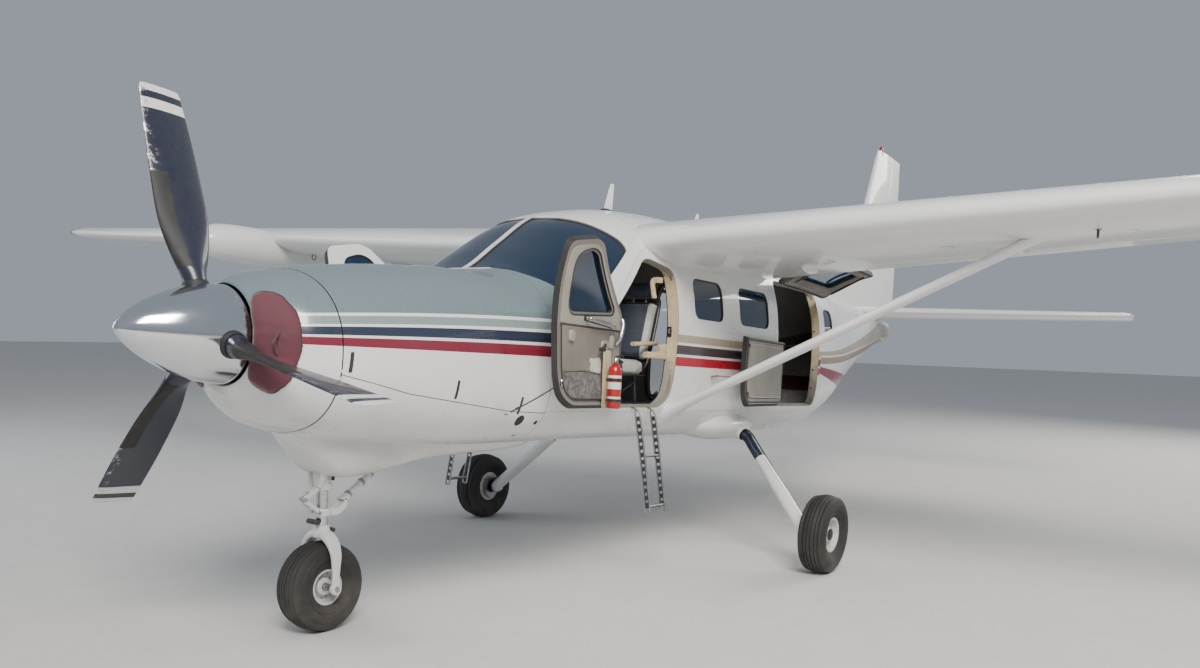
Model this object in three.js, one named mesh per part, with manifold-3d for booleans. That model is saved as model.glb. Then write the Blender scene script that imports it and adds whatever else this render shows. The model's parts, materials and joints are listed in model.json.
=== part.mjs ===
// Single-engine turboprop utility plane: strut-braced high wing, fixed tricycle gear, doors open.
// Lengths are millimetres. In the airframe's frame x points to port, y aft from the spinner's
// tip and z up from a level cabin floor; the airframe then stands nose-high on its gear.
import * as THREE from 'three';
import { mergeVertices } from 'three/addons/utils/BufferGeometryUtils.js';
import Module from 'manifold-3d';

const wasm = await Module();
wasm.setup();

// Driving dimensions
const NOSE_UP = THREE.MathUtils.degToRad(2.4);
const MID_LENGTH = 5670.2;
const FIT = 0.4;
const SKIN = 42;

// Fuselage stations: y, top, bottom, half width, height of the widest point,
// then the exponents that square the upper and the lower half of the section
const COWL_STATIONS = [
  [600, 1900, 1165, 400, 1570, 2.1, 2.1],
  [880, 1975, 1040, 565, 1540, 2.2, 2.3],
  [1300, 2045, 985, 675, 1520, 2.4, 2.5],
  [1850, 2100, 970, 745, 1520, 2.7, 2.8],
  [2400, 2145, 975, 790, 1520, 3.0, 3.2],
];
const CABIN_STATIONS = [
  [2400, 2145, 975, 790, 1520, 3.0, 3.2],
  [2720, 2352, 980, 806, 1560, 2.8, 3.4],
  [3040, 2560, 985, 816, 1600, 2.6, 3.6],
  [3500, 2700, 985, 824, 1620, 2.6, 3.8],
  [4000, 2765, 985, 828, 1640, 2.6, 4.0],
  [5000, 2790, 985, 828, 1640, 2.7, 4.0],
  [6000, 2775, 985, 820, 1640, 2.7, 4.0],
  [6900, 2700, 1030, 786, 1670, 2.7, 3.6],
  [7480, 2625, 1140, 728, 1720, 2.6, 3.0],
];
const TAIL_STATIONS = [
  [7480, 2625, 1140, 728, 1720, 2.6, 3.0],
  [8500, 2530, 1500, 530, 1880, 2.4, 2.5],
  [9600, 2460, 1830, 330, 2070, 2.2, 2.2],
  [10400, 2410, 2010, 190, 2190, 2.0, 2.0],
  [11000, 2370, 2130, 85, 2250, 2.0, 2.0],
];
const SECTION_POINTS = 24;
const COWL_SEAM = 880;
const FIREWALL = 2400;
const CABIN_END = 7480;

// Cabin cut lines in side view
const SILL = 1225;
const FLOOR_TOP = 1215;
const SIDE_TOP = 2425;
const FRAME_CUT = [[2300, 1900], [2975, 1900], [3490, 2350], [3640, 2425], [3640, 3100], [2300, 3100]];
const WINDSHIELD = [
  [2395, 2300], [2432, 2105], [2600, 1990], [2790, 1945], [3390, 2375], [3370, 2440], [3230, 2525],
  [3085, 2585], [3050, 2760],
];
const POST_HALF = 24;
const CREW_DOOR = [
  [3020, 1250], [3640, 1250], [3800, 1330], [3880, 1480], [3930, 1900], [3925, 2290], [3620, 2345],
  [3530, 2320], [3060, 1905], [3020, 1830],
];
const CARGO = { front: 5740, rear: 6800, bottom: 1262, split: 1850, top: 2405, corner: 70 };
const AIRSTAIR = { front: 6080, rear: 6740, bottom: 1262, split: 1850, top: 2405, corner: 70 };
const CABIN_WINDOWS = [
  [4180, 4660, 1945, 2262, 60],
  [4960, 5540, 1945, 2262, 60],
];
const WINDOW_STRIP = [4180, 5540, 1945, 2262, 60];
const AFT_WINDOW = [6965, 7260, 1960, 2240, 60];

// Lofting surface: the outline points of one fuselage station, shrunk all round by inset
function section(station, inset) {
  const [y, top, bottom, half, wide, upper, lower] = station;
  const ring = [];
  for (let i = 0; i < SECTION_POINTS; i++) {
    const angle = ((i + 0.5) / SECTION_POINTS) * 2 * Math.PI;
    const cos = Math.cos(angle);
    const sin = Math.sin(angle);
    const power = 2 / (sin > 0 ? upper : lower);
    const rise = sin > 0 ? top - wide - inset : wide - bottom - inset;
    const x = (half - inset) * Math.sign(cos) * Math.abs(cos) ** power;
    const z = wide + rise * Math.sign(sin) * Math.abs(sin) ** power;
    ring.push(new THREE.Vector3(x, y, z));
  }
  return ring;
}

// A closed body through rings of equal point counts, with a fan over each end; its faces split
// alike to port and to starboard, so mirrored pieces fit both sides
function loft(rings) {
  const count = rings[0].length;
  const positions = [];
  const index = [];
  rings.flat().forEach((p) => positions.push(p.x, p.y, p.z));
  for (let r = 0; r + 1 < rings.length; r++) {
    for (let i = 0; i < count; i++) {
      const j = (i + 1) % count;
      const a = r * count + i;
      const b = r * count + j;
      const port = rings[r][i].x + rings[r][j].x > 0;
      const [near, far] = port ? [a, b + count] : [b, a + count];
      index.push(...(port ? [near, b, far, near, far, a + count] : [a, near, far, near, b + count, far]));
    }
  }
  [0, rings.length - 1].forEach((r) => {
    const middle = new THREE.Vector3();
    rings[r].forEach((p) => middle.add(p));
    middle.divideScalar(count);
    positions.push(middle.x, middle.y, middle.z);
    const hub = positions.length / 3 - 1;
    for (let i = 0; i < count; i++) {
      const a = r * count + i;
      const b = r * count + ((i + 1) % count);
      index.push(...(r === 0 ? [hub, b, a] : [hub, a, b]));
    }
  });
  const geometry = new THREE.BufferGeometry();
  geometry.setAttribute('position', new THREE.Float32BufferAttribute(positions, 3));
  geometry.setIndex(index);
  return solid(geometry);
}

// A three.js geometry as a solid, turned outward if its faces point inward
function solid(geometry) {
  const plain = geometry.clone();
  plain.deleteAttribute('normal');
  plain.deleteAttribute('uv');
  const merged = mergeVertices(plain, 1e-3);
  const triVerts = new Uint32Array(merged.index.array);
  const vertProperties = new Float32Array(merged.attributes.position.array);
  if (signedVolume(vertProperties, triVerts) < 0) {
    for (let i = 0; i < triVerts.length; i += 3) {
      [triVerts[i + 1], triVerts[i + 2]] = [triVerts[i + 2], triVerts[i + 1]];
    }
  }
  return new wasm.Manifold(new wasm.Mesh({ numProp: 3, vertProperties, triVerts }));
}

function signedVolume(points, index) {
  const [a, b, c] = [new THREE.Vector3(), new THREE.Vector3(), new THREE.Vector3()];
  let volume = 0;
  for (let i = 0; i < index.length; i += 3) {
    a.fromArray(points, index[i] * 3);
    b.fromArray(points, index[i + 1] * 3);
    c.fromArray(points, index[i + 2] * 3);
    volume += a.dot(b.cross(c));
  }
  return volume;
}

// Prisms from an outline in side view (y, z), front view (x, z) or plan (x, y)
function prism(points, from, to, across, up, along) {
  const shape = new THREE.Shape(points.map(([u, v]) => new THREE.Vector2(u, v)));
  const geometry = new THREE.ExtrudeGeometry(shape, { depth: to - from, bevelEnabled: false });
  geometry.translate(0, 0, from);
  geometry.applyMatrix4(new THREE.Matrix4().makeBasis(across, up, along));
  return solid(geometry);
}

const X = new THREE.Vector3(1, 0, 0);
const Y = new THREE.Vector3(0, 1, 0);
const Z = new THREE.Vector3(0, 0, 1);
const sidePrism = (points, from, to) => prism(points, from, to, Y, Z, X);
const planPrism = (points, from, to) => prism(points, from, to, X, Y, Z);
const frontPrism = (points, from, to) => prism(points, -to, -from, X, Z, Y.clone().negate());

function box(x0, x1, y0, y1, z0, z1) {
  const geometry = new THREE.BoxGeometry(x1 - x0, y1 - y0, z1 - z0);
  geometry.translate((x0 + x1) / 2, (y0 + y1) / 2, (z0 + z1) / 2);
  return solid(geometry);
}

// A round rod between two points, with an optional second radius at its far end
function rod(from, to, radius, sides = 12, farRadius = radius) {
  const a = new THREE.Vector3(...from);
  const b = new THREE.Vector3(...to);
  const axis = b.clone().sub(a);
  const geometry = new THREE.CylinderGeometry(farRadius, radius, axis.length(), sides);
  geometry.applyQuaternion(new THREE.Quaternion().setFromUnitVectors(Y, axis.clone().normalize()));
  geometry.translate(...a.add(b).divideScalar(2).toArray());
  return solid(geometry);
}

// A bent tube along a smooth line through the points
function tube(points, radius, steps = 12, sides = 8) {
  const path = new THREE.CatmullRomCurve3(points.map((p) => new THREE.Vector3(...p)), false, 'centripetal');
  const shape = new THREE.Shape();
  for (let i = 0; i < sides; i++) {
    const angle = (i / sides) * 2 * Math.PI;
    const corner = [radius * Math.cos(angle), radius * Math.sin(angle)];
    if (i === 0) shape.moveTo(...corner);
    else shape.lineTo(...corner);
  }
  const geometry = new THREE.ExtrudeGeometry(shape, { steps, extrudePath: path, bevelEnabled: false });
  return solid(geometry);
}

// A turned part: the profile lists (radius, place along the axis) from axis to axis
function turned(profile, segments, centre, axis) {
  const geometry = new THREE.LatheGeometry(profile.map(([r, h]) => new THREE.Vector2(r, h)), segments);
  geometry.applyQuaternion(new THREE.Quaternion().setFromUnitVectors(Y, axis));
  geometry.translate(...centre);
  return solid(geometry);
}

function roundedOutline(u0, u1, v0, v1, radius, steps = 3) {
  const corners = [[u1 - radius, v1 - radius], [u0 + radius, v1 - radius], [u0 + radius, v0 + radius],
    [u1 - radius, v0 + radius]];
  return corners.flatMap(([u, v], quarter) => Array.from({ length: steps + 1 }, (_, i) => {
    const angle = (quarter + i / steps) * (Math.PI / 2);
    return [u + radius * Math.cos(angle), v + radius * Math.sin(angle)];
  }));
}

// An outline moved inward by a gap, or outward where the gap is negative
function inset(points, gap) {
  const area = points.reduce((sum, [u, v], i) => {
    const [p, q] = points[(i + 1) % points.length];
    return sum + u * q - p * v;
  }, 0);
  const turn = Math.sign(area);
  return points.map((point, i) => {
    const before = points[(i + points.length - 1) % points.length];
    const after = points[(i + 1) % points.length];
    const [n1, n2] = [[before, point], [point, after]].map(([a, b]) => {
      const length = Math.hypot(b[0] - a[0], b[1] - a[1]);
      return [(-turn * (b[1] - a[1])) / length, (turn * (b[0] - a[0])) / length];
    });
    const scale = gap / (1 + n1[0] * n2[0] + n1[1] * n2[1]);
    return [point[0] + (n1[0] + n2[0]) * scale, point[1] + (n1[1] + n2[1]) * scale];
  });
}

const mirrored = (body, side) => (side > 0 ? body : body.mirror([1, 0, 0]));
const unite = (bodies) => bodies.reduce((sum, body) => sum.add(body));
const larger = (a, b) => (b.volume() > a.volume() ? b : a);
const biggest = (body) => body.decompose().reduce(larger);
const sideName = (side) => (side > 0 ? 'left' : 'right');

// Finishes: colour, roughness, metalness
const FINISHES = {
  white: [0xe9e9e6, 0.35, 0.1],
  grey: [0x8f9699, 0.4, 0.1],
  polished: [0xc9ced2, 0.15, 1],
  steel: [0x8d9196, 0.35, 0.9],
  dark: [0x1d1f23, 0.6, 0.2],
  blade: [0x14182a, 0.4, 0.2],
  glass: [0x3d5c63, 0.05, 0],
  rubber: [0x151515, 0.9, 0],
  maroon: [0x5b2232, 0.8, 0],
  trim: [0xb9b3a3, 0.7, 0],
  leather: [0x3a3b40, 0.6, 0],
};

const airframe = new THREE.Group();

function addPart(name, body, finish, parent = airframe) {
  const mesh = body.getMesh();
  const geometry = new THREE.BufferGeometry();
  geometry.setAttribute('position', new THREE.Float32BufferAttribute(mesh.vertProperties, 3));
  geometry.setIndex([...mesh.triVerts]);
  geometry.computeVertexNormals();
  const [color, roughness, metalness] = FINISHES[finish];
  const part = new THREE.Mesh(geometry, new THREE.MeshStandardMaterial({ color, roughness, metalness }));
  part.name = name;
  parent.add(part);
  return part;
}

// A group turned about a hinge line, for what is parked away from its closed place
function swungGroup(hinge, axis, degrees) {
  const group = new THREE.Group();
  const turn = new THREE.Matrix4().makeRotationAxis(axis, THREE.MathUtils.degToRad(degrees));
  const there = new THREE.Matrix4().makeTranslation(...hinge);
  const back = new THREE.Matrix4().makeTranslation(...hinge.map((v) => -v));
  group.applyMatrix4(there.multiply(turn).multiply(back));
  airframe.add(group);
  return group;
}

const fuselage = (stations, shrink) => loft(stations.map((station) => section(station, shrink)));

// Cabin shell, split where its panels meet
const cabinOuter = fuselage(CABIN_STATIONS, 0);
const cabinRoom = fuselage([
  [FIREWALL + 60, ...CABIN_STATIONS[0].slice(1)],
  ...CABIN_STATIONS.slice(1, -1),
  [CABIN_END + 1, ...CABIN_STATIONS.at(-1).slice(1)],
], SKIN);
const shell = cabinOuter.subtract(cabinRoom);
const GLASS = { outside: 14, inside: 22 };
const layerBetween = (shallow, deep) => (
  fuselage(CABIN_STATIONS, shallow).subtract(fuselage(CABIN_STATIONS, deep)));
const glassLayer = layerBetween(GLASS.outside, GLASS.inside);
const glassSlot = layerBetween(GLASS.outside - FIT, GLASS.inside + FIT);
const hatchOutline = ({ front, rear, bottom, top, corner }) => (
  roundedOutline(front, rear, bottom, top, corner));
const OUTBOARD = 1000;

const sideCut = (points, side, from = 400, to = OUTBOARD) => (
  side > 0 ? sidePrism(points, from, to) : sidePrism(points, -to, -from));

function doorCut(side) {
  const hatch = side > 0 ? CARGO : AIRSTAIR;
  return sideCut(CREW_DOOR, side).add(sideCut(hatchOutline(hatch), side));
}

function windowCut(side) {
  const outlines = [...CABIN_WINDOWS, AFT_WINDOW].map((w) => roundedOutline(...w));
  const slot = glassSlot.intersect(sideCut(roundedOutline(...WINDOW_STRIP), side));
  return unite([slot, ...outlines.map((points) => sideCut(points, side))]);
}

// Doors: panels of the cabin's own shell, parked open on their hinges
const DOOR_GAP = 7;
const CREW_HINGE = [842, 3010, 1250];
const CREW_OPEN = 172;
const CARGO_SIDE_HINGE = [838, 5730, 1500];
const CARGO_LOWER_OPEN = 174;
const UPPER_HINGE = [735, 5740, 2412];
const UPPER_OPEN = 102;
const STAIR_HINGE = [812, 6100, 1246];
const STAIR_OPEN = 128;

// Knuckles in pairs along a hinge line: one on a bar from the body, the next on a cranked bar to the
// leaf. The line runs up (Z) or along the cabin (Y); leafward is where the closed leaf lies from it.
const UPPER_DEPTH = 92;
const KNUCKLE = { radius: 11, height: 28, depth: 64, reach: 50, start: 22 };
function hingePieces(at, alongY, leafward, places, depth = KNUCKLE.depth) {
  const [x, y, z] = at;
  const { radius, height, reach, start } = KNUCKLE;
  const bar = (inboard, outboard, from, to, t) => {
    const [low, high] = [Math.min(from * leafward, to * leafward), Math.max(from * leafward, to * leafward)];
    return alongY ? box(x - inboard, x + outboard, t, t + height, z + low, z + high)
      : box(x - inboard, x + outboard, y + low, y + high, t, t + height);
  };
  const knuckle = (t) => (alongY ? rod([x, t, z], [x, t + height, z], radius, 8)
    : rod([x, y, t], [x, y, t + height], radius, 8));
  const fixed = unite(places.flatMap((t) => [knuckle(t), bar(depth, 9, -11, 4, t)]));
  const moving = unite(places.flatMap((t) => {
    const next = t + height + FIT;
    return [knuckle(next), bar(8, 9, -6, reach, next), bar(depth, 9, start, reach, next)];
  }));
  return { fixed, moving };
}

const hinges = {
  crew: hingePieces(CREW_HINGE, false, 1, [1330, 1700]),
  cargoLower: hingePieces(CARGO_SIDE_HINGE, false, 1, [1340, 1700]),
  upper: { left: hingePieces(UPPER_HINGE, true, -1, [5900, 6500], UPPER_DEPTH) },
};
const stairHinge = hingePieces(STAIR_HINGE, true, 1, [6180, 6520]);
hinges.upper.right = hingePieces(UPPER_HINGE, true, -1, [6180, 6520], UPPER_DEPTH);

function makeCabinPanels() {
  const belly = box(-OUTBOARD, OUTBOARD, 2000, 8000, 500, SILL);
  const frontFrame = sidePrism(FRAME_CUT, -OUTBOARD, OUTBOARD);
  const roofZone = box(-OUTBOARD, OUTBOARD, 3640 + FIT, 8000, SIDE_TOP, 3200);
  const screens = [-1, 1].map((side) => sideCut(WINDSHIELD, side, POST_HALF));
  addPart('cabin_belly', shell.intersect(belly), 'white');
  const grownFrame = sidePrism(inset(FRAME_CUT, -FIT), -OUTBOARD, OUTBOARD);
  const doorways = doorCut(1).add(doorCut(-1));
  const frame = shell.intersect(frontFrame).subtract(unite(screens)).subtract(doorways);
  addPart('windshield_frame', frame, 'white');
  addPart('cabin_roof', addAntennas(shell.intersect(roofZone)), 'white');
  [1, -1].forEach((side) => {
    const half = side > 0 ? box(FIT / 2, OUTBOARD, 2000, 8000, SILL + FIT, SIDE_TOP - FIT)
      : box(-OUTBOARD, -FIT / 2, 2000, 8000, SILL + FIT, SIDE_TOP - FIT);
    const name = sideName(side);
    const hatchHinge = side > 0 ? hinges.cargoLower : stairHinge;
    const fixedHinges = unite([hinges.crew, hinges.upper[name], hatchHinge].map((h) => h.fixed));
    const openings = doorCut(side).add(windowCut(side));
    const panel = shell.intersect(half).subtract(grownFrame).subtract(openings);
    addPart(`cabin_side_${name}`, panel.add(mirrored(fixedHinges, side)), 'white');
  });
}

// Two swept blade antennas and a whip stand on the roof
function addAntennas(roof) {
  const blade = (y, height, sweep) => sidePrism(
    [[y, 2690], [y + 130, 2690], [y + sweep + 45, 2740 + height], [y + sweep, 2740 + height]], -7, 7);
  const whip = rod([-150, 4250, 2700], [-150, 4270, 2900], 6, 6);
  return unite([roof, blade(4020, 265, 90), blade(5450, 250, 90), whip]);
}

function makeGlazing() {
  const screen = inset(WINDSHIELD, FIT);
  [1, -1].forEach((side) => {
    const name = sideName(side);
    addPart(`windshield_${name}`, glassLayer.intersect(sideCut(screen, side, POST_HALF + FIT)), 'glass');
    [['windows', WINDOW_STRIP], ['window_aft', AFT_WINDOW]].forEach(([kind, outline]) => {
      const pane = glassLayer.intersect(sideCut(inset(roundedOutline(...outline), FIT), side));
      addPart(`${kind}_${name}`, pane, 'glass');
    });
  });
}

// Bulk of the cabin: floor, panel and the two front seats
const room = fuselage([
  [FIREWALL + 60 + FIT, ...CABIN_STATIONS[0].slice(1)],
  ...CABIN_STATIONS.slice(1, -1),
  [CABIN_END - FIT, ...CABIN_STATIONS.at(-1).slice(1)],
], SKIN + FIT);

const PANEL = [[2700, 1640], [2820, 1640], [2790, 1985], [2600, 2010], [2560, 1900]];
const SEAT = {
  x: 390, half: 230, backHalf: 220, baseHalf: 170, front: 3360, rear: 3860, low: 1480, high: 1610,
};
const SEAT_BACK = [[3800, 1560], [3900, 1560], [4060, 2230], [3980, 2230]];

function makeInterior() {
  const plate = box(-OUTBOARD, OUTBOARD, 2000, CABIN_END - 60, FLOOR_TOP - 40, FLOOR_TOP);
  addPart('cabin_floor', room.intersect(plate), 'dark');
  addPart('instrument_panel', room.intersect(sidePrism(PANEL, -OUTBOARD, OUTBOARD)), 'dark');
  const { x, half, backHalf, baseHalf, front, rear, low, high } = SEAT;
  [1, -1].forEach((side) => {
    const middle = side * x;
    const cushion = box(middle - half, middle + half, front, rear, low, high);
    const back = sidePrism(SEAT_BACK, middle - backHalf, middle + backHalf);
    const base = box(middle - baseHalf, middle + baseHalf, front + 60, rear - 60, FLOOR_TOP + FIT, low + 10);
    addPart(`seat_${sideName(side)}`, unite([cushion, back, base]), 'leather');
  });
}

// Tail cone: a hollow shell that opens into the cabin, slotted for the elevator's torque tube
const TAIL_SKIN = 18;
const tailRoom = fuselage([
  [CABIN_END - 5, ...TAIL_STATIONS[0].slice(1)],
  ...TAIL_STATIONS.slice(1, 3),
  [10000, 2435, 1920, 260, 2130, 2.1, 2.1],
], TAIL_SKIN);

// A lifting surface: airfoil outlines at rising stations, each the row
// place along the span, leading edge aft and up, chord, thickness and camber as parts of it, incidence
const FOIL_POINTS = 9;
function foil(station, grow = 0) {
  const [span, lead, height, chord, thickness, camber, incidence] = station;
  const tilt = THREE.MathUtils.degToRad(incidence);
  const shapeOf = (side) => Array.from({ length: FOIL_POINTS }, (_, i) => {
    const u = (1 - Math.cos((Math.PI * i) / (FOIL_POINTS - 1))) / 2;
    const half = 5 * thickness * (0.2969 * Math.sqrt(u) - 0.126 * u - 0.3516 * u ** 2 + 0.2843 * u ** 3
      - 0.1015 * u ** 4);
    return [u * chord, (4 * camber * u * (1 - u) + side * half) * chord + side * (grow + 2)];
  });
  const outline = [...shapeOf(1), ...shapeOf(-1).reverse()];
  return outline.map(([along, up]) => [span, lead + along * Math.cos(tilt) + up * Math.sin(tilt),
    height - along * Math.sin(tilt) + up * Math.cos(tilt)]);
}
const spanwise = (stations, grow) => loft(stations.map((s) => foil(s, grow)
  .map((p) => new THREE.Vector3(...p))));
const upright = (stations, grow) => loft(stations.map((s) => foil(s, grow)
  .map(([span, along, across]) => new THREE.Vector3(across, along, span))));

const WING_STATIONS = [
  [250, 3602, 2467, 2060, 0.174, 0.02, 2.6],
  [3400, 3703, 2627, 1730, 0.155, 0.02, 1.8],
  [7700, 3841, 2845, 1240, 0.12, 0.02, 0.2],
  [7880, 3880, 2858, 1120, 0.10, 0.02, 0],
  [7935, 3990, 2866, 880, 0.05, 0.02, 0],
];
const wingAt = (span) => {
  const upper = WING_STATIONS.findIndex((s) => s[0] >= span);
  const [a, b] = [WING_STATIONS[upper - 1], WING_STATIONS[upper]];
  const t = (span - a[0]) / (b[0] - a[0]);
  return a.map((v, i) => v + (b[i] - v) * t);
};
const FLAP = { root: 1000, tip: 5200, chordAt: 0.745 };
const AILERON = { root: 5230, tip: 7640, chordAt: 0.755 };

// Where a surface's hinge line lies in the wing, and the wing's half thickness there
function hingePoint(span, chordAt) {
  const [, lead, height, chord, thickness, camber, incidence] = wingAt(span);
  const tilt = THREE.MathUtils.degToRad(incidence);
  const u = chordAt;
  const half = 5 * thickness * (0.2969 * Math.sqrt(u) - 0.126 * u - 0.3516 * u ** 2 + 0.2843 * u ** 3
    - 0.1015 * u ** 4) * chord;
  const up = 4 * camber * u * (1 - u) * chord;
  const centre = [span, lead + u * chord * Math.cos(tilt) + up * Math.sin(tilt),
    height - u * chord * Math.sin(tilt) + up * Math.cos(tilt)];
  return { centre, half };
}

const COVE_GAP = 9;
const BEARING_GAP = -0.2;
const BORE_SIDES = 32;

// Bearings end ahead of the hinge line by this share of the nose's radius, clear of the swinging corners
const BEARING_BACK = 0.56;
const BEARING_FRONT = 120;
function wingSurface(wing, { root, tip, chordAt }) {
  const inner = hingePoint(root, chordAt);
  const outer = hingePoint(tip, chordAt);
  const behind = (grow, ends) => planPrism([
    [root - ends, inner.centre[1] - grow], [tip + ends, outer.centre[1] - grow],
    [tip + ends, outer.centre[1] + 900], [root - ends, inner.centre[1] + 900],
  ], 2000, 3400);
  const nose = (grow, ends, sides = 16) => {
    const a = new THREE.Vector3(...inner.centre);
    const b = new THREE.Vector3(...outer.centre);
    const along = b.clone().sub(a).normalize().multiplyScalar(ends);
    return rod(a.sub(along).toArray(), b.add(along).toArray(), inner.half + grow, sides, outer.half + grow);
  };
  const surface = wing.intersect(behind(0, 0)).add(nose(-1, -4));
  const cove = behind(0, 12).add(nose(COVE_GAP, 12));
  const ahead = planPrism([
    [root, inner.centre[1] - BEARING_FRONT], [tip, outer.centre[1] - BEARING_FRONT],
    [tip, outer.centre[1] - BEARING_BACK * outer.half], [root, inner.centre[1] - BEARING_BACK * inner.half],
  ], 2000, 3400);
  const slices = [0.1, 0.9].map((t) => root + (tip - root) * t)
    .map((x) => box(x - 10, x + 10, 3000, 6500, 2000, 3400));
  const bearings = wing.intersect(ahead).intersect(unite(slices)).subtract(nose(BEARING_GAP, -4, BORE_SIDES));
  return { surface, cove, bearings };
}

function makeWings() {
  const whole = spanwise(WING_STATIONS).subtract(fuselage(CABIN_STATIONS, -FIT));
  const flap = wingSurface(whole, FLAP);
  const aileron = wingSurface(whole, AILERON);
  const fixed = whole.subtract(flap.cove).subtract(aileron.cove).add(flap.bearings).add(aileron.bearings);
  [1, -1].forEach((side) => {
    const name = sideName(side);
    addPart(`wing_${name}`, mirrored(fixed, side), 'white');
    addPart(`flap_${name}`, mirrored(flap.surface, side), 'white');
    addPart(`aileron_${name}`, mirrored(aileron.surface, side), 'white');
  });
}

// Struts run from the belly's edge to mid-chord under the wing
const STRUT = { foot: [770, 3945, 1215], top: [3430, 4330, 2600], chord: 190, thickness: 74 };
function makeStruts() {
  const [a, b] = [STRUT.foot, STRUT.top];
  const ring = ([x, y, z], scale) => Array.from({ length: 14 }, (_, i) => {
    const angle = (i / 14) * 2 * Math.PI;
    const taper = Math.cos(angle) > 0 ? 1 : 0.7;
    return new THREE.Vector3(x, y + (STRUT.chord / 2) * scale * Math.cos(angle),
      z + (STRUT.thickness / 2) * scale * taper * Math.sin(angle));
  });
  const strut = loft([ring(a, 1.25), ring(a.map((v, i) => v + (b[i] - v) * 0.09), 1),
    ring(a.map((v, i) => v + (b[i] - v) * 0.93), 1), ring(b, 1.3)]);
  const grown = spanwise(WING_STATIONS, FIT);
  const fitted = strut.subtract(grown).subtract(fuselage(CABIN_STATIONS, -FIT));
  [1, -1].forEach((side) => addPart(`strut_${sideName(side)}`, mirrored(fitted, side), 'white'));
}

// Weather pod ahead of the right wing's leading edge
const POD = { x: -3920, z: 2545, nose: 2990, tail: 4700, radius: 178 };
function makePod() {
  const profile = [[0, POD.nose], [60, POD.nose + 18], [115, POD.nose + 75], [160, POD.nose + 190],
    [POD.radius, POD.nose + 400], [POD.radius, POD.nose + 800], [120, POD.tail - 350], [0, POD.tail]];
  const body = turned(profile, 16, [POD.x, 0, POD.z], Y);
  const probe = rod([POD.x, POD.nose - 90, POD.z], [POD.x, POD.nose + 30, POD.z], 12, 8);
  const wing = spanwise(WING_STATIONS, FIT).mirror([1, 0, 0]);
  addPart('radar_pod', biggest(body.add(probe).subtract(wing)), 'white');
}

// Fin, tailplane and their hinged surfaces
const FIN_STATIONS = [
  [2380, 9050, 0, 2200, 0.062, 0, 0],
  [2900, 9480, 0, 1750, 0.07, 0, 0],
  [4380, 10120, 0, 960, 0.08, 0, 0],
  [4520, 10185, 0, 880, 0.05, 0, 0],
];
const DORSAL = [[7560, 2640], [8500, 2760], [9300, 3010], [9560, 3050], [9700, 2380], [7700, 2480]];
const RUDDER_LINE = { bottom: [10600, 2500], top: [10700, 4545], half: [66, 34] };
const STABILISER_STATIONS = [
  [-3125, 10150, 2440, 850, 0.075, 0, 0],
  [-3060, 10100, 2440, 900, 0.09, 0, 0],
  [0, 9735, 2440, 1320, 0.1, 0, 0],
  [3060, 10100, 2440, 900, 0.09, 0, 0],
  [3125, 10150, 2440, 850, 0.075, 0, 0],
];
const STABILISER = { height: 2440 };

// Hollows of the fin and tailplane, drained into the tail cone: place along the span, front,
// rear and half depth
const STABILISER_ROOM = [[-2950, 10200, 10440, 23], [0, 9900, 10440, 46], [2950, 10200, 10440, 23]];
const FIN_ROOM = [[2300, 9400, 10470, 44], [4330, 10235, 10600, 21]];
const roomRing = ([, front, rear, half]) => [[front, -half], [rear, -half], [rear, half], [front, half]];
const ELEVATOR_LINE = { y: 10545, half: 44, tipHalf: 33, root: 130, tip: 3050, cutback: 200 };

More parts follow.
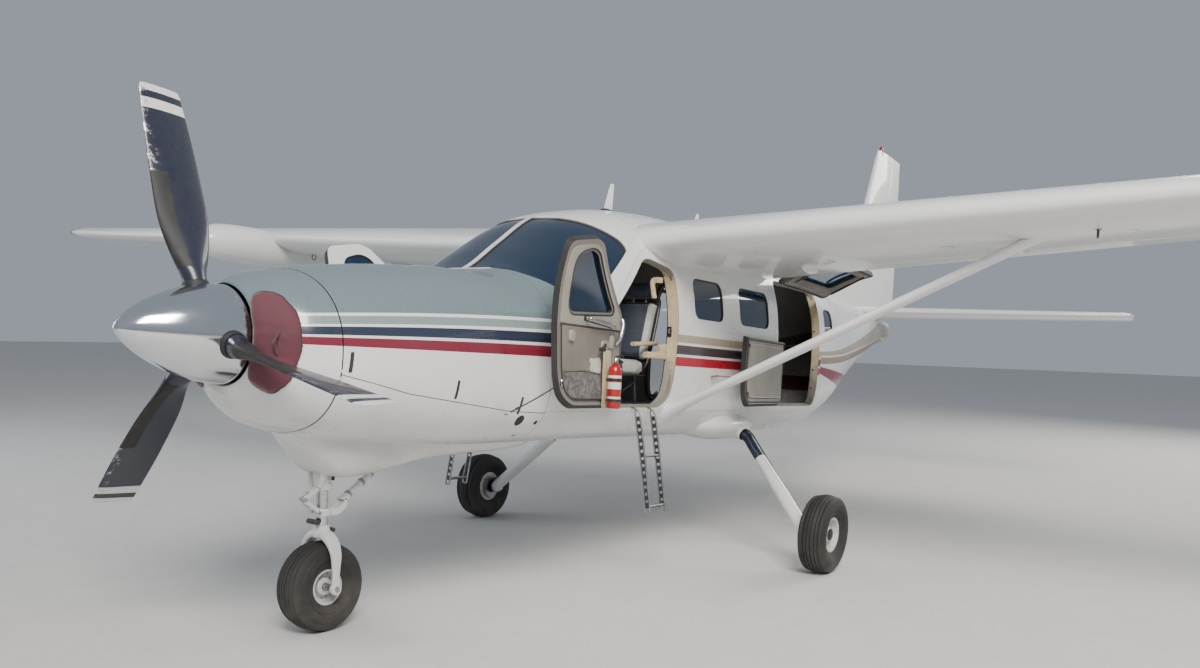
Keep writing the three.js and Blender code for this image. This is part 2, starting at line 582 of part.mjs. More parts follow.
function makeTail() {
  const { height } = STABILISER;
  const stabiliserRoom = loft(STABILISER_ROOM.map((row) => (
    roomRing(row).map(([along, up]) => new THREE.Vector3(row[0], along, height + up)))));
  const drain = rod([0, 10150, height - 200], [0, 10150, height], 30, 10);
  const stabiliser = spanwise(STABILISER_STATIONS).subtract(stabiliserRoom).subtract(drain);
  const stabiliserGrown = spanwise(STABILISER_STATIONS, FIT + 0.3);
  const { y, half, tipHalf, root, tip } = ELEVATOR_LINE;
  const noseRods = (grow, inward, outward, sides = 16) => unite([1, -1].map((side) => (
    rod([side * (root - inward), y, height], [side * (tip + outward), y, height], half + grow, sides,
      tipHalf + grow))));
  const elevatorZone = (grow, inward, outward) => unite([1, -1].map((side) => {
    const [a, b] = side > 0 ? [root - inward, tip + 90] : [-tip - 90, -root + inward];
    return box(a, b, y - grow - 1, y + 700, height - 240, height + 260);
  })).add(noseRods(grow, inward, outward));
  const tube = rod([-root - 30, y, height], [root + 30, y, height], 24, 12);
  const rudderRoom = planPrism([[0, y + half], [root, y + half], [root + ELEVATOR_LINE.cutback, y + 600],
    [0, y + 600]], height - 300, height + 300);
  const elevator = stabiliser.intersect(elevatorZone(-1, 0, 0)).subtract(rudderRoom)
    .subtract(rudderRoom.mirror([1, 0, 0])).add(tube).add(noseRods(-1, 0, 0));
  const elevatorBearings = unite([-2000, -700, 700, 2000].map((x) => (
    box(x - 8, x + 8, y - BEARING_FRONT, y - BEARING_BACK * half, height - 140, height + 160))))
    .intersect(stabiliser).subtract(noseRods(BEARING_GAP, 0, 0, BORE_SIDES));
  const tubeHole = rod([-root - 40, y, height], [root + 40, y, height], 34, 12);
  const fixed = stabiliser.subtract(elevatorZone(COVE_GAP, 14, 90)).subtract(tubeHole).add(elevatorBearings);
  const finRoom = loft(FIN_ROOM.map((row) => (
    roomRing(row).map(([along, across]) => new THREE.Vector3(across, along, row[0])))));
  const fin = upright(FIN_STATIONS).add(sidePrism(DORSAL, -26, 26)).subtract(finRoom);
  const rudderSide = [RUDDER_LINE.bottom, RUDDER_LINE.top, [11700, 4600], [11700, 2500]];
  const noseRod = (grow, ends, sides = 16) => rod([0, RUDDER_LINE.bottom[0], RUDDER_LINE.bottom[1] - ends],
    [0, RUDDER_LINE.top[0], RUDDER_LINE.top[1] + ends], RUDDER_LINE.half[0] + grow, sides,
    RUDDER_LINE.half[1] + grow);
  const bearingEdge = [RUDDER_LINE.bottom, RUDDER_LINE.top]
    .map(([along, up], i) => [along - BEARING_BACK * RUDDER_LINE.half[i], up]);
  const aheadOfRudder = sidePrism([
    [10400, RUDDER_LINE.bottom[1]], ...bearingEdge, [10400, RUDDER_LINE.top[1]],
  ], -200, 200);
  const rudderBearings = unite([2750, 3500, 4250].map((z) => box(-200, 200, 10400, 10800, z - 8, z + 8)))
    .intersect(aheadOfRudder).intersect(fin).subtract(noseRod(BEARING_GAP, 0, BORE_SIDES));
  const rudderZone = sidePrism(rudderSide, -200, 200);
  const aboveTail = box(-200, 200, 9000, 12000, 2500, 4518);
  const rudder = fin.intersect(rudderZone).add(noseRod(-1, 0)).intersect(aboveTail);
  const coneStations = [[CABIN_END + FIT, ...TAIL_STATIONS[0].slice(1)], ...TAIL_STATIONS.slice(1)];
  const cone = fuselage(coneStations, 0);
  const coneGrown = fuselage(coneStations, -FIT);
  const cabinGrown = fuselage(CABIN_STATIONS, -FIT);
  const beacon = rod([0, 10300, 4500], [0, 10300, 4585], 28, 12);
  const finFixed = fin.subtract(rudderZone).subtract(noseRod(COVE_GAP, 20))
    .subtract(box(-200, 200, 10560, 12000, 2300, 2514)).subtract(coneGrown).subtract(cabinGrown)
    .subtract(stabiliserGrown).subtract(tubeHole).add(beacon).add(rudderBearings);
  addPart('tail_cone', biggest(cone.subtract(tailRoom).subtract(stabiliserGrown)
    .subtract(elevatorZone(COVE_GAP, 160, 90)).subtract(tubeHole)), 'white');
  addPart('fin', biggest(finFixed), 'white');
  addPart('rudder', rudder, 'white');
  addPart('stabiliser', biggest(fixed.subtract(noseRod(COVE_GAP, 20))), 'white');
  addPart('elevator', elevator, 'white');
}

// Engine cowling: a nose bowl, an upper half and a lower half with the nose gear's fairing
const COWL_WALL = 24;
const COWL_FRONT = [
  [560, 1872, 1290, 318, 1580, 2.0, 2.0],
  [640, 1912, 1160, 420, 1565, 2.1, 2.1],
];
const COWL_SPLIT = [[700, 1440], [880, 1412], [1300, 1318], [2070, 1225], [2500, 1210]];
const CHIN_STATIONS = [
  [850, 1250, 1090, 50, 1180, 2, 2],
  [1000, 1250, 950, 175, 1100, 2.4, 2.4],
  [1160, 1250, 832, 232, 1060, 2.6, 2.8],
  [1450, 1250, 795, 240, 1040, 2.6, 2.8],
  [1900, 1250, 856, 222, 1040, 2.6, 2.8],
  [2399, 1250, 935, 190, 1060, 2.6, 2.8],
];
const STEER = { y: 1232, axleZ: 128.55 };

function makeCowling() {
  const stations = [...COWL_FRONT, ...COWL_STATIONS.slice(1)];
  const outer = fuselage([...stations.slice(0, -1), [FIREWALL - FIT, ...COWL_STATIONS.at(-1).slice(1)]], 0);
  const inner = fuselage([
    [600, 1885, 1230, 360, 1572, 2, 2],
    ...stations.slice(1, -1),
    [FIREWALL + 1, ...COWL_STATIONS.at(-1).slice(1)],
  ], COWL_WALL);
  const shaftHole = rod([0, 500, 1590], [0, 700, 1590], 75, 20);
  const skin = outer.subtract(inner).subtract(shaftHole);
  addPart('cowl_nose', skin.intersect(box(-900, 900, 400, COWL_SEAM - FIT, 500, 2400)), 'grey');
  const rear = skin.intersect(box(-900, 900, COWL_SEAM, 2500, 500, 2400));
  const under = [...COWL_SPLIT, [2500, 500], [700, 500]];
  addPart('cowl_upper', rear.subtract(sidePrism(inset(under, -FIT), -900, 900)), 'grey');
  const chin = fuselage(CHIN_STATIONS, 0).subtract(inner)
    .intersect(box(-900, 900, COWL_SEAM, 2500, 500, 1300));
  const socket = rod([0, STEER.y, 700], [0, STEER.y, 940 + FIT], 52 + FIT, 20);
  const lower = rear.intersect(sidePrism(under, -900, 900)).add(chin).subtract(socket)
    .subtract(noseDrag(FIT));
  addPart('cowl_lower', lower, 'white');
  makePlugs(stations);
  makeExhaust();
}

// The nose gear's drag tube runs aft and up into the chin fairing
const DRAG = { low: [0, STEER.y + 20, 672], high: [0, 1760, 900], radius: 24 };
const noseDrag = (grow) => rod(
  DRAG.low, [0, DRAG.high[1] + 5 * grow, DRAG.high[2] + 2 * grow], DRAG.radius + grow, 10);

// Soft covers close the two openings beside the spinner
const INLET = [[180, 1330], [330, 1300], [470, 1420], [500, 1560], [460, 1700], [330, 1800], [180, 1820]];
function makePlugs(stations) {
  const layer = fuselage(stations, -22).subtract(fuselage(stations, -FIT));
  const cover = layer.intersect(frontPrism(INLET, 570, 790));
  [1, -1].forEach((side) => addPart(`inlet_cover_${sideName(side)}`, mirrored(cover, side), 'maroon'));
}

// The exhaust stack curves out and back from the starboard side of the cowl
function makeExhaust() {
  const pipe = tube([[-420, 1150, 1230], [-620, 1210, 1190], [-760, 1400, 1140]], 100, 4, 10);
  const bore = rod([-700, 1290, 1165], [-800, 1460, 1125], 86, 10);
  const grown = fuselage([...COWL_FRONT, ...COWL_STATIONS.slice(1)], -FIT);
  addPart('exhaust', biggest(pipe.subtract(grown).subtract(bore)), 'steel');
}

// Engine as one plain block with its reduction gearbox
const SHAFT = { z: 1590 };
function makeEngine() {
  const core = box(-290, 290, 1000, FIREWALL - FIT, 1290, 1850);
  const gearbox = rod([0, 615, SHAFT.z], [0, 1010, SHAFT.z], 150, 20);
  addPart('engine', core.add(gearbox), 'steel');
}

// Propeller: polished spinner over three blades on one hub
const PROPELLER = { y: 440, radius: 1345, angles: [-17.8, 102.2, -137.8] };
function makePropeller() {
  const outline = [[0, -50], [38, -28], [92, 30], [150, 120], [205, 240], [245, 370], [264, 520]];
  const inside = [[0, -20], [80, 50], [138, 135], [193, 252], [233, 380], [252, 521]];
  const shell = turned([...outline, [0, 520]], 20, [0, 0, SHAFT.z], Y)
    .subtract(turned([...inside, [0, 521]], 20, [0, 0, SHAFT.z], Y));
  const blades = PROPELLER.angles.map((angle) => blade(THREE.MathUtils.degToRad(angle)));
  const holes = PROPELLER.angles.map((angle) => {
    const a = THREE.MathUtils.degToRad(angle);
    const out = [Math.sin(a), Math.cos(a)];
    return rod([150 * out[0], PROPELLER.y, SHAFT.z + 150 * out[1]],
      [330 * out[0], PROPELLER.y, SHAFT.z + 330 * out[1]], 66 + FIT, 12);
  });
  addPart('spinner', shell.subtract(unite(holes)), 'polished');
  const hub = rod([0, 330, SHAFT.z], [0, 614, SHAFT.z], 70, 20);
  const back = rod([0, 520 + FIT, SHAFT.z], [0, 540, SHAFT.z], 258, 20);
  addPart('propeller_blades', unite([hub, back, ...blades]), 'blade');
}

// One feathered blade: radius, half chord, half thickness, twist from the flight direction
const BLADE_STATIONS = [
  [60, 62, 62, 0], [290, 62, 62, 0], [400, 92, 34, 14], [560, 128, 20, 10], [850, 138, 13, 4],
  [1150, 130, 9, -1], [1325, 112, 7, -4], [PROPELLER.radius, 84, 5, -4],
];
function blade(angle) {
  const rings = BLADE_STATIONS.map(([radius, half, thick, twist]) => {
    const turn = THREE.MathUtils.degToRad(twist);
    return Array.from({ length: 12 }, (_, i) => {
      const t = (i / 12) * 2 * Math.PI;
      const along = half * Math.cos(t);
      const across = thick * Math.sin(t);
      const y = PROPELLER.y + along * Math.cos(turn) - across * Math.sin(turn);
      const side = along * Math.sin(turn) + across * Math.cos(turn);
      return new THREE.Vector3(radius * Math.sin(angle) + side * Math.cos(angle), y,
        SHAFT.z + radius * Math.cos(angle) - side * Math.sin(angle));
    });
  });
  return loft(rings);
}

// Wheels: a tyre around a rim that turns on its axle
const tyreProfile = (outer, inner, half) => [
  [inner, -half * 0.62], [(outer + inner) / 2, -half], [outer - 34, -half * 0.86], [outer, -half * 0.4],
  [outer, half * 0.4], [outer - 34, half * 0.86], [(outer + inner) / 2, half], [inner, half * 0.62],
  [inner, -half * 0.62],
];
const WHEEL_SEGMENTS = 24;
function makeWheel(name, x, y, z, outer, inner, half, axle) {
  const side = Math.sign(x) || 1;
  const profile = tyreProfile(outer, inner, half);
  addPart(`${name}_tyre`, turned(profile, WHEEL_SEGMENTS, [x, y, z], X), 'rubber');
  const edge = half * 0.6;
  const rim = [
    [axle, -edge], [inner - 26, -edge * 0.5], [inner - 22, -edge], [inner - FIT, -edge], [inner - FIT, edge],
    [inner - 22, edge], [inner - 26, edge * 0.35], [axle + 26, edge * 0.6], [axle + 26, edge], [axle, edge],
    [axle, -edge],
  ];
  addPart(`${name}_rim`, turned(rim, WHEEL_SEGMENTS, [x, y, z], X.clone().multiplyScalar(side)), 'white');
}

const MAIN_WHEEL = { x: 1780, y: 4750, z: 313, radius: 313, rim: 133, half: 110, axle: 27 };
const NOSE_WHEEL = { radius: 276, rim: 104, half: 98, axle: 24 };

// The tubular spring's line from the cabin's side to the axle
const SPRING = { radius: 44, steps: 9, sides: 8 };
const SPRING_LINE = [
  [600, 5080, 1040], [760, 5060, 1062], [920, 5020, 1010], [1060, 4960, 880], [1560, 4770, 380],
  [1612, MAIN_WHEEL.y, MAIN_WHEEL.z],
];

function makeMainGear() {
  const { x, y, z, radius, rim, half, axle } = MAIN_WHEEL;
  [1, -1].forEach((side) => {
    const name = sideName(side);
    makeWheel(`main_${name}`, side * x, y, z, radius, rim, half, axle);
    const line = SPRING_LINE.map(([a, b, c]) => [side * a, b, c]);
    const spring = tube(line, SPRING.radius, SPRING.steps, SPRING.sides);
    const stub = rod([side * 1590, y, z], [side * (x + half * 0.6), y, z], axle - 1, 16);
    const brake = rod([side * 1616, y, z], [side * 1650, y, z], 92, 20);
    const knuckle = rod([side * 1575, y, z], [side * 1622, y, z], 52, 16);
    const grown = fuselage(CABIN_STATIONS, -FIT);
    const leg = unite([spring, stub, brake, knuckle]).subtract(grown);
    addPart(`main_leg_${name}`, leg, 'white');
  });
}

// Nose gear: an oleo strut under the chin, and the steered fork with its torque links
function makeNoseGear() {
  const { radius, rim, half, axle } = NOSE_WHEEL;
  const { y, axleZ } = STEER;
  const barrel = rod([0, y, 610], [0, y, 940], 52, 20);
  const bore = rod([0, y, 600], [0, y, 700], 37, 20);
  const drag = noseDrag(0).subtract(rod([0, y, 500], [0, y, 800], 50, 20));
  addPart('nose_leg', barrel.add(drag).subtract(bore), 'white');
  const piston = rod([0, y, 440], [0, y, 695], 36, 20);
  const arch = [];
  for (let i = 0; i <= 8; i++) {
    const angle = (i / 8) * Math.PI;
    arch.push([150 * Math.cos(angle), 300 + 175 * Math.sin(angle)]);
  }
  for (let i = 8; i >= 0; i--) {
    const angle = (i / 8) * Math.PI;
    arch.push([122 * Math.cos(angle), 300 + 128 * Math.sin(angle)]);
  }
  const crown = frontPrism(arch, y - 48, y + 48);
  const arms = [1, -1].map((side) => {
    const [a, b] = side > 0 ? [122, 150] : [-150, -122];
    return sidePrism([[y - 48, 310], [y + 48, 310], [y + 40, 90], [y - 40, 90]], a, b);
  });
  const pin = rod([-156, y, axleZ], [156, y, axleZ], axle - 1, 16);
  const collar = rod([0, y, 560], [0, y, 604], 56, 16);
  const links = [
    sidePrism([[y - 40, 602], [y - 50, 566], [y - 178, 502], [y - 190, 522]], -24, 24),
    sidePrism([[y - 30, 470], [y - 30, 430], [y - 185, 488], [y - 180, 514]], -24, 24),
  ];
  addPart('nose_fork', unite([piston, crown, ...arms, pin, collar, ...links]), 'white');
  makeWheel('nose', 0, y, axleZ, radius, rim, half, axle);
}

const CREW_PANE = [[3180, 1890], [3790, 1850], [3800, 2240], [3640, 2270], [3560, 2255]];
function crewDoor(side) {
  const name = sideName(side);
  const leaf = inset(CREW_DOOR, DOOR_GAP);
  const opening = sideCut(CREW_PANE, side);
  const group = swungGroup([side * CREW_HINGE[0], CREW_HINGE[1], CREW_HINGE[2]], Z, -side * CREW_OPEN);
  const skin = shell.intersect(sideCut(leaf, side)).subtract(opening);
  addPart(`crew_door_${name}`, skin.add(mirrored(hinges.crew.moving, side)), 'white', group);
  const glass = glassLayer.intersect(sideCut(inset(CREW_PANE, FIT), side));
  addPart(`crew_door_${name}_glass`, glass, 'glass', group);
}

function hatchLeaf(hatch, side, upper) {
  const leaf = inset(hatchOutline(hatch), DOOR_GAP);
  const zone = upper ? [hatch.split + DOOR_GAP / 2, 2600] : [1000, hatch.split - DOOR_GAP / 2];
  return shell.intersect(sideCut(leaf, side)).intersect(box(-OUTBOARD, OUTBOARD, 5000, 8000, ...zone));
}

// Treads of the airstair between two rails, and the posts that tie the rails to the leaf. With both
// leaves shut the rails stand clear of the upper leaf's inner face.
const STAIR = {
  rails: [AIRSTAIR.front + 90, AIRSTAIR.rear - 110], treads: [1480, 1700, 1920, 2130], plate: 20,
  railOut: 705, railIn: 655, treadIn: 590, postOut: 800, railFoot: 1330, railHead: 2150, postHead: 1800,
};

function makeDoors() {
  [1, -1].forEach(crewDoor);
  const lowered = swungGroup(CARGO_SIDE_HINGE, Z, -CARGO_LOWER_OPEN);
  addPart('cargo_door_lower', hatchLeaf(CARGO, 1, false).add(hinges.cargoLower.moving), 'trim', lowered);
  [[CARGO, 1, 'cargo_door_upper'], [AIRSTAIR, -1, 'airstair_upper']].forEach(([hatch, side, name]) => {
    const raised = swungGroup([side * UPPER_HINGE[0], UPPER_HINGE[1], UPPER_HINGE[2]], Y, -side * UPPER_OPEN);
    const pane = roundedOutline(hatch.front + 150, hatch.rear - 150, 1960, 2262, 60);
    const leaf = hatchLeaf(hatch, side, true).subtract(sideCut(pane, side));
    const hinge = hinges.upper[sideName(side)].moving;
    addPart(name, leaf.add(mirrored(hinge, side)), 'white', raised);
    addPart(`${name}_glass`, glassLayer.intersect(sideCut(inset(pane, FIT), side)), 'glass', raised);
  });
  const stair = swungGroup([-STAIR_HINGE[0], STAIR_HINGE[1], STAIR_HINGE[2]], Y, -STAIR_OPEN);
  const { rails: [front, rear], treads, plate, railOut, railIn, railFoot } = STAIR;
  const rails = STAIR.rails.map((at) => box(-railOut, -railIn, at, at + plate, railFoot, STAIR.railHead));
  const steps = treads.map((z) => box(-railOut, -STAIR.treadIn, front, rear + plate, z, z + plate));
  const posts = STAIR.rails
    .map((at) => box(-STAIR.postOut, -railIn, at, at + plate, railFoot + 10, STAIR.postHead));
  const leaf = hatchLeaf(AIRSTAIR, -1, false);
  const stairLeaf = unite([leaf, mirrored(stairHinge.moving, -1), ...rails, ...steps, ...posts]);
  addPart('airstair_lower', stairLeaf, 'trim', stair);
}

// Boarding ladders hang from the sills of the crew doors
const LADDER = { rails: [3240, 3580], rail: 26, rungs: [470, 780, 1090], foot: 420, head: 1232, lean: 145 };
function makeLadders() {
  const { rails: [front, rear], rail, foot, head, lean } = LADDER;
  const grown = fuselage(CABIN_STATIONS, -FIT);
  const outline = [[846, head], [862, head], [1010, foot], [980, foot]];
  const rails = LADDER.rails.map((y) => frontPrism(outline, y, y + rail));
  const rungs = LADDER.rungs.map((z) => {
    const x = 995 - ((z - foot) * lean) / (head - foot);
    return rod([x, front, z], [x, rear + rail, z], 11, 8);
  });
  const hooks = LADDER.rails.map((y) => box(700, 858, y, y + rail, head - 26, head));
  const ladder = unite([...rails, ...rungs, ...hooks]).subtract(grown);
  [1, -1].forEach((side) => {
    addPart(`ladder_${sideName(side)}`, mirrored(ladder, side), 'steel');
  });
}

makeCabinPanels();
makeGlazing();
makeInterior();
makeCowling();
makeEngine();
makePropeller();
makeWings();
makeStruts();
makePod();
makeTail();
makeMainGear();
makeNoseGear();
makeDoors();
makeLadders();

// The whole plane leans nose-high about its main wheels and is centred over the origin
const plane = new THREE.Group();
const stance = new THREE.Group();
airframe.position.set(0, -MAIN_WHEEL.y, -MAIN_WHEEL.z);
stance.rotation.x = -NOSE_UP;
stance.position.set(0, MAIN_WHEEL.y - MID_LENGTH, MAIN_WHEEL.radius * Math.cos(NOSE_UP));
stance.add(airframe);
plane.add(stance);
plane.updateMatrixWorld(true);

export default plane;
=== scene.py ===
import json
import math
import bpy
import bmesh
import numpy as np
from mathutils import Matrix, Vector, geometry


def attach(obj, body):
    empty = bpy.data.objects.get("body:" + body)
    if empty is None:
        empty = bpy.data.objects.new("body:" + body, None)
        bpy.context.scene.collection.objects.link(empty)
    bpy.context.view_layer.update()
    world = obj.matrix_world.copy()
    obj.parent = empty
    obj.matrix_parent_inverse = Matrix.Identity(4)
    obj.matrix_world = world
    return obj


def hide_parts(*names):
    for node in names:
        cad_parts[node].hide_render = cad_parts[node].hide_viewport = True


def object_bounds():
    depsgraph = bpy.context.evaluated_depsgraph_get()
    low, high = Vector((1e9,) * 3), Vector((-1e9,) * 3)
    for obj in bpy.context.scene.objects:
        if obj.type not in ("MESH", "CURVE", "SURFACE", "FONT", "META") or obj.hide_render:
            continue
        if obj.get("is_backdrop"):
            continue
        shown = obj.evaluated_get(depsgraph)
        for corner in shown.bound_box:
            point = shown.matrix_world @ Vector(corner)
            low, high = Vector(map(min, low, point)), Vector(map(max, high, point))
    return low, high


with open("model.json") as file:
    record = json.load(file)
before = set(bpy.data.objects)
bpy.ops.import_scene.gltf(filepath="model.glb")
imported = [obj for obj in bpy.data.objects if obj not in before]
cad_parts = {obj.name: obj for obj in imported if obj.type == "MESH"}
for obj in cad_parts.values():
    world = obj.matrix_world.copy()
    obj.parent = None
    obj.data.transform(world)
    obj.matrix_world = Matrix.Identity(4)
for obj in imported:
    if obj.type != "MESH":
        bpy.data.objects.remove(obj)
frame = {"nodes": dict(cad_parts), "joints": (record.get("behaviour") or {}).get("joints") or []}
cad_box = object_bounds()

# The airframe's own frame: the drawing's datum is the spinner's tip, with x to port, y aft and z up
# from a level cabin floor. On its gear the airframe stands nose-high about the main axle, so every
# piece is drawn level in metres, and `stand` puts it where it is parked.
NOSE_UP = math.radians(2.4)
AXLE = Vector((0, 4.75, 0.313))
joints = {j["name"]: j for j in frame["joints"]}
parked_axle = Vector(joints["main_wheel_left_roll"]["pos_m"])
STAND = (Matrix.Translation((0, parked_axle.y, parked_axle.z)) @ Matrix.Rotation(-NOSE_UP, 4, "X")
         @ Matrix.Translation(-AXLE))
SIDES = ((1, "left"), (-1, "right"))


def swung_open(joint):
    """Where a door that is drawn shut stands when it is open, as the model holds it at rest."""
    hinge = joints[joint]
    pivot = Matrix.Translation(Vector(hinge["pos_m"]))
    turn = Matrix.Rotation(math.radians(-hinge["range_deg"][1]), 4, Vector(hinge["axis"]))
    return pivot @ turn @ pivot.inverted() @ STAND


def moved(points, matrix):
    """Points carried by a matrix, as an array."""
    turn = np.array(matrix.to_3x3())
    return np.asarray(points, float) @ turn.T + np.array(matrix.translation)


def turned(vectors, matrix):
    """Directions, which a move turns and doesn't shift."""
    return moved(vectors, matrix.to_3x3().to_4x4())


def linked(name, data):
    """A new object of the scene, at the origin."""
    made = bpy.data.objects.new(name, data)
    bpy.context.collection.objects.link(made)
    return made


class Shape:
    """A piece being drawn: closed bodies of corners and faces, with each face's finish."""

    def __init__(self, *finishes):
        self.finishes = finishes
        self.corners, self.faces, self.marks = [], [], []
        self.count = 0

    def add(self, corners, faces, marks=0):
        """Adds one closed body, and turns its faces outward."""
        corners = np.asarray(corners, float)
        fans = np.array([(f[0], f[i], f[i + 1]) for f in faces for i in range(1, len(f) - 1)])
        a, b, c = (corners - corners.mean(axis=0))[fans].transpose(1, 0, 2)
        inward = np.einsum("ij,ij->", a, np.cross(b, c)) < 0
        self.faces += [[self.count + i for i in (face[::-1] if inward else face)] for face in faces]
        self.marks += [marks] * len(faces) if isinstance(marks, int) else list(marks)
        self.corners.append(corners)
        self.count += len(corners)
        return self

    def make(self, name, body, slot, replaces=(), place=STAND, crease=32):
        drawn = np.concatenate(self.corners)
        mesh = bpy.data.meshes.new(name)
        mesh.from_pydata(moved(drawn, place).tolist(), [], self.faces)
        mesh.polygons.foreach_set("material_index", self.marks)
        level = mesh.attributes.new("craft", "FLOAT_VECTOR", "POINT")
        level.data.foreach_set("vector", drawn.astype(np.float32).ravel())
        for finish in self.finishes:
            mesh.materials.append(finish)
        mesh.shade_smooth()
        mesh.set_sharp_from_angle(angle=math.radians(crease))
        piece = linked(name, mesh)
        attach(piece, body)
        if replaces:
            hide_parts(*replaces)
        return piece


# The camera stands ahead of the port wing tip at shoulder height and looks aft and inboard. It was
# fitted to the wheels, propeller, doors and strut of the photograph.
PHOTO_WIDTH, PHOTO_HEIGHT = 1200, 668
EYE = Vector((4.656, -2.629, 1.818))
YAW, PITCH, ROLL = math.radians(34.41), math.radians(-8.85), math.radians(1.65)
FOCAL_PIXELS, CENTRE_X, CENTRE_Y = 989.1, 598.1, 489.3
SENSOR = 36.0

spinner_datum = parked_axle.y - AXLE.y
forward = Vector((-math.sin(YAW) * math.cos(PITCH), math.cos(YAW) * math.cos(PITCH), math.sin(PITCH)))
level_right = Vector((math.cos(YAW), math.sin(YAW), 0))
level_up = level_right.cross(forward)
right = level_right * math.cos(ROLL) + level_up * math.sin(ROLL)
up = level_up * math.cos(ROLL) - level_right * math.sin(ROLL)
camera = linked("camera", bpy.data.cameras.new("camera"))
camera.data.sensor_width = SENSOR
camera.data.lens = SENSOR * FOCAL_PIXELS / PHOTO_WIDTH
camera.data.shift_x = (PHOTO_WIDTH / 2 - CENTRE_X) / PHOTO_WIDTH
camera.data.shift_y = (CENTRE_Y - PHOTO_HEIGHT / 2) / PHOTO_WIDTH
camera.data.clip_start, camera.data.clip_end = 0.05, 200
camera.matrix_world = (Matrix.Translation(EYE + Vector((0, spinner_datum, 0)))
                       @ Matrix((right, up, -forward)).transposed().to_4x4())
bpy.context.scene.camera = camera


class Wire:
    """A socket of a material's node tree that takes plain arithmetic."""

    def __init__(self, paint, socket):
        self.paint, self.socket = paint, socket

    def math(self, operation, *others):
        return self.paint.node("ShaderNodeMath", {"operation": operation}, self, *others)

    def __add__(self, other):
        return self.math("ADD", other)

    def __sub__(self, other):
        return self.math("SUBTRACT", other)

    def __rsub__(self, other):
        return self.paint.node("ShaderNodeMath", {"operation": "SUBTRACT"}, other, self)

    def __mul__(self, other):
        return self.math("MULTIPLY", other)

    def __truediv__(self, other):
        return self.math("DIVIDE", other)

    def clamped(self):
        return self.paint.node("ShaderNodeClamp", {}, self, 0.0, 1.0)

    def above(self, edge, soft=0.0015):
        """1 where the value is over the edge, 0 where it is under, with a narrow ramp between."""
        return ((self - edge) / soft + 0.5).clamped()

    __radd__, __rmul__ = __add__, __mul__


class Paint:
    """A procedural material, put together as expressions on wires."""

    def __init__(self, name):
        self.material = bpy.data.materials.new(name)
        self.material.use_nodes = True
        self.tree = self.material.node_tree
        self.shader = self.tree.nodes["Principled BSDF"]

    def node(self, kind, settings, *values, out=0, **named):
        made = self.tree.nodes.new(kind)
        for key, value in settings.items():
            setattr(made, key, value)
        for key, value in [*enumerate(values), *named.items()]:
            if value is not None:
                self.feed(made.inputs[key], value)
        return Wire(self, made.outputs[out])

    def feed(self, socket, value):
        if isinstance(value, Wire):
            self.tree.links.new(value.socket, socket)
        elif socket.type == "RGBA":
            socket.default_value = (*value[:3], 1.0)
        else:
            socket.default_value = value

    def mix(self, first, second, factor):
        node = self.tree.nodes.new("ShaderNodeMix")
        node.data_type = "RGBA"
        for index, value in ((0, factor), (6, first), (7, second)):
            self.feed(node.inputs[index], value)
        return Wire(self, node.outputs[2])

    def noise(self, scale, detail=3.0, roughness=0.5):
        return self.node("ShaderNodeTexNoise", {}, Vector=self.place(), Scale=scale, Detail=detail,
                         Roughness=roughness)

    def place(self):
        return self.node("ShaderNodeTexCoord", {}, out=3)

    def craft(self):
        """Level drawing coordinates, which stay with a door when it swings."""
        return self.node("ShaderNodeAttribute", {"attribute_name": "craft"}, out=1)

    def split(self, vector):
        parts = self.tree.nodes.new("ShaderNodeSeparateXYZ")
        self.feed(parts.inputs[0], vector)
        return [Wire(self, output) for output in parts.outputs]

    def bump(self, height, distance=0.001, strength=0.3):
        return self.node("ShaderNodeBump", {}, Strength=strength, Distance=distance, Height=height)

    def finish(self, **sockets):
        for key, value in sockets.items():
            self.feed(self.shader.inputs[key.replace("_", " ")], value)
        return self.material


# A plain pale floor under the gear, and soft studio light from a pale sky with one broad key lamp
# high to the left of the camera, a fill low on the other side and a rim lamp behind.
floor_paint = Paint("studio_floor")
speckle = floor_paint.noise(3.0, 4.0)
floor_paint.finish(Base_Color=floor_paint.mix((0.58, 0.57, 0.555), (0.64, 0.63, 0.61), speckle),
                   Roughness=0.85)
bpy.ops.mesh.primitive_plane_add(size=160)
ground = bpy.context.object
ground.name = "studio_ground"
ground.data.materials.append(floor_paint.material)
ground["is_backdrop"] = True

world = bpy.data.worlds.new("studio")
bpy.context.scene.world = world
world.use_nodes = True
sky = world.node_tree.nodes["Background"]
sky.inputs["Color"].default_value = (0.80, 0.88, 1.0, 1.0)
sky.inputs["Strength"].default_value = 0.40
LAMPS = (
    ("key", (9.0, -11.0, 11.0), 6.0, 3200, (1.0, 0.95, 0.88)),
    ("fill", (-12.0, -8.0, 5.0), 8.0, 500, (0.85, 0.92, 1.0)),
    ("rim", (6.0, 14.0, 9.0), 7.0, 1500, (1.0, 0.97, 0.92)),
)
for name, place, size, watts, tint in LAMPS:
    lamp = linked(name, bpy.data.lights.new(name, "AREA"))
    lamp.data.size, lamp.data.energy, lamp.data.color = size, watts, tint
    lamp.location = place
    lamp.rotation_euler = (Vector((0, 0, 1.5)) - Vector(place)).to_track_quat("-Z", "Y").to_euler()


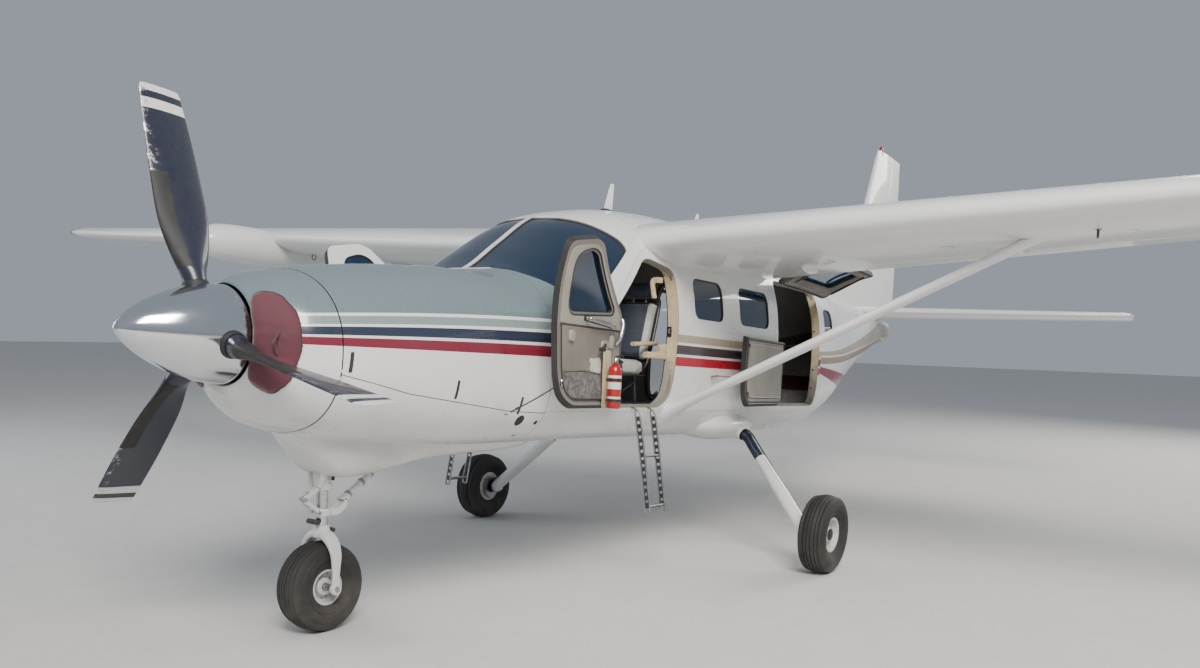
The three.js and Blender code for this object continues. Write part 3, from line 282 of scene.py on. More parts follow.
# The fuselage is one smooth skin over frames. A station gives its top, bottom, half width, height of
# the widest point, and the exponents that square its upper and lower half. A place on the skin is
# (y, t): t is 0 at the port side, a quarter turn at the top and half a turn at starboard.
FUSELAGE = np.array([
    (0.56, 1.872, 1.302, 0.318, 1.580, 2.0, 2.0), (0.64, 1.912, 1.182, 0.420, 1.565, 2.1, 2.1),
    (0.88, 1.975, 1.068, 0.565, 1.540, 2.2, 2.3), (1.30, 2.045, 1.002, 0.675, 1.520, 2.4, 2.5),
    (1.85, 2.100, 0.970, 0.745, 1.520, 2.7, 2.8), (2.40, 2.145, 0.975, 0.790, 1.520, 3.0, 3.2),
    (2.72, 2.352, 0.980, 0.806, 1.560, 2.8, 3.4), (3.04, 2.560, 0.985, 0.816, 1.600, 2.6, 3.6),
    (3.50, 2.700, 0.985, 0.824, 1.620, 2.6, 3.8), (4.00, 2.765, 0.985, 0.828, 1.640, 2.6, 4.0),
    (5.00, 2.790, 0.985, 0.828, 1.640, 2.7, 4.0), (6.00, 2.775, 0.985, 0.820, 1.640, 2.7, 4.0),
    (6.90, 2.700, 1.030, 0.786, 1.670, 2.7, 3.6), (7.48, 2.625, 1.140, 0.728, 1.720, 2.6, 3.0),
    (8.50, 2.530, 1.500, 0.530, 1.880, 2.4, 2.5), (9.60, 2.460, 1.830, 0.330, 2.070, 2.2, 2.2),
    (10.40, 2.410, 2.010, 0.190, 2.190, 2.0, 2.0), (11.00, 2.370, 2.130, 0.085, 2.250, 2.0, 2.0),
])
HALF_TURN = math.pi


def turn_angles(count, start=0.0):
    """Angles of one full turn, without its end."""
    return np.linspace(start, start + 2 * math.pi, count, endpoint=False)


def station_at(y, stations=FUSELAGE):
    """The sizes of the section at each y, on a smooth curve through the stations."""
    y = np.atleast_1d(np.asarray(y, float))
    at, rows = stations[:, 0], stations[:, 1:]
    slopes = np.gradient(rows, at, axis=0)
    i = np.clip(np.searchsorted(at, y) - 1, 0, len(at) - 2)
    step = (at[i + 1] - at[i])[:, None]
    u = ((y - at[i]) / step[:, 0])[:, None]
    return (rows[i] * (2 * u**3 - 3 * u**2 + 1) + rows[i + 1] * (3 * u**2 - 2 * u**3)
            + step * (slopes[i] * (u**3 - 2 * u**2 + u) + slopes[i + 1] * (u**3 - u**2)))


def skin(y, t, depth=0.0, stations=FUSELAGE):
    """Points of the skin, or of a layer that lies `depth` under it."""
    y, t = np.broadcast_arrays(np.asarray(y, float), np.asarray(t, float))
    y, t = y.ravel(), t.ravel()
    top, bottom, half, wide, upper, lower = station_at(y, stations).T
    over = np.sin(t) > 0
    power = 2 / np.where(over, upper, lower)
    rise = np.where(over, top - wide, wide - bottom) - depth
    x = (half - depth) * np.sign(np.cos(t)) * np.abs(np.cos(t)) ** power
    z = wide + rise * np.sign(np.sin(t)) * np.abs(np.sin(t)) ** power
    return np.stack([x, y, z], axis=1)


def t_at(y, z, side=1):
    """The t of a height on the port side of the skin, or on the starboard side."""
    top, bottom, half, wide, upper, lower = station_at(y).T
    over = z > wide
    share = np.clip(np.where(over, (z - wide) / (top - wide), (wide - z) / (wide - bottom)), 0, 1)
    t = np.arcsin(share ** (np.where(over, upper, lower) / 2)) * np.where(over, 1, -1)
    return t if side > 0 else HALF_TURN - t


def t_beside_crown(y, x, side=1):
    """The t of a line that runs along the crown, a given way out from the middle."""
    half, upper = station_at(y).T[[2, 4]]
    t = np.arccos((x / half) ** (upper / 2))
    return t if side > 0 else HALF_TURN - t


def skin_normal(y, t):
    """The skin's unit normal at each place."""
    step = 1e-4
    along = skin(np.add(y, step), t) - skin(np.subtract(y, step), t)
    around = skin(y, np.add(t, step)) - skin(y, np.subtract(t, step))
    normal = np.cross(around, along)
    return normal / np.linalg.norm(normal, axis=1)[:, None]


def between(ys, low, high, steps):
    """A patch of quads from one t line to another; each line gives t for the array of ys."""
    ys = np.asarray(ys, float)
    t = low(ys)[:, None] + (high(ys) - low(ys))[:, None] * np.linspace(0, 1, steps + 1)[None, :]
    grid = np.arange(t.size).reshape(t.shape)
    quads = np.stack([grid[:-1, :-1], grid[1:, :-1], grid[1:, 1:], grid[:-1, 1:]], axis=-1).reshape(-1, 4)
    return np.stack([np.repeat(ys, steps + 1), t.ravel()], axis=1), quads.tolist()


def inside(points, loop):
    """Which of the points lie inside a closed loop."""
    x, y = points[:, 0], points[:, 1]
    found = np.zeros(len(points), bool)
    for (x0, y0), (x1, y1) in zip(loop, np.roll(loop, -1, axis=0)):
        if y0 != y1:
            found ^= ((y0 > y) != (y1 > y)) & (x < (x1 - x0) * (y - y0) / (y1 - y0) + x0)
    return found


def rounded(outline, radius, steps=5):
    """An outline whose corners are rounded, each by the radius or by its own from a list."""
    points = []
    count = len(outline)
    for i in range(count):
        before, corner, after = [Vector(outline[(i + k) % count]) for k in (-1, 0, 1)]
        size = radius[i] if isinstance(radius, (list, tuple)) else radius
        back, on = (before - corner), (after - corner)
        size = min(size, back.length * 0.45, on.length * 0.45)
        start, end = corner + back.normalized() * size, corner + on.normalized() * size
        for k in range(steps + 1):
            u = k / steps
            points.append(tuple(start * (1 - u) ** 2 + corner * 2 * u * (1 - u) + end * u ** 2))
    return points


def grown(outline, gap):
    """An outline moved outward by a gap, or inward where the gap is negative."""
    loop = np.asarray(outline, float)
    ahead, behind = np.roll(loop, -1, axis=0) - loop, loop - np.roll(loop, 1, axis=0)
    turn = np.sign(np.sum(loop[:, 0] * np.roll(loop[:, 1], -1) - loop[:, 1] * np.roll(loop[:, 0], -1)))
    n1, n2 = [np.stack([d[:, 1], -d[:, 0]], axis=1) / np.linalg.norm(d, axis=1)[:, None] * turn
              for d in (behind, ahead)]
    spread = 1 + np.sum(n1 * n2, axis=1)
    return [tuple(p) for p in loop + (n1 + n2) * (gap / spread)[:, None]]


def stepped(a, b, step):
    """Evenly spaced points from one place up to, but not at, another."""
    count = max(1, math.ceil(math.dist(a, b) / step))
    return [(a[0] + (b[0] - a[0]) * i / count, a[1] + (b[1] - a[1]) * i / count) for i in range(count)]


def divided(outline, step):
    """A closed outline with points added along its sides."""
    return [p for pair in zip(outline, outline[1:] + outline[:1]) for p in stepped(*pair, step)]


def traced(outline, side, step=0.03):
    """A closed side-view outline of (y, z) as (y, t) points along the skin."""
    y, z = np.array(divided(list(outline), step)).T
    return np.stack([y, t_at(y, z, side)], axis=1)


def cut_patch(outer, holes=(), step=0.05, stretch=0.75):
    """A patch of triangles inside one loop and outside the others."""
    loops = [np.asarray(loop) * (1, stretch) for loop in (outer, *holes)]
    edge_points = np.concatenate(loops)
    edges, start = [], 0
    for loop in loops:
        edges += [(start + i, start + (i + 1) % len(loop)) for i in range(len(loop))]
        start += len(loop)

    def wanted(points):
        keep = inside(points, loops[0])
        for hole in loops[1:]:
            keep &= ~inside(points, hole)
        return keep

    low, high = loops[0].min(0), loops[0].max(0)
    lattice = np.stack(np.meshgrid(*[np.arange(a + step / 2, b, step) for a, b in zip(low, high)]), axis=-1)
    lattice = lattice.reshape(-1, 2)
    lattice = lattice[wanted(lattice)]
    if len(lattice):
        gaps = np.linalg.norm(lattice[:, None, :] - edge_points[None, :, :], axis=2).min(axis=1)
        lattice = lattice[gaps > step * 0.45]
    points = [Vector(p) for p in np.concatenate([edge_points, lattice])]
    made = geometry.delaunay_2d_cdt(points, edges, [], 0, 1e-6)
    flat, triangles = np.array([tuple(p) for p in made[0]]), np.array([tuple(f) for f in made[2]])
    triangles = triangles[wanted(flat[triangles].mean(axis=1))]
    a, b, c = flat[triangles].transpose(1, 0, 2)
    (x0, y0), (x1, y1) = (b - a).T, (c - a).T
    clockwise = x0 * y1 - y0 * x1 < 0
    triangles[clockwise] = triangles[clockwise][:, ::-1]
    return flat / (1, stretch), triangles.tolist()


def wall(shape, patch, face, back, marks=(0, 1, 2)):
    """A closed wall between two layers of a patch, with a finish for its face, its back and its rim."""
    places, faces = patch
    count = len(places)
    single = set()
    for ring in faces:
        for a, b in zip(ring, ring[1:] + ring[:1]):
            if (b, a) in single:
                single.remove((b, a))
            else:
                single.add((a, b))
    rim = [[b, a, a + count, b + count] for a, b in sorted(single)]
    backs = [[i + count for i in ring[::-1]] for ring in faces]
    each = [marks[0]] * len(faces) + [marks[1]] * len(backs) + [marks[2]] * len(rim)
    shape.add(np.concatenate([face(places), back(places)]), faces + backs + rim, each)


def skin_wall(shape, patch, out=0.0, depth=0.042, marks=(0, 1, 2)):
    wall(shape, patch, lambda p: skin(*p.T, out), lambda p: skin(*p.T, depth), marks)


# The whole airframe is white gloss enamel with level stripes. On the nose they taper forward under
# a teal-grey top; behind the crew door they are tan, umber and red, and in the tail the tan sweeps
# up while the maroon runs down under the belly. Grime gathers low down, and sheets ripple slightly.
WHITE, TEAL, SAGE = (0.78, 0.79, 0.78), (0.150, 0.205, 0.225), (0.235, 0.300, 0.295)
NAVY, MAROON, RED = (0.022, 0.030, 0.060), (0.200, 0.018, 0.038), (0.42, 0.016, 0.030)
TAN, UMBER, BROWN, CREAM = (0.40, 0.34, 0.25), (0.060, 0.045, 0.045), (0.30, 0.20, 0.12), (0.80, 0.76, 0.66)
NOSE_STRIPES = (
    (1.560, 1.575, MAROON), (1.600, 1.645, WHITE), (1.612, 1.665, NAVY), (1.652, 1.730, WHITE),
    (1.664, 1.750, SAGE), (1.705, 1.800, WHITE), (1.720, 1.820, TEAL),
)
SIDE_STRIPES = ((1.57, 1.64, RED), (1.66, 1.73, UMBER), (1.75, 1.81, TAN))
NOSE_END, FLANK_END, SWEEP_START, SWEEP_LENGTH = 3.015, 6.86, 6.85, 3.35


def livery(name, roughness=0.22, ripple=0.25, striped=True, beads=0.0):
    """Gloss white enamel, with the airframe's stripes or plain, and grime low down."""
    paint = Paint(name)
    x, y, z = paint.split(paint.craft())
    colour = WHITE
    if striped:
        back = 1 - ((y - 0.70) / 2.2).clamped()
        taper = 1 - back * back
        nose = 1 - y.above(NOSE_END)
        for at_nose, at_door, tint in NOSE_STRIPES:
            below_glass = 1 - z.above((y - 2.40) * 0.30 + 2.14) * y.above(2.38)
            band = z.above(taper * (at_door - at_nose) + at_nose) * nose * below_glass
            colour = paint.mix(colour, tint, band)
        flank = y.above(NOSE_END) * (1 - y.above(FLANK_END))
        for low, high, tint in SIDE_STRIPES:
            colour = paint.mix(colour, tint, z.above(low) * (1 - z.above(high)) * flank)
        aft = ((y - SWEEP_START) / SWEEP_LENGTH).clamped()
        sweep = aft.math("POWER", 1.5)
        tail = y.above(FLANK_END)
        under, line, over = sweep * 0.36 + 1.685, sweep * 0.36 + 1.76, sweep * 0.50 + 1.81
        colour = paint.mix(colour, BROWN, z.above(under) * (1 - z.above(over)) * tail)
        colour = paint.mix(colour, TAN, z.above(line) * (1 - z.above(over)) * tail)
        colour = paint.mix(colour, CREAM, z.above(line - 0.009) * (1 - z.above(line + 0.009)) * tail)
        drop_high, drop_low = 1.66 - (y - SWEEP_START) * 0.055, 1.59 - (y - SWEEP_START) * 0.15
        colour = paint.mix(colour, CREAM, z.above(drop_low) * (1 - z.above(drop_high + 0.016)) * tail)
        colour = paint.mix(colour, MAROON, z.above(drop_low) * (1 - z.above(drop_high)) * tail)
    dirt = paint.noise(2.2, 6.0, 0.62).above(0.5, 0.5)
    low = 1 - z.above(1.25, 0.5)
    colour = paint.mix(colour, (0.20, 0.18, 0.15), dirt * low * 0.30 + dirt * 0.035)
    height = paint.noise(1.7, 1.0) + paint.noise(420.0, 1.0) * 0.004
    if beads:
        height = height + (x * (2 * math.pi / beads)).math("SINE") * 0.12
    paint.finish(
        Base_Color=colour, Roughness=dirt * 0.16 + roughness,
        Normal=paint.bump(height, distance=0.01, strength=ripple),
        Coat_Weight=0.6, Coat_Roughness=0.06,
    )
    return paint.material


def finish_of(name, first, second, scale=3.0, roughness=0.4, grain=300.0, depth=0.0004, **constants):
    """A finish with drifting colour, patchy gloss and a fine grain, for the parts beside the livery."""
    paint = Paint(name)
    drift = paint.noise(scale, 5.0, 0.6)
    paint.finish(
        Base_Color=paint.mix(first, second, drift.above(0.5, 0.35)),
        Roughness=drift * 0.25 + (roughness - 0.12),
        Normal=paint.bump(paint.noise(grain, 2.0), distance=depth, strength=0.5),
        **constants,
    )
    return paint.material


enamel = livery("striped_enamel")
primer = finish_of("zinc_primer", (0.16, 0.17, 0.12), (0.11, 0.12, 0.09), 5.0, 0.6)
rubber_seal = finish_of("rubber_seal", (0.018, 0.018, 0.020), (0.035, 0.034, 0.034), 9.0, 0.7)
bare_steel = finish_of("bare_steel", (0.45, 0.45, 0.46), (0.30, 0.30, 0.31), 12.0, 0.35, Metallic=1.0)


# Cowling: a nose bowl and an upper and a lower cowl of riveted sheet over the engine, held by
# quarter-turn fasteners. They meet at fine gaps, and the lower one has slots, drains and a chin
# fairing that the nose leg comes out of.
SEAM_GAP = 0.0022
BOWL_FRONT, COWL_SEAM, FIREWALL = 0.60, 0.88, 2.40
SPINNER_BACK = (0.545, 0.272)
SHAFT_Z = 1.59
COWL_WALL = 0.024
COWL_SPLIT = np.array([(0.70, 1.440), (0.88, 1.412), (1.30, 1.318), (2.07, 1.225), (2.50, 1.210)])


def split_line(side, gap):
    """The seam between the upper and the lower cowl, as t for a given y."""
    return lambda y: t_at(y, np.interp(y, *COWL_SPLIT.T) + gap, side)


def loft(shape, rings, marks=0, closed=False):
    """A closed body through rings of equal counts, with its two end rings filled."""
    rings = np.asarray(rings, float)
    rows, count = rings.shape[:2]
    grid = np.arange(rows * count).reshape(rows, count)
    after = np.roll(grid, -1, axis=1)
    last = rows if closed else rows - 1
    ahead = np.roll(grid, -1, axis=0)
    faces = np.stack([grid[:last], after[:last], np.roll(after, -1, axis=0)[:last], ahead[:last]], axis=-1)
    faces = faces.reshape(-1, 4).tolist()
    if not closed:
        faces += [grid[0][::-1].tolist(), grid[-1].tolist()]
    shape.add(rings.reshape(-1, 3), faces, marks)


seam_ys = np.linspace(COWL_SEAM + SEAM_GAP, FIREWALL - SEAM_GAP, 34)
top_cowl = Shape(enamel, primer, rubber_seal)
skin_wall(top_cowl, between(seam_ys, split_line(1, SEAM_GAP), split_line(-1, SEAM_GAP), 60), 0, COWL_WALL)
top_cowl.make("cowl_top", "airframe", "cowl_paint", ["cowl_upper"])

CHIN = np.array([
    (0.90, 1.250, 1.085, 0.060, 1.190, 2.2, 2.4), (0.95, 1.250, 1.030, 0.130, 1.140, 2.4, 2.8),
    (1.06, 1.250, 0.925, 0.185, 1.090, 2.6, 3.4), (1.17, 1.250, 0.822, 0.212, 1.070, 2.6, 3.8),
    (1.235, 1.250, 0.800, 0.224, 1.060, 2.6, 3.8), (1.45, 1.250, 0.797, 0.236, 1.040, 2.6, 3.4),
    (1.62, 1.250, 0.814, 0.234, 1.040, 2.6, 3.2), (1.90, 1.250, 0.858, 0.222, 1.040, 2.6, 3.0),
    (2.40, 1.250, 0.892, 0.205, 1.060, 2.6, 3.2), (2.80, 1.250, 0.906, 0.195, 1.060, 2.6, 3.2),
    (3.00, 1.250, 0.930, 0.175, 1.070, 2.6, 3.0), (3.16, 1.250, 1.010, 0.120, 1.080, 2.4, 2.6),
])
low_cowl = Shape(enamel, primer, rubber_seal)
skin_wall(low_cowl, between(seam_ys, lambda y: split_line(-1, -SEAM_GAP)(y) - 2 * HALF_TURN,
                            split_line(1, -SEAM_GAP), 60), 0, COWL_WALL)
chin_t = turn_angles(40)
loft(low_cowl, [skin(np.full(40, y), chin_t, 0, CHIN) for y in np.linspace(0.90, 3.16, 72)])
low_cowl.make("cowl_under", "airframe", "cowl_paint", ["cowl_lower"])


def ring_at(radius, y, count=96):
    """A circle round the shaft."""
    angle = turn_angles(count, -HALF_TURN / 2)
    return np.stack([radius * np.cos(angle), np.full(count, y), SHAFT_Z + radius * np.sin(angle)], axis=1)


bowl = Shape(enamel, primer, rubber_seal)
around = turn_angles(96, -HALF_TURN / 2)
lip_y, lip_radius = SPINNER_BACK
outer_lip, inner_lip = skin(np.full(96, BOWL_FRONT), around), ring_at(lip_radius, lip_y)
bowl_rings = [skin(np.full(96, y), around) for y in np.linspace(COWL_SEAM - 0.004, BOWL_FRONT, 16)]
for u in (0.25, 0.5, 0.75, 0.92, 1.0):
    ring = outer_lip * (1 - u) + inner_lip * u
    ring[:, 1] = BOWL_FRONT + (lip_y - BOWL_FRONT) * math.sin(u * HALF_TURN / 2)
    bowl_rings.append(ring)
hidden = [ring_at(0.255, 0.575)] + [skin(np.full(96, y), around, COWL_WALL) for y in (0.64, 0.74, 0.876)]
loft(bowl, bowl_rings + hidden, closed=True)
bowl.make("nose_bowl", "airframe", "cowl_paint", ["cowl_nose"])


def disc(y, z, radius, count=20):
    """A round outline in side view."""
    turns = [2 * math.pi * i / count for i in range(count)]
    return [(y + radius * math.cos(a), z + radius * math.sin(a)) for a in turns]


# Slots as (y, z), and ports as (y, z, radius)
SLOTS = ((0.92, 1.48), (1.61, 1.352), (2.15, 1.262))
PORTS = ((2.20, 1.165, 0.034), (2.36, 1.150, 0.014), (2.28, 1.06, 0.008))
vents = Shape(rubber_seal, bare_steel)
for side in (1, -1):
    for y, z in SLOTS:
        slot = rounded([(y - 0.009, z - 0.055), (y + 0.009, z - 0.055), (y + 0.015, z + 0.055),
                        (y - 0.003, z + 0.055)], 0.008)
        skin_wall(vents, cut_patch(traced(slot, side, 0.02), step=0.03), -0.0012, 0.003, (0, 0, 0))
    for y, z, radius in PORTS:
        skin_wall(vents, cut_patch(traced(disc(y, z, radius), side, 0.02), step=0.03), -0.0012, 0.003,
                  (0, 0, 0))
vents.make("cowl_slots_and_ports", "airframe", "cowl_paint")


def tree_of(name, inputs):
    """An empty Geometry Nodes tree with named inputs, and a short way to add and join its nodes."""
    tree = bpy.data.node_groups.new(name, "GeometryNodeTree")
    tree.interface.new_socket("Geometry", in_out="INPUT", socket_type="NodeSocketGeometry")
    for label, kind in inputs:
        tree.interface.new_socket(label, in_out="INPUT", socket_type="NodeSocket" + kind)
    tree.interface.new_socket("Geometry", in_out="OUTPUT", socket_type="NodeSocketGeometry")
    given, result = tree.nodes.new("NodeGroupInput"), tree.nodes.new("NodeGroupOutput")

    def node(kind, settings=None, **links):
        made = tree.nodes.new(kind)
        for key, value in (settings or {}).items():
            setattr(made, key, value)
        for label, source in links.items():
            socket = made.inputs[label.replace("_", " ")]
            if isinstance(source, bpy.types.NodeSocket):
                tree.links.new(source, socket)
            else:
                socket.default_value = source
        return made

    return tree, given.outputs, result.inputs[0], node


row_tree, row_given, row_result, add_node = tree_of(
    "fasteners_in_rows", (("Fastener", "Object"), ("Pitch", "Float"), ("Finish", "Material")))
curve = add_node("GeometryNodeMeshToCurve", Mesh=row_given["Geometry"]).outputs[0]
spaced = add_node("GeometryNodeResampleCurve", {"mode": "LENGTH"}, Curve=curve,
                  Length=row_given["Pitch"]).outputs[0]
outward = add_node("GeometryNodeInputNamedAttribute", {"data_type": "FLOAT_VECTOR"},
                   Name="outward").outputs[0]
upright_turn = add_node("FunctionNodeAlignRotationToVector", {"axis": "Z"}, Vector=outward).outputs[0]
copy = add_node("GeometryNodeObjectInfo", Object=row_given["Fastener"],
                As_Instance=True).outputs["Geometry"]
placed = add_node("GeometryNodeInstanceOnPoints", Points=spaced, Instance=copy,
                  Rotation=upright_turn).outputs[0]
real = add_node("GeometryNodeRealizeInstances", Geometry=placed).outputs[0]
painted = add_node("GeometryNodeSetMaterial", Geometry=real, Material=row_given["Finish"]).outputs[0]
row_tree.links.new(painted, row_result)


def fastener(name, profile, sides=8):
    """A small turned head on its own z; the profile runs from its foot to its crown."""
    edit = bmesh.new()
    rings = []
    for radius, height in profile:
        angles = [2 * math.pi * i / sides for i in range(sides)] if radius else [0]
        rings.append([edit.verts.new((radius * math.cos(a), radius * math.sin(a), height)) for a in angles])
    for low, high in zip(rings, rings[1:]):
        for i in range(sides):
            j = (i + 1) % sides
            corners = [low[i % len(low)], low[j % len(low)], high[j % len(high)], high[i % len(high)]]
            edit.faces.new(list(dict.fromkeys(corners)))
    mesh = bpy.data.meshes.new(name)
    edit.to_mesh(mesh)
    edit.free()
    return bpy.data.objects.new(name, mesh)


rivet = fastener("rivet_head", [(0.0042, -0.0010), (0.0040, 0.0006), (0.0024, 0.0017), (0, 0.0020)], 7)
camlock = fastener("quarter_turn_head", [(0.0085, -0.001), (0.0085, 0.0012), (0.0070, 0.0018),
                                         (0.0062, 0.0006),
                                         (0, 0.0006)], 12)


def evaluated(piece, name):
    """The piece with its modifiers' result as a plain mesh of its own."""
    mesh = bpy.data.meshes.new_from_object(piece.evaluated_get(bpy.context.evaluated_depsgraph_get()))
    bpy.data.objects.remove(piece)
    return linked(name, mesh)


def fasten(name, body, rows, head, pitch, finish=enamel, place=STAND):
    """Heads in rows: each row is its drawn points and the outward direction at each."""
    points, outward, edges = [], [], []
    for line, normals in rows:
        edges += [(len(points) + i, len(points) + i + 1) for i in range(len(line) - 1)]
        points += [tuple(p) for p in line]
        outward += [tuple(n) for n in normals]
    mesh = bpy.data.meshes.new(name + "_rows")
    mesh.from_pydata(moved(points, place).tolist(), edges, [])
    for label, vectors in (("craft", points), ("outward", turned(outward, place))):
        layer = mesh.attributes.new(label, "FLOAT_VECTOR", "POINT")
        layer.data.foreach_set("vector", np.asarray(vectors, np.float32).ravel())
    rows_object = linked(name + "_rows", mesh)
    modifier = rows_object.modifiers.new("rows", "NODES")
    modifier.node_group = row_tree
    sockets = {s.name: s.identifier for s in row_tree.interface.items_tree if s.in_out == "INPUT"}
    for label, value in (("Fastener", head), ("Pitch", pitch), ("Finish", finish)):
        modifier[sockets[label]] = value
    result = evaluated(rows_object, name)
    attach(result, body)
    return result


def skin_row(ys, ts):
    """Places on the skin with the way that they face."""
    ys, ts = np.broadcast_arrays(np.asarray(ys, float), np.asarray(ts, float))
    return skin(ys, ts), skin_normal(ys, ts)


def ring_row(y, low=-HALF_TURN / 2, high=1.5 * HALF_TURN):
    """A row of fasteners round one section."""
    return skin_row(y, np.linspace(low, high, 90))


cowl_rows = [ring_row(y) for y in (0.855, 0.905, 2.375)]
for side in (1, -1):
    for gap in (0.02, -0.02):
        cowl_rows.append(skin_row(seam_ys, split_line(side, gap)(seam_ys)))
fasten("cowl_fasteners", "airframe", cowl_rows, camlock, 0.105)
cowl_rivets = [ring_row(y, 0.15, HALF_TURN - 0.15) for y in (1.30, 1.85, 2.33)]
fasten("cowl_rivets", "airframe", cowl_rivets, rivet, 0.032)


# Inlet covers: two quilted maroon cushions of coated cloth over foam, D-shaped, pushed into the
# intakes beside the spinner, each with a piped edge and a grab loop.
INLET = [(0.215, 1.345), (0.30, 1.285), (0.42, 1.37), (0.478, 1.55), (0.447, 1.71), (0.33, 1.815),
         (0.225, 1.825), (0.287, 1.59)]
meridians = np.array(bowl_rings)


def bowl_y(x, z):
    """How far aft the nose bowl lies behind a point of the front view."""
    flat = meridians[:, :, [0, 2]].reshape(-1, 2)
    depth = meridians[:, :, 1].ravel()
    gaps = np.linalg.norm(flat[None] - np.stack([x, z], 1)[:, None], axis=2)
    near = np.argsort(gaps, axis=1)[:, :4]
    weight = 1 / (np.take_along_axis(gaps, near, 1) + 1e-3)
    return (depth[near] * weight).sum(1) / weight.sum(1)


def curve_through(points, steps=8, loop=False):
    """A smooth line through points."""
    points = np.asarray(points, float)
    if steps < 2:
        return points
    count = len(points)
    get = (lambda i: points[i % count]) if loop else (lambda i: points[min(max(i, 0), count - 1)])
    line = []
    for i in range(count if loop else count - 1):
        a, b, c, d = get(i - 1), get(i), get(i + 1), get(i + 2)
        for k in range(steps):
            u = k / steps
            line.append(0.5 * (2 * b + (c - a) * u + (2 * a - 5 * b + 4 * c - d) * u**2
                               + (3 * b - a - 3 * c + d) * u**3))
    return np.array(line if loop else line + [points[-1]])


def pipe(shape, points, radius, sides=12, marks=0, steps=8, loop=False, bore=None):
    """A bar or tube along a smooth line; the radius may change along it, and a bore opens its far end."""
    line = curve_through(points, steps, loop)
    tangents = (np.roll(line, -1, 0) - np.roll(line, 1, 0)) if loop else np.gradient(line, axis=0)
    tangents /= np.linalg.norm(tangents, axis=1)[:, None]
    radii = np.interp(np.linspace(0, 1, len(line)), np.linspace(0, 1, np.size(radius)),
                      np.atleast_1d(radius))
    normal = np.cross(tangents[0], (0.3, 0.2, 0.9))
    angles = turn_angles(sides)
    rings, frames = [], []
    for centre, ahead, size in zip(line, tangents, radii):
        normal = normal - ahead * normal.dot(ahead)
        normal /= np.linalg.norm(normal)
        other = np.cross(ahead, normal)
        frames.append((centre, normal, other))
        rings.append(centre + size * (np.outer(np.cos(angles), normal) + np.outer(np.sin(angles), other)))
    if bore:
        for centre, one, other in frames[::-1][:-2]:
            rings.append(centre + bore * (np.outer(np.cos(angles), one) + np.outer(np.sin(angles), other)))
    loft(shape, rings, marks, loop)


def woven(name, first, second, scale=900.0):
    """Coated or plain cloth: two crossed waves for its threads, with faded patches."""
    paint = Paint(name)
    place = paint.place()
    x, y, z = paint.split(place)
    threads = ((x + y) * scale).math("SINE") * ((z + y * 0.3) * scale).math("SINE")
    patches = paint.noise(3.0, 5.0, 0.6)
    faded = paint.mix(first, second, patches.above(0.5, 0.3))
    paint.finish(
        Base_Color=paint.mix(faded, (0.30, 0.25, 0.22), patches * 0.10), Roughness=patches * 0.2 + 0.62,
        Normal=paint.bump(threads * 0.5 + patches, distance=0.0006, strength=0.7), Sheen_Weight=0.4)
    return paint.material


cover_cloth = woven("coated_cover_cloth", (0.115, 0.012, 0.030), (0.070, 0.010, 0.022))
binding = woven("cover_binding", (0.060, 0.010, 0.016), (0.040, 0.008, 0.012), 1400)
for side, name in SIDES:
    outline = divided(rounded(INLET, 0.07, 6), 0.016)
    edge = np.array(outline)
    patch = cut_patch(outline, step=0.018, stretch=1)

    def puffed(p, lift):
        gap = np.linalg.norm(p[:, None] - edge[None], axis=2).min(axis=1)
        crown = 1 - np.exp(-gap / 0.022)
        stitch = 0.006 * np.exp(-((np.abs(p[:, 1] - 1.56) - 0.075) / 0.007) ** 2)
        y = bowl_y(*p.T) - 0.004 - lift * (0.008 + 0.030 * crown - stitch)
        return np.stack([side * p[:, 0], y, p[:, 1]], axis=1)

    cover = Shape(cover_cloth, binding)
    wall(cover, patch, lambda p: puffed(p, 1), lambda p: puffed(p, -0.2), (0, 0, 1))
    pipe(cover, puffed(edge, 0.45), 0.0050, 8, 1, 1, loop=True)
    loop_at = puffed(np.array([(0.40, 1.50), (0.42, 1.56), (0.41, 1.62)]), 1)
    loop_at[1] += (0, -0.045, 0)
    pipe(cover, loop_at, 0.006, 8, 1)
    cushion = cover.make(f"inlet_cushion_{name}", "airframe", "cover_fabric", [f"inlet_cover_{name}"],
                         crease=60)


# Propeller: a polished aluminium spinner, screwed to its back plate, over three metal blades that are
# feathered. The blades are painted blue-black with white tip bands and carry rubber boots inboard.
def lathe(shape, profile, place=Matrix(), sides=64, marks=0):
    """A turned part: a closed run of (radius, height) about its own z, set where `place` puts it."""
    corners, rings = [], []
    for radius, height in profile:
        angles = turn_angles(sides) if radius > 0 else [0]
        rings.append([len(corners) + i for i in range(len(angles))])
        corners += [(radius * math.cos(a), radius * math.sin(a), height) for a in angles]
    faces, each = [], []
    ends = rings + ([rings[0]] if len(rings[0]) > 1 else [])
    for row, (low, high) in enumerate(zip(ends, ends[1:])):
        for i in range(sides):
            j = (i + 1) % sides
            ring = list(dict.fromkeys([low[i % len(low)], low[j % len(low)], high[j % len(high)],
                                       high[i % len(high)]]))
            if len(ring) > 2:
                faces.append(ring)
                each.append(marks if isinstance(marks, int) else marks[row])
    shape.add(moved(corners, place), faces, each)


AFT = Matrix.Rotation(-math.pi / 2, 4, "X")
PROP_Y = 0.44
BLADE_ANGLES = [math.radians(a) for a in (-17.8, 102.2, -137.8)]
SPINNER = [(0, -0.050), (0.018, -0.045), (0.038, -0.030), (0.092, 0.030), (0.150, 0.120), (0.205, 0.240),
           (0.245, 0.370), (0.264, 0.520)]

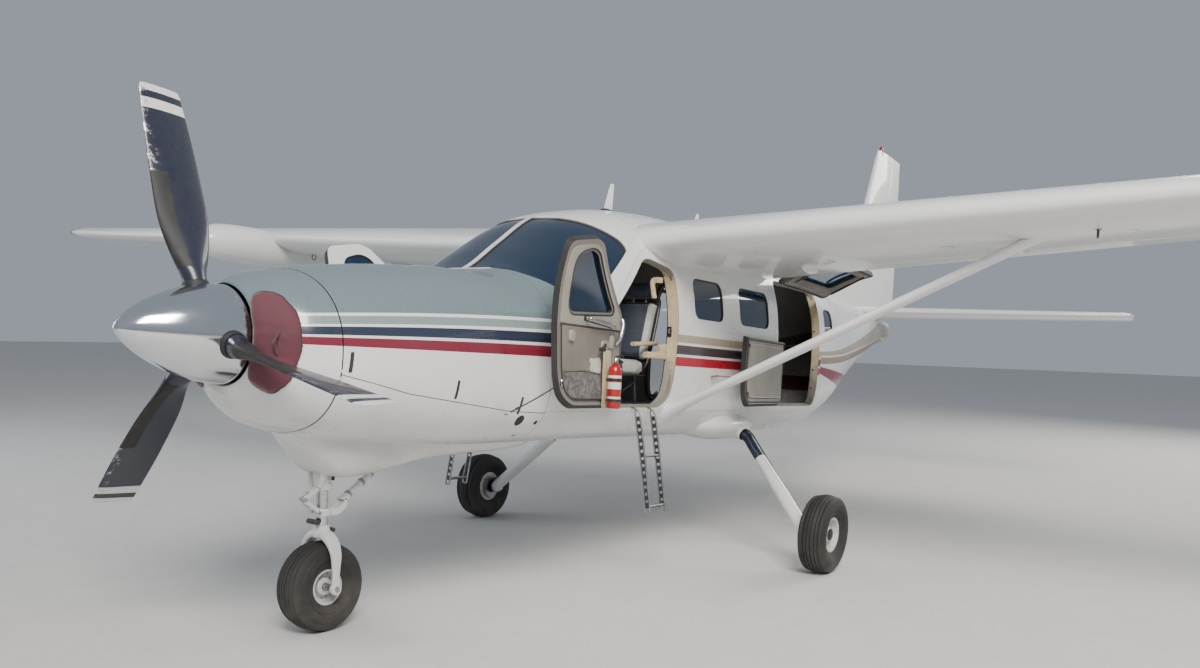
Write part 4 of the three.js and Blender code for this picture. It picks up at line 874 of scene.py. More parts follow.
polished = Paint("polished_aluminium")
buffing = polished.noise(9.0, 6.0, 0.6)
turning = (polished.split(polished.craft())[1] * 2600).math("SINE")
polished = polished.finish(
    Base_Color=polished.mix((0.80, 0.82, 0.84), (0.62, 0.65, 0.68), buffing), Metallic=1.0,
    Roughness=buffing * 0.16 + 0.05,
    Normal=polished.bump(turning * 0.1 + buffing, distance=0.0004, strength=0.4))

nose = Shape(polished, bare_steel)
outside = curve_through([(r, h, 0) for r, h in SPINNER], 6)[:, :2].tolist()
inside_line = [(max(r - 0.006, 0), h + 0.004) for r, h in outside][::-1]
lathe(nose, outside + [(0.264, 0.524), (0.257, 0.524)] + inside_line,
      Matrix.Translation((0, 0, SHAFT_Z)) @ AFT, 96)
spinner = nose.make("spinner_shell", "propeller", "spinner_metal", ["spinner"], crease=40)
cutters = Shape(bare_steel)
for angle in BLADE_ANGLES:
    out = Matrix.Translation((0, PROP_Y, SHAFT_Z)) @ Matrix.Rotation(angle, 4, "Y")
    lathe(cutters, [(0, 0.12), (0.074, 0.12), (0.074, 0.36), (0, 0.36)], out, 40)


def cut_with(piece, shape):
    """Takes the drawn bodies' volume out of the piece's own mesh."""
    drawn = bpy.data.meshes.new("cutting_tool")
    drawn.from_pydata(moved(np.concatenate(shape.corners), STAND).tolist(), [], shape.faces)
    tool = linked("cutting_tool", drawn)
    modifier = piece.modifiers.new("cut", "BOOLEAN")
    modifier.operation, modifier.solver, modifier.object = "DIFFERENCE", "EXACT", tool
    mesh = bpy.data.meshes.new_from_object(piece.evaluated_get(bpy.context.evaluated_depsgraph_get()))
    piece.modifiers.remove(modifier)
    piece.data = mesh
    bpy.data.objects.remove(tool)


cut_with(spinner, cutters)

BLADE = np.array([
    (0.060, 0.062, 0.062, 0.0), (0.200, 0.062, 0.062, 0.0), (0.290, 0.062, 0.060, 3.0),
                  (0.400, 0.092, 0.034, 12.0),
    (0.560, 0.128, 0.020, 10.0), (0.850, 0.138, 0.013, 4.0), (1.150, 0.130, 0.009, -1.0),
    (1.270, 0.122, 0.0075, -3.0), (1.330, 0.116, 0.006, -4.0), (1.341, 0.110, 0.005, -4.0),
                  (1.345, 0.098, 0.003, -4.0),
])


def resampled(table, places):
    """Rows of a table at new places of its first column, on a smooth curve through its rows."""
    return np.column_stack([places, station_at(places, table)])


blade_paint = Paint("blade_enamel")
bx, by, bz = blade_paint.split(blade_paint.craft())
rise = bz - SHAFT_Z
away = (bx * bx + rise * rise).math("SQRT")
wear = blade_paint.noise(26.0, 8.0, 0.7)
front_edge = 1 - by.above(PROP_Y - 0.095, 0.03)
tone = blade_paint.mix((0.012, 0.016, 0.032), (0.020, 0.024, 0.040), wear)
for low, high in ((1.205, 1.262), (1.303, 1.400)):
    tone = blade_paint.mix(tone, (0.70, 0.70, 0.68), away.above(low) * (1 - away.above(high)))
scuffed = (wear - 0.55).above(0.02, 0.05) * front_edge
tone = blade_paint.mix(tone, (0.42, 0.42, 0.43), scuffed)
blade_paint.finish(
    Base_Color=tone, Roughness=wear * 0.25 + 0.25, Metallic=scuffed * 0.9,
    Normal=blade_paint.bump(wear * 0.4, distance=0.0005, strength=0.4), Coat_Weight=0.3)
boot_rubber = finish_of("boot_rubber", (0.012, 0.012, 0.013), (0.026, 0.025, 0.025), 14.0, 0.6)

blades = Shape(blade_paint.material, boot_rubber, bare_steel)
full_arc = turn_angles(32)


def blade_rings(rows, turn, grow=0.0, arc=full_arc):
    """A blade's section at each row, turned to its place on the hub."""
    rings = []
    for radius, half, thick, twist in rows:
        t = math.radians(twist)
        foil = min(1, max(0, (radius - 0.28) / 0.2))
        along = (half + grow) * np.cos(arc)
        camber = foil * thick * 0.5 * (1 - np.cos(arc) ** 2)
        across = (thick + grow) * np.sin(arc) * (1 - 0.32 * foil * np.cos(arc)) + camber
        y = PROP_Y + along * math.cos(t) - across * math.sin(t)
        aside = along * math.sin(t) + across * math.cos(t)
        rings.append(np.stack([radius * math.sin(turn) + aside * math.cos(turn), y,
                               SHAFT_Z + radius * math.cos(turn) - aside * math.sin(turn)], axis=1))
    return rings


for turn in BLADE_ANGLES:
    loft(blades, blade_rings(resampled(BLADE, np.unique(np.concatenate([
        np.linspace(0.06, 1.30, 40), np.linspace(1.30, 1.345, 8)]))), turn))
    boot = np.linspace(0.62 * math.pi, 1.38 * math.pi, 14)
    rows = resampled(BLADE, np.linspace(0.345, 0.86, 16))
    outer = np.array(blade_rings(rows, turn, 0.0016, boot))
    inner = np.array(blade_rings(rows, turn, -0.002, boot))[:, ::-1]
    loft(blades, np.concatenate([outer, inner], axis=1), 1)
    collar = Matrix.Translation((0, PROP_Y, SHAFT_Z)) @ Matrix.Rotation(turn, 4, "Y")
    lathe(blades, [(0.0625, 0.20), (0.070, 0.20), (0.070, 0.262), (0.0655, 0.272), (0.0625, 0.272)], collar,
          40, 1)
lathe(blades, [(0, 0.33), (0.070, 0.33), (0.070, 0.519), (0.250, 0.519), (0.257, 0.523), (0.257, 0.538),
               (0.250, 0.541),
               (0.072, 0.541), (0.072, 0.612), (0, 0.612)], Matrix.Translation((0, 0, SHAFT_Z)) @ AFT, 72,
      2)
blades.make("propeller_blades_and_hub", "propeller", "blade_paint", ["propeller_blades"], crease=50)

screw = fastener("screw_head", [(0.0055, -0.001), (0.0055, 0.0006), (0.0048, 0.0012), (0.0012, 0.0012),
                                (0, 0.0002)], 10)
spinner_edge = [(ring_at(0.2625, 0.505, 73), ring_at(1, 0.0, 73) - (0, 0, SHAFT_Z))]
fasten("spinner_screws", "propeller", spinner_edge, screw, 0.068, bare_steel)


# Exhaust: one large stainless stack that leaves the starboard cowl and turns aft, blued by heat and
# open at its mouth. The engine inside is one plain block in grey paint.
heat = Paint("heat_tinted_steel")
aft_along = heat.split(heat.craft())[1]
soot = heat.noise(7.0, 6.0, 0.65)
along_stack = ((aft_along - 1.12) / 0.32).clamped()
tinted = heat.mix((0.34, 0.25, 0.17), (0.17, 0.15, 0.20), along_stack)
heat_tinted = heat.finish(
    Base_Color=heat.mix(tinted, (0.03, 0.027, 0.025), soot * along_stack), Metallic=1.0,
    Roughness=soot * 0.3 + 0.28, Normal=heat.bump(soot, distance=0.002, strength=0.3))
exhaust = Shape(heat_tinted, bare_steel)
pipe(exhaust, [(-0.40, 1.14, 1.235), (-0.56, 1.175, 1.20), (-0.66, 1.25, 1.175), (-0.72, 1.335, 1.153),
               (-0.762, 1.405, 1.138)],
     [0.097, 0.099, 0.100, 0.100, 0.101], 28, bore=0.089)
exhaust.make("exhaust_stack", "airframe", "exhaust_steel", ["exhaust"], crease=50)
engine_paint = finish_of("engine_grey", (0.12, 0.12, 0.125), (0.07, 0.07, 0.075), 8.0, 0.5, Metallic=0.6)


def coat(node, finish):
    """Gives a CAD solid that shows as it is a finish of its own."""
    materials = frame["nodes"][node].data.materials
    materials.clear()
    materials.append(finish)


coat("engine", engine_paint)


# Cabin shell: riveted aluminium panels, lined inside with tan vinyl whose tan is kept dark as painted
# shade of the cabin's inside, in five parts that meet at lap seams: the windshield frame with its
# centre post, the roof, the two sides and the belly.
SILL, SIDE_TOP, ROOF_FRONT, CABIN_END = 1.225, 2.425, 3.64, 7.48
LAP = 0.0012
FRAME_EDGE = [(2.4015, 1.90), (2.975, 1.90), (3.49, 2.35), (3.64, 2.425)]
CREW_DOOR = [(3.02, 1.25), (3.73, 1.25), (3.85, 1.325), (3.89, 1.48), (3.93, 1.90), (3.925, 2.29),
             (3.62, 2.345),
             (3.53, 2.32), (3.06, 1.905), (3.02, 1.83)]
CREW_CORNERS = [0.05, 0.09, 0.10, 0.15, 0.3, 0.07, 0.06, 0.06, 0.06, 0.05]
CARGO = [(5.74, 1.262), (6.80, 1.262), (6.80, 2.405), (5.74, 2.405)]
AIRSTAIR = [(6.08, 1.262), (6.74, 1.262), (6.74, 2.405), (6.08, 2.405)]
HATCHES = {1: CARGO, -1: AIRSTAIR}
HATCH_LEAVES = ((1, "cargo_door_upper", "cargo_door_lower"), (-1, "airstair_upper", "airstair_lower"))
HATCH_CORNER, SPLIT_CORNER, DOOR_GAP, DOOR_WALL, SPLIT_Z = 0.08, 0.006, 0.007, 0.042, 1.850
WINDOWS = [[(4.18, 1.945), (4.66, 1.945), (4.66, 2.262), (4.18, 2.262)],
           [(4.96, 1.945), (5.54, 1.945), (5.54, 2.262), (4.96, 2.262)]]
AFT_WINDOW = [(6.965, 1.96), (7.26, 1.96), (7.26, 2.24), (6.965, 2.24)]
WINDOW_CORNER = 0.085
# The windshield's edge in side view, from its low middle round its aft corner to its high middle
SCREEN_EDGE = [(2.432, 2.105), (2.60, 1.99), (2.79, 1.945), (3.39, 2.375), (3.37, 2.44), (3.23, 2.525)]
SCREEN_TOP_Y, POST_HALF = 3.065, 0.024

# The vinyl's tan is partly its own colour and partly painted shade of the closed cabin, kept dark.
lining = finish_of("shade_darkened_vinyl_lining", (0.25, 0.23, 0.20), (0.19, 0.175, 0.15), 2.5, 0.62, 700, 0.0006)


def along_t(y0, y1, line):
    """Places on the skin along a t line, without the last one."""
    count = max(2, math.ceil(abs(y1 - y0) / 0.05))
    ys = np.linspace(y0, y1, count + 1)[:-1]
    return np.stack([ys, line(ys)], axis=1)


def along_z(points, side):
    """Places on the skin along a side-view line, without its last point."""
    line = [p for pair in zip(points, points[1:]) for p in stepped(*pair, 0.04)]
    y, z = np.array(line).T
    return np.stack([y, t_at(y, z, side)], axis=1)


def across_t(y, t0, t1):
    """Places on the skin round one section, without the last one."""
    count = max(2, math.ceil(abs(t1 - t0) / 0.06))
    t = np.linspace(t0, t1, count + 1)[:-1]
    return np.stack([np.full(count, y), t], axis=1)


def screen_loop(side, out=0.0):
    """The windshield's outline on the skin, moved outward by a little for its hole."""
    edge = rounded(grown(SCREEN_EDGE + [(SCREEN_TOP_Y, 2.60), (2.75, 2.60), (2.40, 2.20)], out),
                   [0.02, 0.10, 0.10, 0.075, 0.06, 0.1, 0.001, 0.001, 0.001], 6)
    y, z = np.array(divided(edge, 0.035)).T
    half = POST_HALF - out
    crown = t_beside_crown(y, half, side)
    t = t_at(y, z, side)
    over = (z >= station_at(y)[:, 0] - 1e-4) | ((t > crown) if side > 0 else (t < crown))
    loop = np.stack([y, np.where(over, crown, t)], axis=1)
    keep = np.ones(len(loop), bool)
    keep[1:] = np.linalg.norm(np.diff(loop, axis=0), axis=1) > 1e-3
    return loop[keep]


def cabin_part(name, patch, replaces):
    """One of the cabin's panels, as thick as its wall."""
    part = Shape(enamel, lining, rubber_seal)
    skin_wall(part, patch, 0, DOOR_WALL, (0, 1, 1))
    part.make(name, "airframe", "fuselage_paint", [replaces])


frame_front, frame_rear = 2.4015, ROOF_FRONT - LAP
frame_side = FRAME_EDGE[:-1] + [(frame_rear, 2.425)]
port, starboard = along_z(frame_side, 1), along_z(frame_side[::-1], -1)
t_port_rear, t_starboard_rear = t_at(frame_rear, 2.425, 1)[0], t_at(frame_rear, 2.425, -1)[0]
t_port_front, t_starboard_front = t_at(frame_front, 1.90, 1)[0], t_at(frame_front, 1.90, -1)[0]
frame_loop = np.concatenate([
    port, across_t(frame_rear, t_port_rear, t_starboard_rear), starboard,
    across_t(frame_front, t_starboard_front, t_port_front)])
cabin_part("windshield_surround", cut_patch(frame_loop, [screen_loop(1), screen_loop(-1)], 0.045),
           "windshield_frame")

roof_ys = np.linspace(ROOF_FRONT + LAP, CABIN_END - LAP, 60)
cabin_part("roof_skin", between(roof_ys, lambda y: t_at(y, SIDE_TOP + LAP),
                                lambda y: t_at(y, SIDE_TOP + LAP, -1), 34),
           "cabin_roof")
belly_ys = np.linspace(FIREWALL + 0.001, CABIN_END - LAP, 80)
cabin_part("belly_skin", between(belly_ys, lambda y: t_at(y, SILL - LAP, -1) - 2 * HALF_TURN,
                                 lambda y: t_at(y, SILL - LAP), 34), "cabin_belly")
for side, name in SIDES:
    hatch = HATCHES[side]
    edge = [(y, z - 2 * LAP) for y, z in FRAME_EDGE[:-1]] + [(ROOF_FRONT, SIDE_TOP - LAP)]
    loop = np.concatenate([
        along_t(FIREWALL + 0.001, CABIN_END - LAP, lambda y: t_at(y, SILL, side)),
        along_z([(CABIN_END - LAP, SILL), (CABIN_END - LAP, SIDE_TOP - LAP)], side),
        along_t(CABIN_END - LAP, ROOF_FRONT, lambda y: t_at(y, SIDE_TOP - LAP, side)),
        along_z(edge[::-1], side),
        along_z([edge[0], (FIREWALL + 0.001, SILL)], side)])
    holes = [traced(rounded(CREW_DOOR, CREW_CORNERS), side), traced(rounded(hatch, HATCH_CORNER), side)]
    holes += [traced(rounded(w, WINDOW_CORNER), side, 0.02) for w in WINDOWS + [AFT_WINDOW]]
    cabin_part(f"cabin_wall_{name}", cut_patch(loop, holes, 0.045), f"cabin_side_{name}")

tail_part = Shape(enamel, primer, rubber_seal)
tail_t = turn_angles(72, -HALF_TURN / 2)
cone_ys = np.concatenate([np.linspace(CABIN_END + LAP, 10.95, 60), [10.985, 11.0]])
tail_rings = [skin(np.full(72, y), tail_t) for y in cone_ys]
end = tail_rings[-1]
middle = end.mean(axis=0)
for shrink, back in ((0.85, 0.022), (0.5, 0.038), (0.15, 0.044)):
    tail_rings.append(middle + (end - middle) * (shrink, 0, shrink) + (0, back, 0))
inner = [skin(np.full(72, y), tail_t, 0.018) for y in (9.9, 9.0, 8.2, CABIN_END + LAP)]
loft(tail_part, tail_rings + [inner[0] * (0.02, 1, 0) + (0, 0, 2.13)] + inner, closed=True)
tail_part.make("tail_cone_skin", "airframe", "fuselage_paint", ["tail_cone"])

# Glazing: thick navy-tinted acrylic, bedded in black sealant behind the skin's edges.
tinted = Paint("tinted_acrylic")
haze = tinted.noise(5.0, 5.0, 0.6)
tinted.finish(
    Base_Color=tinted.mix((0.018, 0.070, 0.160), (0.010, 0.046, 0.120), haze),
    Roughness=haze.above(0.62, 0.3) * 0.06 + 0.02, Normal=tinted.bump(haze, distance=0.001, strength=0.10),
    Transmission_Weight=0.72, IOR=1.47, Coat_Weight=0.5)
sealant = finish_of("window_sealant", (0.022, 0.022, 0.022), (0.05, 0.048, 0.045), 10.0, 0.6)
GLASS_OUT, GLASS_IN = 0.012, 0.019


def pane(name, body, loops, replaces, place=STAND):
    """Panes in the given loops on the skin, each with its bead of sealant round it."""
    glass = Shape(tinted.material, tinted.material, sealant)
    for loop in loops:
        skin_wall(glass, cut_patch(loop, step=0.05), GLASS_OUT, GLASS_IN)
        line = skin(*loop.T, GLASS_OUT - 0.001)
        pipe(glass, line, 0.0052, 8, 2, 1, loop=True)
    glass.make(name, body, "glazing", replaces, place)


for side, name in SIDES:
    pane(f"windscreen_pane_{name}", "airframe", [screen_loop(side, -0.001)], [f"windshield_{name}"])
    for label, outlines in (("windows", WINDOWS), ("window_aft", [AFT_WINDOW])):
        loops = [traced(rounded(grown(w, -0.001), WINDOW_CORNER), side, 0.02) for w in outlines]
        pane(f"cabin_{label}_{name}", "airframe", loops, [f"{label}_{name}"])


# Crew doors: each is a panel of the cabin side with a wide upper frame and one side window, folded
# forward on two external hinges.
PANE_CORNERS = [0.05, 0.07, 0.09, 0.07, 0.04]
CREW_PANE = [(3.19, 1.90), (3.785, 1.862), (3.795, 2.215), (3.64, 2.262), (3.56, 2.245)]


def door_leaf(name, body, outline, side, hole=()):
    """A door's leaf, as thick as the cabin's wall and swung to where the door stands open."""
    leaf = Shape(enamel, lining, rubber_seal)
    skin_wall(leaf, cut_patch(traced(outline, side), hole, 0.045), 0, DOOR_WALL)
    leaf.make(name, body, "fuselage_paint", [body], swung_open(f"{body}_close"))


def glazed_leaf(leaf_name, pane_name, body, outline, window, side):
    """A door's leaf with a pane in it."""
    door_leaf(leaf_name, body, outline, side, [traced(window, side, 0.02)])
    glass_loop = traced(grown(window, -0.001), side, 0.02)
    pane(pane_name, body, [glass_loop], [f"{body}_glass"], swung_open(f"{body}_close"))


for side, name in SIDES:
    glazed_leaf(f"crew_door_leaf_{name}", f"crew_door_pane_{name}", f"crew_door_{name}",
                grown(rounded(CREW_DOOR, CREW_CORNERS), -DOOR_GAP), rounded(CREW_PANE, PANE_CORNERS), side)


# Freight door and airstair: each opening is closed by an upper leaf, hinged at the top, and a lower
# leaf. The freight door's lower leaf folds forward and the stair's drops.
def cornered(hatch, upper):
    """The upper or the lower part of a freight door's or airstair's opening."""
    z0, z1 = (SPLIT_Z + DOOR_GAP / 2, 2.5) if upper else (1.2, SPLIT_Z - DOOR_GAP / 2)
    return [(y, min(max(z, z0), z1)) for y, z in grown(hatch, -DOOR_GAP)]


def hatch_leaf(hatch, upper):
    """An upper or a lower leaf's outline, with its corners rounded."""
    corners = [SPLIT_CORNER, SPLIT_CORNER, HATCH_CORNER, HATCH_CORNER]
    return rounded(cornered(hatch, upper), corners if upper else corners[::-1])


def hatch_pane(hatch):
    """The window in the upper leaf."""
    return rounded([(hatch[0][0] + 0.15, 1.96), (hatch[1][0] - 0.15, 1.96), (hatch[1][0] - 0.15, 2.262),
                    (hatch[0][0] + 0.15, 2.262)], WINDOW_CORNER)


for side, upper, lower in HATCH_LEAVES:
    hatch = HATCHES[side]
    glazed_leaf(f"{upper}_leaf", f"{upper}_pane", upper, hatch_leaf(hatch, True), hatch_pane(hatch), side)
    door_leaf(f"{lower}_leaf", lower, hatch_leaf(hatch, False), side)


# Doorways: each opening is framed by a folded jamb inside the skin, in cream paint that is a darker
# tan low down and scuffed, with a bulb seal, latch pins, and a striker plate on the rear crew jamb.
cream_jamb = finish_of("cream_jamb_paint", (0.62, 0.51, 0.32), (0.50, 0.41, 0.26), 6.0, 0.45)
jamb_paint = Paint("cream_over_tan_jamb_paint")
jamb_z = jamb_paint.split(jamb_paint.craft())[2]
scuffed = jamb_paint.noise(14.0, 6.0, 0.6).above(0.55, 0.2)
# The jamb paint is cream above 1.55 m and a darker tan below it.
jamb_tint = jamb_paint.mix((0.34, 0.31, 0.26), (0.62, 0.51, 0.32),
                           (jamb_z - scuffed * 0.10).above(1.55, 0.20))
jamb_paint.finish(Base_Color=jamb_paint.mix(jamb_tint, (0.25, 0.23, 0.20), scuffed * 0.35),
                  Roughness=scuffed * 0.25 + 0.38,
                  Normal=jamb_paint.bump(scuffed, distance=0.0008))
tan_paint = finish_of("tan_interior_paint", (0.38, 0.35, 0.30), (0.30, 0.275, 0.24), 5.0, 0.45)
dark_steel = finish_of("oiled_dark_steel", (0.050, 0.050, 0.052), (0.10, 0.10, 0.10), 14.0, 0.42,
                       Metallic=0.8)
chrome = finish_of("chromed_steel", (0.62, 0.63, 0.64), (0.50, 0.51, 0.53), 16.0, 0.18, Metallic=1.0)
black_plastic = finish_of("black_moulded_plastic", (0.020, 0.020, 0.021), (0.034, 0.033, 0.033), 18.0, 0.5,
                          900, 0.0006)


def on_wall(y, z, side, depth):
    """A point under the skin beside the cabin, a given way in."""
    return skin(y, t_at(y, z, side), depth)[0]


def wall_line(side, *places):
    """Points under the skin, each from its y, its z and its way in."""
    return [on_wall(y, z, side, depth) for y, z, depth in places]


def traced_at(outline, side, depth):
    """A side-view outline carried to a depth under the skin."""
    y, z = np.array(outline).T
    return skin(y, t_at(y, z, side), depth)


def bead(shape, outline, side, depth, radius, mark, step=0.04):
    """A round strip along an outline on the cabin's side."""
    pipe(shape, traced_at(divided(outline, step), side, depth), radius, 8, mark, 1, loop=True)


def sheet(shape, outline, side, out, depth, marks, hole=(), step=0.03, size=0.05):
    """A sheet on the inside of the cabin's side, between two depths under its skin."""
    skin_wall(shape, cut_patch(traced(outline, side, step), hole, size), out, depth, marks)


def straight_in(outline, side, depth):
    """An outline on the cabin's side, carried level into the cabin."""
    return traced_at(outline, side, 0.004) - (side * (depth - 0.004), 0, 0)


def frame_hoop(shape, outline, side, far, width):
    """A jamb that lines an opening in the cabin's side, with a bulb seal on its inner edge."""
    inner = divided(grown(outline, -0.001), 0.04)
    outer = grown(inner, width)
    corners = [straight_in(line, side, depth) for line,
               depth in ((inner, 0.004), (inner, far), (outer, far), (outer, 0.004))]
    loft(shape, np.stack(corners, axis=1), 1, closed=True)
    pipe(shape, straight_in(divided(grown(outline, 0.004), 0.04), side, far + 0.001), 0.0065, 8, 2, 1,
         loop=True)


def bar(shape, points, widths, thicks, across, marks=0, steps=1, power=0.4, sides=16):
    """A bar with softly squared section along a line: its width lies along `across`."""
    line = curve_through(points, steps)
    tangents = np.gradient(line, axis=0)
    tangents /= np.linalg.norm(tangents, axis=1)[:, None]
    share = np.linspace(0, 1, len(line))
    half_w, half_t = (np.interp(share, np.linspace(0, 1, np.size(v)),
                                np.atleast_1d(v)) for v in (widths, thicks))
    trim = min(half_t[0], half_w[0]) * 0.4
    angles = turn_angles(sides) + math.pi / sides
    cos, sin = (np.sign(f) * np.abs(f) ** power for f in (np.cos(angles), np.sin(angles)))
    across = np.asarray(across, float)
    rings = []
    for centre, ahead, w, t in zip(line, tangents, half_w, half_t):
        side = across - ahead * across.dot(ahead)
        side /= np.linalg.norm(side)
        rings.append((centre, w * np.outer(cos, side) + t * np.outer(sin, np.cross(ahead, side))))
    (first, a), (last, b) = rings[0], rings[-1]
    body = [first + a * 0.85] + [first + a + tangents[0] * trim] + [c + r for c, r in rings[1:-1]]
    body += [last + b - tangents[-1] * trim, last + b * 0.85]
    loft(shape, body, marks)


for side, name in SIDES:
    hatch = HATCHES[side]
    jambs = Shape(cream_jamb, jamb_paint.material, rubber_seal, dark_steel, chrome)
    frame_hoop(jambs, rounded(CREW_DOOR, CREW_CORNERS), side, 0.098, 0.030)
    frame_hoop(jambs, rounded(hatch, HATCH_CORNER), side, 0.080, 0.035)
    striker = [on_wall(3.915, z, side, 0.074) - (0, 0.004, 0) for z in (1.80, 1.88)]
    bar(jambs, striker, 0.020, 0.003, (1, 0, 0), 3)
    staple = [striker[0] + (side * 0.008, y, z) for y, z in
              ((-0.004, 0.025), (-0.022, 0.03), (-0.022, 0.052), (-0.004, 0.057))]
    pipe(jambs, staple, 0.0045, 10, 4, 4)
    for z in (1.42, 1.62, 2.02):
        pin = on_wall(hatch[1][0] + 0.012, z, side, 0.052)
        pipe(jambs, [pin + (0, 0.008, 0), pin - (0, 0.022, 0)], 0.008, 12, 3, 1)
    guide = wall_line(side, (3.90, 2.26, 0.09), (3.86, 2.28, 0.12), (3.80, 2.25, 0.12), (3.79, 2.12, 0.12))
    bar(jambs, guide, 0.012, 0.022, (1, 0, 0), 0, 6)
    jambs.make(f"doorway_jambs_{name}", "airframe", "fuselage_paint")

# Crew door trim: a painted frame with rivets round the window, a vinyl panel below with a sagging and
# torn map pocket, a pull bar, a crank and a latch tube. A bungee holds the port door open, and a
# webbing strap holds the freight door's lower leaf.
worn_vinyl = Paint("worn_vinyl_trim")
crease = worn_vinyl.noise(9.0, 8.0, 0.72)
grime = worn_vinyl.noise(2.6, 5.0, 0.6).above(0.5, 0.35)
worn_vinyl.finish(Base_Color=worn_vinyl.mix((0.27, 0.24, 0.20), (0.19, 0.165, 0.14), grime),
                  Roughness=grime * 0.2 + 0.45,
                  Normal=worn_vinyl.bump(crease + worn_vinyl.noise(500.0, 2.0) * 0.05, distance=0.004,
                                         strength=0.5))
crumpled = Paint("crumpled_pocket_cloth")
fold_noise = crumpled.noise(15.0, 3.0, 0.5)
fold_relief_and_crease_shade = (fold_noise - 0.5).math("ABSOLUTE")
# The cloth is painted dark along the hollows of its folds: painted shade in the creases.
crumpled.finish(Base_Color=crumpled.mix((0.055, 0.050, 0.048), (0.165, 0.150, 0.135),
                                        fold_relief_and_crease_shade.above(0.06, 0.16)), Roughness=0.5 + fold_relief_and_crease_shade * 0.4,
                Normal=crumpled.bump(fold_relief_and_crease_shade * 4.0, distance=0.012, strength=0.9), Sheen_Weight=0.2)
foam = finish_of("torn_pale_foam", (0.72, 0.70, 0.64), (0.52, 0.50, 0.45), 30.0, 0.85, 180, 0.004)
TRIM_TOP, TRIM_EDGE = 1.785, 0.040


def clipped(outline, limit):
    """An outline held to one side of a height, without the points that fall together."""
    line = [(y, limit(z)) for y, z in outline]
    return [p for i, p in enumerate(line) if math.dist(p, line[i - 1]) > 0.003]


